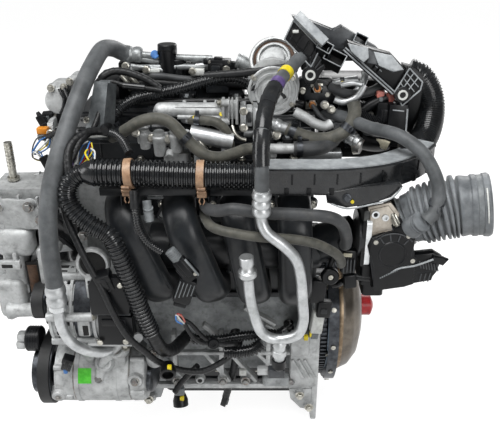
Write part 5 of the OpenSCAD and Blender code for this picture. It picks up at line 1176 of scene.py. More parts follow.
# %% Phaser housing
phaser = Piece("phaser_housing_detail", cast_aluminium, slot="cast_aluminium")
phaser.block((-296, -70, 424), (-286, -38, 444), ease=0.004)
for y, z in ((-66, 372), (66, 372), (-66, 432), (66, 432), (0, 440), (0, 362)):
    boss(phaser, (-289, y, z), (-1, 0, 0), 0.009, 0.008, cast_aluminium, zinc_steel, 0.01)
for y in (-42, 42):
    phaser.turned(mm((0, 30), (6, 29), (8, 22), (18, 21), (20, 18)), (-290, y, 404), (-1, 0, 0), sides=40)
    plug(phaser, (-300, y + 4, 430), (-0.1, -0.2, 1), (0, -1, 0), 18, 14, 22, lock=grey_plastic)
for k in range(5):
    phaser.block((-284 + 8 * k, -88.5, 362), (-281 + 8 * k, -84, 438), ease=0.0012)
phaser.block((-288, -92, 400), (-250, -84, 408), ease=0.002)
# The ear that rises beside the cover, with a long slot of shadow
phaser.blocks(((-300, -30, 430), (-262, 30, 500), 10), ((-262, -26, 430), (-244, 26, 514), 8))
phaser.turned(mm((0, 24), (5, 24), (7, 21), (7, 0)), (-282, -30, 470), (0, -1, 0.2), sides=32)
for x, z in ((-292, 494), (-268, 496), (-294, 440), (-256, 506)):
    boss(phaser, (x, -29, z), (0, -1, 0.1), 0.0068, 0.006, cast_aluminium, zinc_steel, 0.009)
phaser.done()

left_plugs = Piece("phaser_plugs", black_plastic, slot="black_plastic")
left_plugs.blocks(((-288, -40, 428), (-272, -26, 456), 3), ((-270, -44, 436), (-258, -30, 490), 3))
left_plugs.tubes((3, (-276, -38, 494), (-268, -44, 478), (-270, -48, 462), (-276, -48, 452)),
    (3, (-266, -40, 496), (-258, -48, 480), (-258, -50, 466), (-264, -48, 454)), sides=10, skin=conduit_plastic)
plug(left_plugs, (-311, -62, 452), (0.45, -0.15, -0.9), (1, 0, 0), 17, 12, 26)
left_plugs.block((-312, -88, 424), (-292, -74, 436), orange_plastic, 0.002)
left_plugs.block((-312, -88, 412), (-294, -74, 424), grey_plastic, 0.002)
left_plugs.turned(mm((0, 6), (5, 6), (6, 4.5), (6, 0)), (-288, -84, 426), (0, -1, 0.3), zinc_steel, 18)
turn = facing((0.5, -0.2, -1), (1, 0, 0))
box_at(left_plugs, (-296, -116, 392), turn, (-8, -7, -2), (8, 7, 24), ease=0.002)
box_at(left_plugs, (-285, -118, 372), turn, (-5, -5, -4), (5, 5, 8), yellow_plastic, 0.0015)
left_plugs.done()

# %% Bare wires
bare = Piece("bare_wires", slot="loom_black")
fan_of_wires(bare, (-286, -100, 424), (-316, -108, 396), [blue_plastic, white_nylon, blue_plastic, hose_rubber,
    blue_plastic, yellow_plastic, white_nylon], radius=0.0013, spread=0.006, bow=0.007, seed=3)
fan_of_wires(bare, (-316, -108, 398), (-300, -114, 386), [blue_plastic, white_nylon, hose_rubber, yellow_plastic,
    blue_plastic], radius=0.0013, spread=0.005, bow=0.004, seed=5)
fan_of_wires(bare, (-198, -166, 438), (-214, -186, 406), [white_nylon, purple_plastic, blue_plastic, red_plastic,
    white_nylon, hose_rubber, yellow_plastic, blue_plastic], radius=0.0012, spread=0.009, bow=0.006, seed=8)
fan_of_wires(bare, (-226, -178, 434), (-222, -206, 404), [blue_plastic, hose_rubber, red_plastic, white_nylon,
    purple_plastic], radius=0.0012, spread=0.006, bow=0.005, seed=11)
fan_of_wires(bare, (-196, -180, 430), (-186, -206, 416), [blue_plastic, blue_plastic, white_nylon, yellow_plastic],
    radius=0.0015, spread=0.006, bow=0.004, seed=4)
taped(bare, [(-212, -156, 448), (-228, -172, 438), (-238, -192, 420), (-236, -204, 396), (-232, -206, 370)], 0.007,
    0.008)
taped(bare, [(-298, -96, 420), (-276, -108, 432), (-262, -120, 444)], 0.0055, 0.008)
bare.done()

# %% [markdown]
# ## Intake side
# Four moulded runners curve up from the head and over to the plenum. Flat webs join them, and each web carries an
# aluminium tag or a rib. The conduit is held to the webs by tan clamps, and its far end lies in a long black tray.

# %% Runners and plenum
PORT_Z, MANIFOLD_Y = (297, -102)
RUNNERS = ((-139, -22), (-42, -20), (54, -11), (148, -2))
SECTION = [(0.0295 * math.copysign(abs(math.cos(a)) ** 0.8, math.cos(a)),
    0.0228 * math.copysign(abs(math.sin(a)) ** 0.8, math.sin(a))) for a in (2 * math.pi * k / 40 for k in range(40))]
runners = Piece("intake_runners", moulded_nylon, slot="dark_plastic")
band_line = [(MANIFOLD_Y + 4, 0), (MANIFOLD_Y - 3, 6)]
band_line += [(-160 + 58 * cosine(a), -22 + 58 * sine(a)) for a in range(36, 181, 6)]
band_line += [(-218, -22 - 83 * k / 12) for k in range(1, 12)]
band_line += [(-181 + 37 * cosine(a), -105 + 37 * sine(a)) for a in range(180, 331, 6)]
for x, lean in RUNNERS:
    c, s = (cosine(lean), sine(lean))
    line = [above_crank(x + dz * s, y, PORT_Z + dz * c) for y, dz in band_line]
    sweep(runners, line, SECTION, moulded_nylon, side=(c, 0, -s))
    for shift in (-0.0235, 0.0235):
        seam = [p + Vector((c, 0, -s)) * shift + Vector((0, -0.015, 0)) for p in line[26:38]]
        runners.tube(seam, 0.0016, sides=8)
runners.turned(mm((-112, 36), (-108, 42), (194, 42), (200, 39)), (0, -150, 232), (1, 0, 0), sides=48)
runners.tube([above_crank(184, -150, 232), above_crank(216, -162, 248), above_crank(240, -172, 262),
    above_crank(250, -176, 266)], 0.036, sides=40, wall=0.0025)
runners.turned(mm((0, 42), (10, 42), (10, 36)), (258, -180, 275), (1, 0, 0), sides=48)
runners.blocks(((-172, MANIFOLD_Y, 269), (182, -95, 325), 2), ((-184, -196, PORT_Z + 55), (176, -184, PORT_Z + 70),
    2))
runners.turned(mm((0, 6), (37, 6), (37, 0)), (234, -175, 270), (0, -1, 0), sides=20)
runners.turned(mm((0, 5), (29, 5), (29, 0)), (230, -175, 230), (0, -1, 0), sides=20)
# The brace that ties the runners' lower ends to the block, with its screws
runners.blocks(((-112, -136, 118), (198, -118, 198), 5), ((-112, -142, 112), (198, -118, 124), 3))
for x in (-100, -4, 92, 176):
    boss(runners, (x, -140, 132), (0, -1, 0.2), 0.0095, 0.006, moulded_nylon, zinc_steel, 0.011)
for x in range(-90, 196, 24):
    runners.block((x - 1.2, -140, 122), (x + 1.2, -134, 190), ease=0.0006)
runners.done(replaces=["intake_manifold"])

# %% Webs, ribs and tags between the runners
webs = Piece("runner_webs", moulded_nylon, slot="dark_plastic")
tags = Piece("runner_tags", slot="bright_steel")
for place, wide, tall, lean in (((-92, -176, 352), 26, 17, 0.0), ((-66, -184, 318), 30, 34, 0.5),
        ((-50, -190, 262), 26, 26, 0.5), ((38, -186, 250), 16, 12, 0.2), ((44, -190, 206), 18, 10, 0.2),
        ((132, -176, 345), 26, 30, 0.0), ((128, -184, 250), 18, 10, 0.1), ((28, -180, 330), 20, 26, 0.3)):
    turn = facing((0, -1, 0.15), (lean, 0, 1))
    box_at(webs, place, turn, (-wide / 2 - 5, -tall / 2 - 7, -6), (wide / 2 + 5, tall / 2 + 7, -1), ease=0.002)
    box_at(tags if tall > 12 else webs, place, turn, (-wide / 2, -tall / 2, -1), (wide / 2, tall / 2, 1.5),
        cast_aluminium if tall > 12 else moulded_nylon, 0.001)
    box_at(tags, place, turn, (-wide / 2 - 1, -tall / 2 - 4, -2), (wide / 2 + 1, -tall / 2 - 1.6, 3), pale_hose,
        0.0008)
for x0, x1, z in ((-148, 214, 365), (-140, 214, 356), (-150, 218, 150)):
    webs.block((x0, -118, z - 2), (x1, -98, z + 2), ease=0.001)
for x in range(-140, 216, 22):
    webs.block((x - 1.3, -124, 334), (x + 1.3, -100, 366), ease=0.0008)
for k in range(4):
    x = -128 + 92 * k
    for side in (-1, 1):
        boss(webs, (x + side * 38, -112, 300), (0, -1, 0), 0.0085, 0.008, moulded_nylon, zinc_steel, 0.01)
for x, z in ((-104, 140), (-14, 140), (76, 140), (166, 140)):
    boss(webs, (x, -150, z), (0, -1, -0.2), 0.008, 0.008, moulded_nylon, zinc_steel, 0.01)
# Long strap ribs that follow the first runner
webs.tubes((3.2, (-146, -190, 330), (-122, -212, 290), (-92, -226, 240), (-66, -232, 190)),
    (3.2, (-154, -188, 326), (-130, -210, 286), (-100, -224, 236), (-76, -230, 188)), sides=10)
webs.done()
tags.done()

# %% Tan clamps with their black sockets
clasps = Piece("tan_clamps", tan_nylon, slot="tan_plastic")
for x, y, z, lean in ((-126, -217.3, 402.3, 4), (-10, -215.6, 398.6, -2)):
    clasps.turned([(-0.0062, LOOM_RADIUS + 0.0002), (-0.0062, LOOM_RADIUS + 0.0022), (0.0062, LOOM_RADIUS + 0.0022),
        (0.0062, LOOM_RADIUS + 0.0002)], (x, y, z), (1, 0, lean * 0.012), sides=48)
    for row in range(2):
        box_at(clasps, (x - lean, y - 20 + 3 * row, z - 16 - 7 * row), facing((0, -1, -0.5)), (-6.6 - row, -3, -2),
            (6.6 + row, 3, 2.5), ease=0.001)
    clasps.block((x - 8 - lean, y - 14, z - 35), (x + 8 - lean, y - 4, z - 27), ease=0.0015)
    for side in (-1, 1):
        clasps.tube([(x - lean + side * 3, y - 12, z - 36), (x - lean + side * 4.4, y - 14, z - 41),
            (x - lean + side * 2, y - 15, z - 46)], 0.0011, sides=8)
    clasps.block((x - 12 - lean, y - 9, z - 38), (x + 12 - lean, y + 30, z - 35), black_plastic, 0.001)
    for side in (-1, 1):
        clasps.block((x - lean + side * 11 - 1, y - 9, z - 54), (x - lean + side * 11 + 1, y + 30, z - 35),
            black_plastic, 0.0006)
clasps.done(replaces=["clamps"])
post = Piece("black_post", slot="black_plastic")
post.turned(mm((-6, 18.5), (20, 18.5), (22, 17), (85, 17), (86, 18), (94, 18), (95.5, 16.5)), (-84, 30, 466),
    (0, 0, 1), black_plastic, 40)
band(post, (-84, 30, 548), (1, 0, 0), 0.009, 0.034, black_plastic, 0.0035)
post.done()

# %% Tray
TRAY_ROUTE = route((98, -212, 394), (150, -210, 393), (220, -206, 392), (290, -186, 392), (345, -150, 394),
    (378, -110, 398))
tray = Piece("tray_channel", black_plastic, slot="black_plastic")
edge_line = smooth_route(TRAY_ROUTE, 0.006)
sweep(tray, edge_line, [(u / 1000, v / 1000) for u, v in ((-21, -22), (21, -22), (22.5, -20.5), (22.5, 17),
    (24.5, 17.5), (24.5, 20.5), (20, 21.5), (18, 23), (-18, 23), (-20, 21.5), (-24.5, 20.5), (-24.5, 17.5),
    (-22.5, 17), (-22.5, -20.5))], conduit_plastic)
# A strip of painted highlight along the tray's top face, where the lamp falls on it
sweep(tray, edge_line, [(-0.0195, 0.0205), (0.0195, 0.0205), (0.0195, 0.0242), (-0.0195, 0.0242)], highlight_grey_plastic)
for i, along in enumerate(directions(edge_line)):
    if 5 < i < len(edge_line) - 4 and i % 6 == 0:
        out = Vector((along.y, -along.x, 0)).normalized()
        turn = facing(out, (0, 0, 1))
        box_at(tray, edge_line[i] + out * 0.0225, turn, (-4, -22, -1), (4, -10, 2.0), ease=0.0006)
        box_at(tray, edge_line[i] + out * 0.0225, turn, (7, -4, -1), (10, 14, 1.2), ease=0.0006)
tray.blocks(((268, -206, 372), (300, -188, 380), 2), ((330, -144, 412), (372, -118, 420), 2))
# A disc of painted shadow in the lug's bore
tray.turned(mm((0, 3.2), (1.2, 3.2), (1.2, 0)), (346, -130, 421), (0, 0, 1), shadow_black, 16)
tray.block((336, -110, 380), (392, -96, 420), ease=0.004)
# The cover below the tray, over the throttle's neck
tray.plate(mm((-10, 4), (44, 10), (110, 20), (116, 10), (98, -8), (60, -20), (26, -26), (-6, -18)), 0.014,
    set_down((204, -218, 372), v=(0, 0.1, 1)), conduit_plastic, 0.004)
# A thin line of painted highlight along the lower edge of the cover
tray.tube([(204, -235, 356), (230, -236, 348), (264, -236, 354), (300, -236, 366), (316, -234, 384)], 0.0014,
    highlight_grey_plastic, 8)
tray.block((206, -200, 338), (292, -150, 372), ease=0.005)
tray.hex_bolt((229, -234, 366), (0, -1, 0.2), 0.0095, oiled_steel)
tray.turned(mm((0, 3), (2, 3), (2, 0)), (238, -235, 360), (0, -1, 0.2), yellow_plastic, 12)
tray.block((178, -196, 352), (212, -140, 372), ease=0.004)
tray.block((120, -176, 330), (176, -130, 372), moulded_nylon, 0.004)
tray.done(replaces=["wiring_tray"])

# %% [markdown]
# ### Pressure sensor cable
# A thin conduit leaves the wiring under a grey sleeve and ends at a finned plug on the second runner. Below the
# plug the wires come out bare and go on in tape.

# %% Sensor cable and plug
sensor = Piece("pressure_sensor", grey_plastic, slot="black_plastic")
sensor.tube([(-94, -256, 372), (-92, -262, 356), (-90, -266, 340)], 0.0072, sides=16)
for z in (343, 349, 355, 361):
    band(sensor, (-91.5, -262, z), (0.08, -0.3, 1), 0.0072, 0.003, thick=0.0008, sides=20)
sensor_aim = Vector((0.62, -0.12, -0.78))
sleeve_low = above_crank(-60, -273, 291)
sensor.tube([sleeve_low, sleeve_low + 0.022 * sensor_aim], 0.0088, sides=18)
for k in range(6):
    band(sensor, sleeve_low + (0.002 + 0.0034 * k) * sensor_aim, sensor_aim, 0.0088, 0.0018, thick=0.0009, sides=20)
turn = facing(sensor_aim, (0.1, -1, 0.2))
plug_low = sleeve_low + 0.02 * sensor_aim
box_at(sensor, plug_low, turn, (-11, -9, 0), (11, 9, 30), black_plastic, 0.003)
box_at(sensor, plug_low, turn, (-15, -12, 10), (13, 6, 44), black_plastic, 0.004)
box_at(sensor, plug_low, turn, (-4, 8, 2), (6, 12, 34), black_plastic, 0.0015)
box_at(sensor, plug_low, turn, (9, 4, 6), (12, 10.5, 42), ease=0.001)
sensor.turned(mm((0, 3.2), (1.2, 3.2), (1.2, 0)), plug_low + turn @ Vector((0.008, 0.009, 0.036)), turn.col[1],
    zinc_steel, 14)
lower = plug_low + turn @ Vector((-0.01, -0.004, 0.04))
turn_low = facing((-0.35, -0.05, -1), (0, -1, 0))
box_at(sensor, lower, turn_low, (-15, -10, -4), (15, 10, 44), black_plastic, 0.004)
for k in range(5):
    x = -12 + 6 * k
    box_at(sensor, lower, turn_low, (x - 0.7, 9, 2), (x + 0.7, 12.5, 34 - 3 * k), grey_plastic, 0.0004, 1)
box_at(sensor, lower, turn_low, (-11, -7, 44), (11, 7, 52), black_plastic, 0.002)
sensor.done()
fan = Piece("sensor_wires", slot="loom_black")
fan_of_wires(fan, (-56, -262, 156), (-44, -262, 138), [blue_plastic, white_nylon, red_plastic, salmon_plastic,
    white_nylon], radius=0.0016, spread=0.004, bow=0.003, seed=2)
taped(fan, [(-44, -262, 140), (-38, -262, 124), (-26, -262, 104), (-12, -258, 92), (-2, -252, 88)], 0.004, 0.006)
fan.turned(mm((0, 9.5), (3, 10.5), (8, 10.5), (11, 8.5), (11, 4), (8, 3.4), (8, 0)), (5, -248, 86), (0.1, -1, 0.3),
    black_plastic, 26)
taped(fan, [(12, -246, 82), (26, -240, 76), (38, -226, 66), (44, -206, 52)], 0.0046, 0.006)
fan.done()

# %% [markdown]
# ## Air inlet
# The throttle body is a bored aluminium casting. Its motor sits below under a black cover. A rubber duct with
# pleats takes the air in, and a worm-drive clip holds its thick end. The duct is turned from one profile, then each
# ring is set square to the curved middle line.

# %% Duct with pleats
MOUTH = above_crank(450, -206, 340)
MOUTH_AIM = Vector((0.965, -0.19, 0.16)).normalized()
duct_line = smooth_route([above_crank(322, -184, 290), above_crank(340, -186, 301), above_crank(366, -191, 315),
    above_crank(394, -197, 327), MOUTH - 0.028 * MOUTH_AIM, MOUTH + 0.024 * MOUTH_AIM], 0.0012)
duct_steps = len(duct_line) - 1
DUCT_PROFILE = [(0.0, 0.041), (0.02, 0.043), (0.13, 0.043), (0.15, 0.04), (0.17, 0.04), (0.19, 0.043), (0.25, 0.044),
    (0.27, 0.046)]
PLEATS = 7
for k in range(PLEATS):
    start = 0.285 + 0.058 * k
    DUCT_PROFILE += [(start, 0.045), (start + 0.012, 0.051 + 0.0005 * k), (start + 0.036, 0.0515 + 0.0005 * k),
        (start + 0.05, 0.0448)]
DUCT_PROFILE += [(0.705, 0.0515), (0.722, 0.052), (0.8, 0.05), (0.815, 0.0525), (0.85, 0.0525), (0.865, 0.0495),
    (0.895, 0.0495), (0.91, 0.0535), (0.96, 0.054), (1.0, 0.0515)]


def duct_radius(t):
    for (t0, r0), (t1, r1) in zip(DUCT_PROFILE, DUCT_PROFILE[1:]):
        if t <= t1:
            s = (t - t0) / max(1e-6, t1 - t0)
            s = s * s * (3 - 2 * s)
            return r0 + (r1 - r0) * s
    return DUCT_PROFILE[-1][1]


duct = Piece("pleated_duct", duct_rubber, slot="grey_rubber")
duct.tube(duct_line, duct_radius, sides=72, wall=0.003, smooth=False)
NIPPLE_AIM = Vector((0.4, -0.62, 0.68)).normalized()
nipple = above_crank(352, -236, 322)
duct.turned(mm((-22, 20), (-4, 16.5), (4, 15), (5, 16.5), (8, 16.5), (9, 14), (9, 11.5)), nipple, NIPPLE_AIM,
    sides=36)
for rise in (-0.006, 0.0, 0.006):
    band(duct, nipple + rise * NIPPLE_AIM, NIPPLE_AIM, 0.016, 0.0026, thick=0.0014, sides=36)
duct.done(replaces=["intake_duct"])
clip = Piece("duct_clips", slot="bright_steel")
for t, width in ((0.085, 0.02), (0.885, 0.01)):
    i = round(t * duct_steps)
    axis = (duct_line[i + 1] - duct_line[i - 1]).normalized()
    band(clip, duct_line[i], axis, duct_radius(t) + 0.0004, width, black_plastic if t < 0.5 else grey_plastic, 0.0014,
        64)
    side = (Vector((0, -0.75, 0.66)) - Vector((0, -0.75, 0.66)).dot(axis) * axis).normalized()
    if t < 0.5:
        base = duct_line[i] + side * (duct_radius(t) + 0.004)
        turn = facing(side, axis)
        box_at(clip, base, turn, (-9, -6, -3), (9, 6, 4), zinc_steel, 0.0015)
        clip.turned(mm((-12, 4.2), (12, 4.2), (12, 0)), base + side * 0.003, turn.col[0], zinc_steel, 16)
mouth_side = (Vector((0, -0.9, 0.4)) - Vector((0, -0.9, 0.4)).dot(MOUTH_AIM) * MOUTH_AIM).normalized()
mouth_up = MOUTH_AIM.cross(mouth_side)
for reach in (0.053, 0.056):
    clip.tube([MOUTH + 0.016 * MOUTH_AIM + reach * (mouth_side * cosine(a) + mouth_up * sine(a)) for a in range(-30,
        31, 6)], 0.0013, white_nylon, 8)
clip.done(replaces=["duct_clamps"])

# %% Throttle body and motor cover
throttle = Piece("throttle_detail", slot="machined_aluminium")


def face_plate(piece, corners, front, thick, material, ease=0.003, lean=0.06):
    """A plate drawn in front view by its corners, in millimetres, that faces forward from the depth `front`."""
    x0, z0 = corners[0]
    piece.plate([((x - x0) / 1000, (z - z0) / 1000) for x, z in corners], thick / 1000,
                set_down(above_crank(x0, front, z0), (1, 0, 0), (0, lean, 1)), material, ease)


face_plate(throttle, [(268, 342), (306, 350), (322, 330), (325, 292), (276, 284)], -211, 7, throttle_casting, 0.003)
face_plate(throttle, [(272, 338), (302, 345), (316, 328), (318, 300), (274, 294)], -217, 3, throttle_casting)
# The flange stays clear of the bore, where the throttle plate swings. It is painted dark as painted shade.
throttle.block((262, -219, 308), (276, -144, 336), shade_painted_casting, 0.004)
throttle.blocks(((262, -219, 226), (278, -144, 242), 4), ((262, -221, 232), (280, -213, 316), 2), skin=black_plastic)
for x, z, r in ((281, 330, 7), (298, 324, 6)):
    throttle.turned(mm((0, r), (4, r * 0.95), (4, r * 0.55), (1, r * 0.5)), (x, -220, z), (0, -1, 0.06),
        machined_aluminium, 28)
# A disc of painted shadow in the bore of the first boss
throttle.turned(mm((0, 3.6), (1.2, 3.6), (1.2, 0)), (281, -222, 330), (0, -1, 0.06), shadow_black, 20)
for k in range(3):
    throttle.block((280 + 12 * k, -222, 296), (288 + 12 * k, -216, 310 - 2 * k), throttle_casting, 0.002)
throttle.done()

# The cover's skin is the painted grey sheen, for the thin ribs and rims drawn without a material of their own
cover = Piece("throttle_cover", sheen_grey_plastic, slot="black_plastic")
COVER = [(276, 288), (300, 297), (326, 303), (344, 305), (352, 296), (352, 278), (348, 258), (357, 240), (357, 198),
    (340, 194), (290, 184), (283, 192), (283, 236), (276, 254), (271, 272)]
face_plate(cover, COVER, -212, 16, black_plastic, 0.004)
face_plate(cover, [(x * 0.94 + 314 * 0.06, z * 0.94 + 236 * 0.06) for x, z in COVER], -227, 3, black_plastic, 0.0015)
face_plate(cover, [(352, 256), (386, 260), (402, 250), (396, 222), (384, 204), (355, 198)], -208, 22, black_plastic,
    0.006)
face_plate(cover, [(384, 258), (400, 254), (411, 250), (402, 238), (380, 246)], -226, 10, black_plastic, 0.003)
for k in range(7):
    cover.tube([above_crank(362 + 5 * k, -232, 246 - k), above_crank(366 + 5 * k, -232, 232 - k)], 0.0012, sides=6)
face_plate(cover, [(360, 222), (391, 227), (386, 208), (362, 204)], -230, 3, black_plastic, 0.0012)
for t in (0.2, 0.5, 0.8):
    cover.tube([above_crank(362 + 26 * t, -234, 221 + 3 * t), above_crank(361 + 24 * t, -234, 206)], 0.001, sides=6)
dish = above_crank(314, -230, 258)
cover.turned(mm((-4, 25.5), (1.5, 25), (3, 23.6), (3, 21.8), (0.4, 20.8), (1, 0)), dish, (0, -1, 0.06), black_plastic,
    44)
for a in (48, 74, 100, 126):
    out = Vector((cosine(a), 0, sine(a)))
    cover.tube([dish + out * 0.027 + Vector((0, -0.0015, 0)), dish + out * 0.04], 0.0011, sides=8)
cover.tube([dish + Vector((0.0405 * cosine(a), -0.0005, 0.0405 * sine(a))) for a in range(38, 141, 6)], 0.0011,
    sides=8)
for x, z in ((284, 282), (338, 294), (350, 246), (291, 200)):
    cover.turned(mm((0, 7.2), (2, 7), (2, 4.8)), (x, -229, z), (0, -1, 0.06), black_plastic, 22)
    cover.turned(mm((1, 4.6), (3.5, 4), (3.5, 0)), (x, -229, z), (0, -1, 0.06), zinc_steel, 20)
# A thin line of painted highlight along the cover's lower edge
cover.tube([(292, -231, 212), (310, -232, 221), (328, -233, 232), (356, -233, 238), (384, -236, 252)], 0.0018,
    highlight_grey_plastic, 8)
for k in range(9):
    cover.turned(mm((0, 1.6), (2, 1.6), (2, 0)), (297 + 3.4 * k, -233, 214 + 1.9 * k), (0, -1, 0), grey_plastic, 8)
# A thin plate in the painted grey sheen behind the cover
face_plate(cover, COVER, -200, 4, sheen_grey_plastic, 0.001)
# The plug of the purge valve beside it, and the lead between them
box_at(cover, (244, -206, 226), facing((0.1, -1, 0.1), (0.12, 0, 1)), (-13, -16, -8), (13, 28, 8), black_plastic,
    0.003)
box_at(cover, (248, -212, 196), facing((0.1, -1, 0.1), (-0.1, 0, 1)), (-11, -14, -8), (11, 12, 8), black_plastic,
    0.003)
box_at(cover, (240, -216, 250), facing((0.1, -1, 0.1), (0.12, 0, 1)), (-8, -4, 0), (8, 3, 3), tan_cream, 0.001)
for k in range(4):
    cover.block((234 + 6 * k, -218, 214), (236 + 6 * k, -213, 240), ease=0.0005)
cover.tubes((5.8, (256, -206, 200), (270, -210, 199), (286, -212, 199)), (6, (240, -196, 184), (232, -188, 172),
    (222, -184, 168)), sides=14, skin=wiring_tape)
cover.done()

# %% [markdown]
# ## Connector bracket
# A moulded black bracket stands behind the throttle and carries the plugs that join the car's own wiring. One half
# is an open frame of pockets and ribs. The other is a smooth hood whose upper faces lie flat to the lamp; they and
# many edges are painted grey as highlights, and the pockets hold painted shadow. Two lugs hold steel bushes, painted
# as white rings for the shine of the steel.

# %% Slopes of the bracket's two arms
bracket = Piece("bracket_body", black_plastic, slot="black_plastic")


def sloped(x, z, tilt):
    """Turns millimetres along and across a sloping arm into places in front view."""
    c, s = cosine(tilt), sine(tilt)
    return lambda u, v: (x + u * c + v * s, z - u * s + v * c)


def slab(corners, front, thick, material, lean=0.0, ease=0.002):
    """A flat plate drawn in front view by its corners, in millimetres. `lean` tips its face towards the sky."""
    x0, z0 = corners[0]
    bracket.plate([((x - x0) / 1000, (z - z0) / 1000) for x, z in corners], thick / 1000,
                  set_down(above_crank(x0, front, z0), (1, 0, 0), (0, lean, 1)), material, ease)


def edge(start, end, depth, radius=0.0013, material=None):
    """A thin rod along an edge between two places in front view. Its default grey is a painted highlight, the light
    that the edge catches.
    """
    bracket.tube([above_crank(start[0], depth, start[1]), above_crank(end[0], depth, end[1])], radius,
                 material or highlight_grey_plastic, 6)


# %% Left arm, an open channel with ribs
ARM_LONG, ARM_DEEP, ARM_TOP, ARM_RAKE = 66, 32, 16, 12
arm = sloped(129, 592, 45)
arm_face = [arm(0, 0), arm(-ARM_RAKE, ARM_DEEP), arm(ARM_LONG - ARM_RAKE, ARM_DEEP), arm(ARM_LONG, 0)]
slab(arm_face, -78, 5, black_plastic)
# The arm's top face is painted light grey as the highlight the lamp puts on it
slab([arm(-ARM_RAKE, ARM_DEEP), arm(-ARM_RAKE, ARM_DEEP + ARM_TOP), arm(ARM_LONG - ARM_RAKE, ARM_DEEP + ARM_TOP),
      arm(ARM_LONG - ARM_RAKE, ARM_DEEP)], -82, 14, highlight_grey_plastic, 0.5)
# Its outline is traced in painted highlights
for start, end in zip(arm_face, arm_face[1:] + arm_face[:1]):
    edge(start, end, -85)
ARM_RIBS = 4
for k in range(ARM_RIBS):
    u = ARM_LONG * (k + 0.5) / ARM_RIBS
    edge(arm(u, 2), arm(u - ARM_RAKE * 0.7, ARM_DEEP - 4), -85, 0.0015, black_plastic)
edge(arm(2, 8), arm(ARM_LONG - 4, 8), -85, 0.0015, black_plastic)
# A white clip sits in a pocket of painted shadow
clip_at = above_crank(arm(4, 22)[0], -86, arm(4, 22)[1])
bracket.block(clip_at - Vector((0.008, 0, 0.005)), clip_at + Vector((0.008, 0.006, 0.005)), shadow_black, 0.001)
bracket.block(clip_at - Vector((0.005, 0.003, 0.002)), clip_at + Vector((0.005, 0, 0.003)), white_nylon, 0.001)

# %% Back plate and right hood
# The back plate is drawn in the painted grey sheen
slab([(144, 620), (168, 614), (220, 592), (234, 602), (268, 582), (300, 564), (314, 546), (236, 544), (190, 548)], 6,
    24, sheen_grey_plastic)
bracket.blocks(((164, -18, 522), (224, 12, 562), 4), ((186, -46, 546), (268, -20, 564), 3))
HOOD_LONG, PEAK, PEAK_AT = (122, 43, 72)
hood = sloped(232, 578, 40)
slab([hood(0, 0), hood(0, 10), hood(32, 24), hood(PEAK_AT, PEAK), hood(108, 40), hood(126, 28), hood(HOOD_LONG, 0)],
    -50, 26, black_plastic, ease=0.004)
# The two upper faces, painted light grey as the highlight the lamp puts on them, and the one between them painted a
# duller grey sheen
slab([hood(0, 7), hood(32, 24), hood(44, 12), hood(42, 0), hood(14, 0)], -77, 5, highlight_grey_plastic, 0.35)
slab([hood(33, 24), hood(46, 26), hood(64, 13), hood(48, 4)], -77, 3, sheen_grey_plastic, 0.3)
slab([hood(43, 25), hood(PEAK_AT, PEAK - 2), hood(104, 36), hood(92, 21), hood(66, 13)], -77, 5, highlight_grey_plastic, 0.35)
# Painted highlights along the hood's lower edge
for across in (0, -5):
    edge(hood(2, across), hood(HOOD_LONG, across), -79, 0.0015)
bracket.tube([above_crank(hood(2, -3)[0], -72, hood(2, -3)[1]), above_crank(hood(HOOD_LONG, -3)[0], -72,
    hood(HOOD_LONG, -3)[1])], 0.006, sides=10)
# Two small bars, each with a painted highlight on its top edge
for u in (62, 72):
    slab([hood(u, 4), hood(u, 11), hood(u + 5, 11), hood(u + 5, 4)], -76, 6, black_plastic)
    edge(hood(u, 11), hood(u + 5, 11), -83, 0.0008)

# %% Square sockets
# Two open upward beside the arm, and a third stands on the back plate. Each has a floor of painted shadow and a rim of
# painted highlight
SOCKETS = (((196, -84, 574), 24, 18, 0.6), ((214, -84, 556), 34, 24, 0.55), ((266, -22, 574), 22, 18, 0.5))
SOCKET_WALL, SOCKET_HALF = (1.6, 12)
for place, w, h, lean in SOCKETS:
    turn = facing((0.1, -0.75, 0.65), (lean, 0.4, 1))
    place = above_crank(*place)
    w, h = (w / 2, h / 2)
    for low, high in (((-w, h - SOCKET_WALL), (w, h)), ((-w, -h), (w, SOCKET_WALL - h)),
            ((-w, -h), (SOCKET_WALL - w, h)), ((w - SOCKET_WALL, -h), (w, h))):
        box_at(bracket, place, turn, (*low, -SOCKET_HALF), (*high, SOCKET_HALF), ease=0.0005, segments=1)
    box_at(bracket, place, turn, (-w, -h, -SOCKET_HALF), (w, h, -4), shadow_black, 0)
    rim = [place + turn @ (Vector((sx * w, sy * h, SOCKET_HALF + 0.2)) / 1000) for sx,
        sy in ((-1, -1), (1, -1), (1, 1), (-1, 1), (-1, -1))]
    for start, end in zip(rim, rim[1:]):
        bracket.tube([start, end], 0.0009, highlight_grey_plastic, 6)

# %% Lugs with steel bushes
LUG_R, BUSH_R, BORE_R = 0.0140, 0.0090, 0.0056
first_lug, second_lug = (175, 531), (338, 496)


def around(lug, *corners):
    return [(lug[0] + dx, lug[1] + dz) for dx, dz in corners]


slab(around(first_lug, (-14, -4), (-4, -18), (8, -17), (36, 30), (28, 40), (8, 58), (-2, 14)), -70, 12, black_plastic)
# Ribs fan out from the first lug, their crests painted in the grey sheen
FAN_RIBS = 5
for k in range(FAN_RIBS):
    a = math.radians(38 + 18 * k)
    out = (math.cos(a), math.sin(a))
    edge(around(first_lug, (out[0] * 14, out[1] * 14))[0], around(first_lug, (out[0] * 32, out[1] * 32))[0], -84,
        0.0013, sheen_grey_plastic)
lattice = around(second_lug, (-14, 4), (8, 46), (33, 22), (31, 8), (2, -20))
# Behind the lattice, a plate of painted shadow fills its openings, and its outline is a painted highlight
slab(lattice, -66, 14, shadow_black)
for start, end in zip(lattice, lattice[1:] + lattice[:1]):
    edge(start, end, -82, 0.0014)


def part_way(start, end, t):
    return tuple(p + (q - p) * t for p, q in zip(start, end))


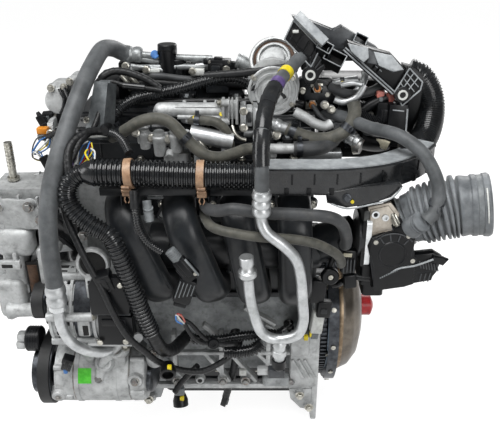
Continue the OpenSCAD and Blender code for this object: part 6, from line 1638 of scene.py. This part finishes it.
# The lattice's rungs and rails are drawn as painted highlights
RUNGS, RAILS = (5, 3)
for k in range(1, RUNGS):
    t = k / RUNGS
    edge(part_way(lattice[0], lattice[1], t), part_way(lattice[4], lattice[2], t), -82, 0.001)
for k in range(1, RAILS):
    t = k / RAILS
    edge(part_way(lattice[0], lattice[4], t), part_way(lattice[1], lattice[2], t), -82, 0.001)
# Each lug holds a steel bush painted white for its shine, with painted shadow in its bore
for x, z in (first_lug, second_lug):
    place = above_crank(x, -84, z)
    bracket.turned([(-0.01, LUG_R), (0.001, LUG_R), (0.002, LUG_R - 0.0012), (0.002, BUSH_R)], place, (0, -1, 0.1),
        sides=36)
    bracket.turned([(0.001, BUSH_R), (0.0042, BUSH_R - 0.0002), (0.0042, BORE_R), (0.001, BORE_R - 0.0002)], place,
        (0, -1, 0.1), white_nylon, 36)
    bracket.turned([(0.001, BORE_R), (0.0012, BORE_R), (0.0012, 0)], place, (0, -1, 0.1), shadow_black, 24)

# %% Rubber boot and dark box behind
# The wiring leaves here for the back of the engine
slab([(344, 540), (368, 534), (400, 512), (414, 492), (410, 440), (380, 400), (352, 420)], -14, 30, black_plastic,
    ease=0.01)
slab([(318, 478), (352, 478), (356, 430), (342, 396), (316, 400)], -52, 30, black_plastic, ease=0.006)
# Painted highlights along two edges of the dark box
edge((324, 468), (344, 466), -83, 0.0012)
edge((350, 470), (352, 404), -83, 0.0016)
slab([(316, 500), (334, 488), (322, 468)], -56, 8, salmon_plastic)
bracket.tube([(412, -30, 500), (420, -34, 488), (424, -38, 470)], 0.0024, red_plastic, 8)
bracket.done(replaces=["connector_bracket"])

# %% What lies under the bracket
depth = Piece("gearbox_end_clutter", black_plastic, slot="dark_plastic")
depth.block((206, 10, 360), (330, 90, 500), ease=0.012)
depth.block((212, -30, 392), (300, 20, 440), moulded_nylon, 0.008)
depth.block((218, -70, 372), (352, -30, 404), ease=0.006)
depth.tube([(214, -34, 498), (250, -44, 486), (290, -46, 492), (316, -44, 508)], 0.0085, hose_rubber, 18)
depth.tube([(230, -52, 462), (262, -58, 452), (288, -58, 470), (316, -54, 484)], 0.0095, sides=18)
depth.tube([(222, -64, 482), (240, -66, 478), (262, -66, 488), (274, -64, 508)], 0.0062, drawn_aluminium, 18)
depth.tube([(232, -64, 508), (252, -66, 512), (268, -66, 510)], 0.0052, drawn_aluminium, 16)
for k in range(9):
    depth.tube([(262 + 5 * k, -72, 468 - 2 * k), (276 + 5 * k, -72, 446 - 2 * k)], 0.0018, sides=6)
depth.plate(mm((0, 0), (36, -11), (30, -27), (4, -14)), 0.014, set_down((288, -76, 420)), tan_cream, 0.003)
depth.turned(mm((0, 14), (12, 14), (13, 12)), (272, -74, 416), (0.9, -0.2, -0.2), purple_plastic, 24)
spring_clip(depth, (262, -92, 406), (0.9, -0.3, 0.2), 0.015, width=0.012, material=zinc_steel)
depth.block((240, -100, 402), (256, -88, 420), ease=0.003)
depth.block((160, -110, 376), (236, -84, 400), drawn_aluminium, 0.004)
depth.turned(mm((0, 7.5), (6, 7), (6, 0)), (150, -112, 392), (0, -1, 0.6), zinc_steel, 20)
depth.done()

# %% [markdown]
# ## Belt end
# A cast bracket with a convex shoulder joins the engine to its rubber mount. Below it sit the alternator, with a
# black cover over its rectifier, and the refrigerant compressor, a drum in three parts with brown sealing rings.

# %% Mount bracket
mount = Piece("mount_detail", cast_aluminium, slot="cast_aluminium")
mount.block((-404, -176, 84), (-350, -120, 168), ease=0.014, segments=4)
mount.block((-392, -170, 214), (-322, -118, 272), ease=0.016, segments=4)
mount.block((-384, -164, 150), (-346, -120, 226), ease=0.008, segments=3)
mount.block((-348, -166, 108), (-306, -128, 126), ease=0.006, segments=3)
mount.block((-320, -166, 108), (-304, -128, 232), ease=0.006, segments=3)
# A strip of painted shadow in the gap between the webs
mount.block((-345, -160, 126), (-320, -156.5, 202), shadow_black, 0.001)
mount.turned(mm((0, 10), (66, 10), (66, 0)), (-333, -156, 130), (0, 0, 1), hot_iron, 24)
mount.turned(mm((0, 16.5), (6, 17.5), (12, 15), (18, 13), (44, 13), (48, 15.5), (56, 15.5), (58, 13), (58, 0)),
    (-384, -176, 106), (1, 0, 0.04), sides=32)
boss(mount, (-318, -170, 108), (0.2, -1, 0.1), 0.013, 0.01, cast_aluminium, hole_shade=shadow_black)
mount.block((-386, -180, 196), (-346, -168, 214), ease=0.004)
# A slot of painted shadow in the pad
mount.block((-380, -181, 201), (-360, -179, 208), shadow_black, 0.001)
mount.block((-360, -176, 196), (-352, -164, 228), ease=0.003)
for x, z, w in ((-372, 296, 10), (-340, 300, 10), (-308, 296, 10)):
    mount.block((x, -160, z - 26), (x + w / 2, -150, z + 36), ease=0.002)
mount.block((-396, -160, 268), (-286, -146, 284), ease=0.005)
mount.plate(mm((0, 0), (70, -4), (98, -40), (60, -62), (0, -44)), 0.01, set_down((-386, -154, 332)), ease=0.003)
for x, z in ((-374, 316), (-318, 318), (-300, 292), (-286, 150), (-284, 236)):
    boss(mount, (x, -162, z), (0, -1, 0.1), 0.0105, 0.007, cast_aluminium, rusty_steel, 0.013)
for k in range(7):
    mount.turned(mm((0, 7.8), (1.6, 7), (3.2, 7.8)), (-360, -105, 370 + 6.4 * k), (0, 0, 1), zinc_steel, 16)
mount.done()
under = Piece("idler_and_bracket", black_plastic, slot="pressed_steel_black")
under.turned(mm((0, 22), (2, 24), (26, 24), (28, 22), (28, 0)), (-360, -172, 38), (1, 0, 0), sides=36)
for k in range(5):
    band(under, (-356 + 5 * k, -172, 38), (1, 0, 0), 0.024, 0.0018, thick=0.0007, sides=36)
for dx, z in ((0, 48), (-4, 30)):
    under.block((-376 + dx, -188, z - 8), (-358 + dx, -168, z + 8), cast_aluminium, 0.004)
for k in range(3):
    under.tube([(-296, -150, 330 - 34 * k), (-272, -158, 322 - 36 * k), (-252, -150, 300 - 38 * k)], 0.0042,
        wiring_tape, 10)
under.block((-300, -148, 230), (-246, -128, 296), black_paint, 0.004)
under.block((-262, -168, 264), (-236, -148, 302), ease=0.003)
under.block((-258, -170, 286), (-248, -166, 296), yellow_plastic, 0.001)
under.hex_bolt((-228, -170, 262), (0, -1, 0.1), 0.012, rusty_steel)
under.done()

# %% Alternator
alternator = Piece("alternator_detail", cast_aluminium, slot="cast_aluminium")
ALT_Y, ALT_Z = (-172, 125)
for x, r in ((-284, 74.5), (-246, 75.5), (-206, 75.5)):
    band(alternator, (x, ALT_Y, ALT_Z), (1, 0, 0), r / 1000, 0.006, thick=0.0022, sides=64)
band(alternator, (-226, ALT_Y, ALT_Z), (1, 0, 0), 0.0742, 0.03, oiled_steel, 0.0006, 64)
# The cooling slots are plates of painted shadow
for a in range(90, 271, 12):
    out = Vector((0, cosine(a), sine(a)))
    slot_at = above_crank(-268, ALT_Y, ALT_Z) + out * 0.0745
    box_at(alternator, slot_at, facing(out, (1, 0, 0)), (-4.5, -8, -1), (4.5, 8, 0.6), shadow_black, 0.001, 1)
for a in (112, 168, 214):
    out = Vector((0, cosine(a), sine(a)))
    alternator.turned(mm((0, 8), (80, 8), (82, 6.5), (82, 0)), above_crank(-288, ALT_Y, ALT_Z) + out * 0.077,
        (1, 0, 0), sides=20)
    alternator.hex_bolt(above_crank(-206, ALT_Y, ALT_Z) + out * 0.077, (1, 0, 0), 0.009, zinc_steel)
# The round cast opening and the slotted end of the housing. A disc and strips of painted shadow stand in for the dark
# inside them.
alternator.turned(mm((0, 30), (6, 29.5), (9, 27.5), (9, 23.5), (2, 22.5), (2, 0)), (-196, -238, 246),
    (-0.05, -1, 0.15), sides=44)
alternator.turned(mm((0, 22.2), (1.5, 22.2), (1.5, 0)), (-196, -240.4, 246.4), (-0.05, -1, 0.15), shadow_black, 36)
alternator.block((-212, -250, 180), (-182, -232, 228), ease=0.004)
for k in range(3):
    alternator.block((-207, -251.5, 188 + 12 * k), (-188, -249, 194 + 12 * k), shadow_black, 0.001)
alternator.block((-236, -252, 100), (-212, -236, 146), ease=0.005)
# A patch of painted shadow in the recess of this lug
alternator.block((-226, -253, 104), (-216, -250, 126), shadow_black, 0.002)
alternator.block((-222, -250, 78), (-134, -232, 84), ease=0.002)
alternator.done()
rectifier = Piece("rectifier_cover", black_plastic, slot="black_plastic")
rectifier.plate(mm((0, 0), (66, 0), (70, 20), (70, 58), (52, 76), (10, 76), (0, 60)), 0.016,
    set_down((-206, -242, 152)), ease=0.003)
rectifier.plate(mm((0, 0), (64, 0), (64, 60), (4, 66)), 0.014, set_down((-200, -240, 84)), ease=0.003)
# A strip of painted grey sheen along the top of the cover
rectifier.block((-204, -253, 147), (-138, -238, 153), sheen_grey_plastic, 0.002)
rectifier.block((-190, -258, 128), (-148, -252, 142), ease=0.002)
plug(rectifier, (-170, -252, 206), (-0.25, -0.2, 1), (0, -1, 0), 22, 20, 34, ribs=5)
for x, z in ((-150, 214), (-150, 96), (-196, 94)):
    rectifier.turned(mm((0, 5.5), (2, 5.5), (3, 4.5), (3, 0)), (x, -258, z), (0, -1, 0), zinc_steel, 18)
rectifier.turned(mm((0, 12), (4, 12), (5, 10), (5, 0)), (-126, -246, 196), (0.3, -1, 0.1), sides=24)
rectifier.turned(mm((0, 9), (6, 9), (6, 0)), (-132, -244, 96), (0.4, -1, 0.1), cast_aluminium, 20)
rectifier.block((-136, -240, 150), (-112, -216, 196), ease=0.004)
rectifier.done()

# %% Compressor
compressor = Piece("compressor_detail", cast_aluminium, slot="cast_aluminium")
COMP_Y, COMP_Z = (-175, -32)
COMP_AXIS = above_crank(0, COMP_Y, COMP_Z)


def on_drum(x, angle, r):
    """A place on the compressor's drum. The angle opens upward from straight ahead."""
    a = math.radians(angle)
    return above_crank(x, COMP_Y - r * math.cos(a), COMP_Z + r * math.sin(a)), Vector((0, -math.cos(a), math.sin(a)))


compressor.turned(mm((-302, 44), (-300, 57.5), (-296, 61.2), (-268, 61.8), (-265, 60.6)), COMP_AXIS, (1, 0, 0),
    sides=72)
compressor.turned(mm((-262, 60.6), (-259, 61.8), (-163, 61.8), (-160, 60.6)), COMP_AXIS, (1, 0, 0), sides=72)
compressor.turned(mm((-157, 60.6), (-154, 62.2), (-138, 61.6), (-130, 57), (-127, 48)), COMP_AXIS, (1, 0, 0),
    sides=72)
for x in (-0.2635, -0.1585):
    compressor.turned([(x - 0.0016, 0.056), (x - 0.0016, 0.0611), (x + 0.0016, 0.0611), (x + 0.0016, 0.056)],
        COMP_AXIS, (1, 0, 0), rusty_steel, 72)
for x0, x1, angle in ((-262, -160, 72), (-300, -268, 40), (-156, -130, 55), (-156, -130, -8), (-300, -268, -20)):
    compressor.tube([on_drum(x0, angle, 61)[0], on_drum(x1, angle, 61)[0]], 0.0058, sides=16)
for x, angle, reach, size in ((-230, 62, 78, 13), (-111, 58, 76, 13), (-145, 18, 66, 11), (-294, -14, 64, 8)):
    place, out = on_drum(x, angle, reach)
    root, _ = on_drum(x, angle, 50)
    compressor.tube([root, place], lambda t: 0.017 - 0.004 * t, sides=24)
    boss(compressor, place, out, 0.0125, 0.004, cast_aluminium, rusty_steel, size / 1000)
# Port flange: two round ports and a screw eye on one raised web
port_axis = Vector((-0.12, -0.80, 0.58)).normalized()
for x, z, r, screw in ((-177, 60, 19, False), (-203, 30, 17, False), (-214, -6, 10, True), (-164, 84, 10, True)):
    place = above_crank(x, -226 - 0.10 * (60 - z), z - 4)
    compressor.turned(mm((-20, r * 1.05), (0, r), (3, r * 0.94), (3, r * 0.70), (0.8, r * 0.64), (0.8, 0)), place,
                      port_axis, cast_aluminium, 36)
    if screw:
        compressor.hex_bolt(place + 0.002 * port_axis, port_axis, 0.011, rusty_steel)
    elif r == 19:
        compressor.turned(mm((0, 11), (2, 10), (2, 0)), place + 0.001 * port_axis, port_axis, rusty_steel, 28)
compressor.tube([(-214, -230, -8), (-203, -226, 24), (-177, -224, 56), (-164, -220, 80)], 0.0095, sides=18)
compressor.hex_bolt((-158, -226, 60), (0, -0.5, 1), 0.012, zinc_steel, height=0.02)
compressor.turned(mm((18, 4.5), (30, 4.5), (31, 0)), (-158, -226, 60), (0, -0.5, 1), zinc_steel, 16)
compressor.done()
label = Piece("compressor_label")
LABEL_STEPS = 8
for k in range(LABEL_STEPS):
    low_angle = 12 + 27 * k / LABEL_STEPS
    place, out = on_drum(-241.5, low_angle + 13.5 / LABEL_STEPS, 62.1)
    box_at(label, place, facing(out, (0, 1, 1)), (-12.5, -1.86, -0.5), (12.5, 1.86, 0.35), green_label, 0)
label.done()
foot = Piece("compressor_foot", slot="cast_aluminium")
foot.plate(mm((0, 0), (26, 4), (16, -66), (4, -104), (-18, -108), (-26, -94)), 0.014, set_down((-120, -128, -34)),
    sand_cast, 0.003)
foot.block((-152, -150, -142), (-126, -126, -126), cast_aluminium, 0.004)
foot.hex_bolt((-140, -152, -134), (0, -1, 0.1), 0.013, zinc_steel)
foot.turned(mm((0, 30), (14, 28), (16, 24), (16, 0)), (-128, -196, -34), (1, -0.3, 0), oiled_steel, 36)
foot.done()
clutch_plug = Piece("clutch_plug", slot="black_plastic")
plug(clutch_plug, (-272, -236, 18), (0.35, -0.2, 1), (0, -1, 0), 18, 14, 32, ribs=4)
clutch_plug.block((-276, -244, 10), (-268, -236, 22), blue_plastic, 0.002)
clutch_plug.done()
for body, x, y, z, r in (("compressor_wheel", -344, COMP_Y, COMP_Z, 46), ("crank", -332, 0, 0, 44)):
    face = Piece(body + "_face", body=body, slot="dark_steel")
    face.turned(mm((0, r), (3, r), (4, r * 0.93), (4, 20), (1, 18), (1, 0)), (x, y, z), (-1, 0, 0), oiled_steel, 48)
    for a in (0, 120, 240):
        out = Vector((0, cosine(a), sine(a)))
        face.turned(mm((3, 5.5), (5.5, 5), (5.5, 0)), above_crank(x, y, z) + out * r * 0.00072, (-1, 0, 0),
            zinc_steel, 18)
    face.hex_bolt((x - 1, y, z), (-1, 0, 0), 0.015, zinc_steel, height=0.006)
    face.done()

# %% [markdown]
# ## Block, sump and output end
# The block is sand cast, so it carries ribs, bosses and a stiff flange for the gearbox. Behind the flange the ring
# gear shows its teeth, and a thin steel shield stands beside the converter, whose weld heat left it brown and blue.

# %% Block ribs and flange
low = Piece("block_detail", cast_aluminium, slot="cast_aluminium")
for x in range(-172, 200, 93):
    low.block((x - 4.5, -164, -84), (x + 4.5, -140, 40), ease=0.0015)
for z, t in ((-4, 4), (-86, 6)):
    low.block((-190, -167, z - t), (205, -156, z + t), ease=0.002)
for x0, z0, x1, z1 in ((-150, 36, -110, 0), (-20, -6, 30, -80), (30, -6, 84, -80), (84, -6, 140, -70),
        (140, 40, 196, -80), (-20, 60, 40, 0), (100, 60, 190, 4), (-116, -6, -60, -80), (60, 100, 120, 60)):
    box_at(low, ((x0 + x1) / 2, -156, (z0 + z1) / 2), facing((0, -1, 0), (x1 - x0, 0, z1 - z0)),
        (-4, -math.hypot(x1 - x0, z1 - z0) / 2, -10), (4, math.hypot(x1 - x0, z1 - z0) / 2, 7), ease=0.002)
# Every third boss shows a disc of painted shadow in its bore instead of a screw
for x in range(-168, 200, 46):
    boss(low, (x, -163, -70), (0, -1, 0), 0.0085, 0.006, cast_aluminium, rusty_steel if x % 3 else None, 0.012,
        hole_shade=None if x % 3 else shadow_black)
low.block((196, -170, -172), (208, -148, 150), ease=0.003)
low.plate(mm((0, 0), (56, 0), (56, -50), (48, -58), (24, -52), (4, -28)), 0.016, set_down((150, -152, -92)),
    ease=0.004)
for x, z in ((172, -102), (192, -134)):
    boss(low, (x, -170, z), (0, -1, 0), 0.009, 0.005, cast_aluminium, zinc_steel, 0.012)
low.block((150, -172, -86), (204, -150, 44), ease=0.006)
for k in range(3):
    box_at(low, (166 + 12 * k, -170, -36), facing((0, -1, 0), (-0.5, 0, 1)), (-3, -28, -4), (3, 26, 6), ease=0.002)
low.block((96, -178, -78), (150, -156, -56), sand_cast, 0.005)
low.block((150, -184, 0), (186, -158, 50), ease=0.004)
low.done()

# %% Sump
sump = Piece("sump_detail", slot="painted_can")
sump.block((-190, -136, -102), (204, -126, -92), black_paint, 0.002)
for x in range(-174, 200, 43):
    sump.hex_bolt((x, -128, -101), (0, 0, -1), 0.009, zinc_steel)
sump.done()

# %% Sensors and plugs at the output end
ends = Piece("output_end_plugs", black_plastic, slot="black_plastic")
turn = facing((0.1, -1, 0.05), (0.12, 0, 1))
box_at(ends, (196, -190, 168), turn, (-16, -28, -4), (12, 18, 14), ease=0.003)
box_at(ends, (206, -194, 126), turn, (-13, -16, -4), (13, 17, 14), ease=0.003)
box_at(ends, (206, -208, 126), turn, (-6, -5, 0), (6, 5, 2.5), moulded_nylon, 0.001)
ends.turned(mm((0, 16.5), (8, 16), (10, 14), (10, 7), (8, 6), (8, 0)), (214, -196, 196), (0.1, -1, 0.1), sides=32)
ends.turned(mm((8, 5), (11, 4.5), (11, 0)), (214, -196, 196), (0.1, -1, 0.1), zinc_steel, 20)
ends.tube([(214, -190, 206), (222, -188, 240), (228, -186, 262)], 0.0052, wiring_tape, 12)
box_at(ends, (196, -190, 96), turn, (-11, -24, -4), (11, 20, 14), white_nylon, 0.002)
box_at(ends, (194, -184, 62), turn, (-7, -12, -3), (7, 6, 8), grey_plastic, 0.002)
for x, z in ((204, 74), (188, 60), (178, 52)):
    ends.block((x - 4, -192, z - 5), (x + 4, -184, z + 5), yellow_plastic, 0.001)
for x, y, z, aim in ((-80, -250, 28, (0.1, -1, -0.2)), (-68, -196, -92, (0.1, -0.5, -1))):
    ends.turned(mm((-10, 11), (2, 15), (14, 15), (15, 13.5), (15, 10.5), (6, 10), (6, 0)), (x, y, z), aim, sides=30)
    ends.block((x + 1, y - 16, z + 8), (x + 9, y - 8, z + 17), yellow_plastic, 0.0012)
taped(ends, [(-76, -214, -60), (-62, -208, -40), (-44, -204, -20), (-30, -208, 0)], 0.006, 0.008)
ends.block((-78, -210, -74), (-58, -196, -56), grey_plastic, 0.003)
ends.block((50, -192, -38), (64, -184, -25), white_nylon, 0.001)
for low_at, high_at in (((-134, -196, 69), (-109, -196, 42)), ((-106, -196, 19), (-88, -196, 2))):
    a, b = (above_crank(*low_at), above_crank(*high_at))
    along = (b - a).normalized()
    box_at(ends, (a + b) / 2, facing((0, -1, 0.1), along), (-7, -(b - a).length * 500, -6),
        (7, (b - a).length * 500, 6), grey_plastic, 0.002)
# This box is drawn in the painted grey sheen
box_at(ends, (118, -280, 46), to_front, (-15, -9, -8), (15, 9, 8), sheen_grey_plastic, 0.002)
box_at(ends, (96, -276, 46), to_front, (-12, -7, -6), (8, 7, 6), cast_aluminium, 0.002)
ends.done()

# %% Shield, converter rim and hub cap
shield = Piece("dust_shield", slot="pressed_steel_black")
SHIELD_RADIUS = 0.153
rows = []
SHIELD_STEPS = 32
for k in range(SHIELD_STEPS + 1):
    a = math.radians(100 + 160 * k / SHIELD_STEPS)
    r = SHIELD_RADIUS + (0.004 if 8 < k < 26 else 0.0)
    rows.append([Vector((x, r * math.cos(a), CRANK_HEIGHT + r * math.sin(a))) for x in (0.2265, 0.247)])
sheet_mesh = bmesh.new()
points = [[sheet_mesh.verts.new(p) for p in row] for row in rows]
outside = [[sheet_mesh.verts.new(Vector((p.x, p.y * 1.01,
    CRANK_HEIGHT + (p.z - CRANK_HEIGHT) * 1.01))) for p in row] for row in rows]
for k in range(SHIELD_STEPS):
    a, b, c, d = (points[k], points[k + 1], outside[k], outside[k + 1])
    for quad in ([a[0], b[0], b[1], a[1]], [c[1], d[1], d[0], c[0]], [a[0], c[0], d[0], b[0]],
            [a[1], b[1], d[1], c[1]]):
        sheet_mesh.faces.new(quad)
for a, c in ((points[0], outside[0]), (points[-1], outside[-1])):
    sheet_mesh.faces.new([a[0], a[1], c[1], c[0]])
shield.take(sheet_mesh, oiled_steel)
for a in (150, 178, 205, 232):
    out = Vector((0, cosine(a), sine(a)))
    shield.turned(mm((0, 5), (2, 4.8), (2, 0)), Vector((0.236, 0, CRANK_HEIGHT)) + out * 0.159, out, zinc_steel, 18)
shield.done()
rim = Piece("converter_detail", body="crank", slot="dark_steel")
CONVERTER_AXIS = above_crank(0, 0, 0)
rim.turned(mm((227.5, 130), (227.5, 137.2), (233, 138.5), (240, 138.5), (244, 136.8), (244, 130)), CONVERTER_AXIS,
    (1, 0, 0), blued_steel, 96)
rim.turned(mm((250, 130), (250, 136.9), (254, 137.8), (258, 136.9), (258, 130)), CONVERTER_AXIS, (1, 0, 0),
    weld_steel, 96)
for k in range(6):
    a = math.radians(60 * k + 12)
    out = Vector((0, math.cos(a), math.sin(a)))
    rim.hex_bolt(above_crank(226, 0, 0) + out * 0.14, out, 0.008, zinc_steel, height=0.003, washer=False)
rim.done()
hub_cap = Piece("hub_cap", body="crank")
hub_cap.turned(mm((300, 22.8), (333.5, 22.8), (336, 20), (338.5, 14), (341, 8), (342, 0)), CONVERTER_AXIS, (1, 0, 0),
    red_plastic, 40)
hub_cap.done()

# %% [markdown]
# ## Far side
# The exhaust side is plain. The manifold has a pressed heat shield, and the block has ribs, core plugs and a filter
# whose end is fluted for a cap wrench.

# %% Exhaust side
back = Piece("exhaust_side_detail", slot="cast_iron")
for k in range(4):
    x = -138 + 92 * k
    for side in (-1, 1):
        back.hex_bolt((x + side * 33, 101, 276), (0, 1, 0), 0.012, rusty_steel)
    for z in (296, 262):
        band(back, (x, 112, z - 8), (0, 1, 0), 0.0215, 0.003, hot_iron, 0.0012, 32)
back.done()
skirt = Piece("block_back_detail", slot="cast_aluminium")
for x in range(-176, 200, 46):
    skirt.block((x - 2.5, 156, -84), (x + 2.5, 164, 40), sand_cast, 0.0015)
    boss(skirt, (x + 14, 160, -70), (0, 1, 0), 0.0095, 0.006, sand_cast, zinc_steel, 0.011)
for z in (-86, -4, 44):
    skirt.block((-190, 156, z - 4), (205, 165, z + 4), sand_cast, 0.002)
for x in (-92, 0, 92):
    skirt.turned(mm((0, 19), (3, 18.5), (4, 16.5), (1.5, 15.5), (1.5, 0)), (x, 95, 168), (0, 1, 0), bright_steel, 36)
for x in range(-180, 200, 40):
    skirt.block((x - 2, 93, 222), (x + 2, 99, 250), cast_aluminium, 0.001)
skirt.done()
can = Piece("filter_flutes", slot="painted_can")
for k in range(14):
    a = 2 * math.pi * k / 14
    out = Vector((math.cos(a), 0, math.sin(a)))
    can.tube([above_crank(60, 178, 20) + out * 0.0375, above_crank(60, 196, 20) + out * 0.0372], 0.0022, black_paint,
        8)
can.done()
grip = Piece("dipstick_grip", body="oil_dipstick", slot="yellow_plastic")
grip.turned(mm((0, 5.5), (3, 6.6), (10, 6.6), (13, 5), (13, 0)), (-178, 114, 428), (0, 0, 1), yellow_plastic, 24)
grip.done()
lid = Piece("filler_cap_detail", body="filler_cap", slot="black_plastic")
for k in range(18):
    a = 2 * math.pi * k / 18
    out = Vector((math.cos(a), math.sin(a), 0))
    lid.tube([above_crank(92, 54, 474) + out * 0.0228, above_crank(92, 54, 486) + out * 0.0228], 0.0013,
        black_plastic, 6)
lid.block((72, 50, 488), (112, 58, 496), black_plastic, 0.003)
lid.done()
cover_face = Piece("front_cover_detail", slot="cast_aluminium")
for side in (-1, 1):
    for z in range(-60, 340, 66):
        y = side * (88 if z < 60 else 73)
        boss(cover_face, (-326, y, z), (-1, 0, 0), 0.0085, 0.005, cast_aluminium, zinc_steel, 0.01)
for z in range(110, 340, 40):
    cover_face.block((-332, -60, z - 2), (-326, 60, z + 2), cast_aluminium, 0.001)
cover_face.block((-332, -2, 100), (-326, 2, 340), cast_aluminium, 0.001)
cover_face.done()

# %% [markdown]
# ## Studio
# A white floor and a white surround, one broad lamp above and in front, and two weaker ones at the sides. The
# surround shines white only to the camera and in reflections, so the dark hollows between the hoses stay dark.

# %% Floor, surround and lamps
def white_to_eye(made, base, strength):
    """The surface keeps its shadow and turns nearly white to the camera and in reflections."""
    made.use_nodes = True
    tree = made.node_tree
    shader = tree.nodes["Principled BSDF"]
    shader.inputs["Base Color"].default_value = base
    shader.inputs["Roughness"].default_value = 0.9
    seen = add(tree, "ShaderNodeLightPath")
    glow = add(tree, "ShaderNodeEmission", Color=(1, 1, 1, 1), Strength=strength)
    either = add(tree, "ShaderNodeMath", {"operation": "MAXIMUM"}, i0=seen.outputs["Is Camera Ray"],
                 i1=seen.outputs["Is Glossy Ray"])
    lit = add(tree, "ShaderNodeMixShader", Fac=either.outputs[0])
    both = add(tree, "ShaderNodeAddShader", i0=shader.outputs[0], i1=glow.outputs[0])
    tree.links.new(shader.outputs[0], lit.inputs[1])
    tree.links.new(both.outputs[0], lit.inputs[2])
    tree.links.new(lit.outputs[0], tree.nodes["Material Output"].inputs["Surface"])


FLOOR_HALF = 9
FLOOR_TOP = -0.001
floor_mesh = bpy.data.meshes.new("floor")
floor_mesh.from_pydata([(x * FLOOR_HALF, y * FLOOR_HALF, FLOOR_TOP) for x, y in ((-1, -1), (1, -1), (1, 1), (-1, 1))],
                       [], [(0, 1, 2, 3)])
floor = bpy.data.objects.new("floor", floor_mesh)
link(floor)
pale_floor = bpy.data.materials.new("pale_floor")
white_to_eye(pale_floor, (0.28, 0.28, 0.28, 1), 0.90)
floor_mesh.materials.append(pale_floor)

world = bpy.data.worlds.new("surround")
world.use_nodes = True
bpy.context.scene.world = world
sky = world.node_tree
background = sky.nodes["Background"]
path = add(sky, "ShaderNodeLightPath")
seen = add(sky, "ShaderNodeMath", {"operation": "MAXIMUM"}, i0=path.outputs["Is Camera Ray"],
           i1=path.outputs["Is Transmission Ray"])
level = add(sky, "ShaderNodeMapRange", Value=seen.outputs[0])
for socket, value in zip(level.inputs[1:5], (0, 1, 0.26, 1.0)):
    socket.default_value = value
sky.links.new(level.outputs[0], background.inputs["Strength"])
background.inputs["Color"].default_value = (1, 1, 1, 1)


def soft_lamp(name, place, size, watts):
    lamp = bpy.data.objects.new(name, bpy.data.lights.new(name, "AREA"))
    lamp.data.shape, lamp.data.size, lamp.data.size_y, lamp.data.energy = "RECTANGLE", *size, watts
    lamp.location = place
    lamp.rotation_euler = (Vector(place) - LOOK_AT).to_track_quat("Z", "Y").to_euler()
    link(lamp)


soft_lamp("overhead_lamp", (-0.4, -0.9, 2.6), (1.8, 1.4), 62)
soft_lamp("front_lamp", (1.3, -2.4, 1.3), (1.2, 1.2), 26)
soft_lamp("left_lamp", (-2.4, -0.8, 1.4), (1.0, 1.6), 22)
soft_lamp("rear_lamp", (0.8, 2.4, 1.8), (1.6, 1.2), 30)
bpy.context.scene.view_settings.view_transform = "Standard"
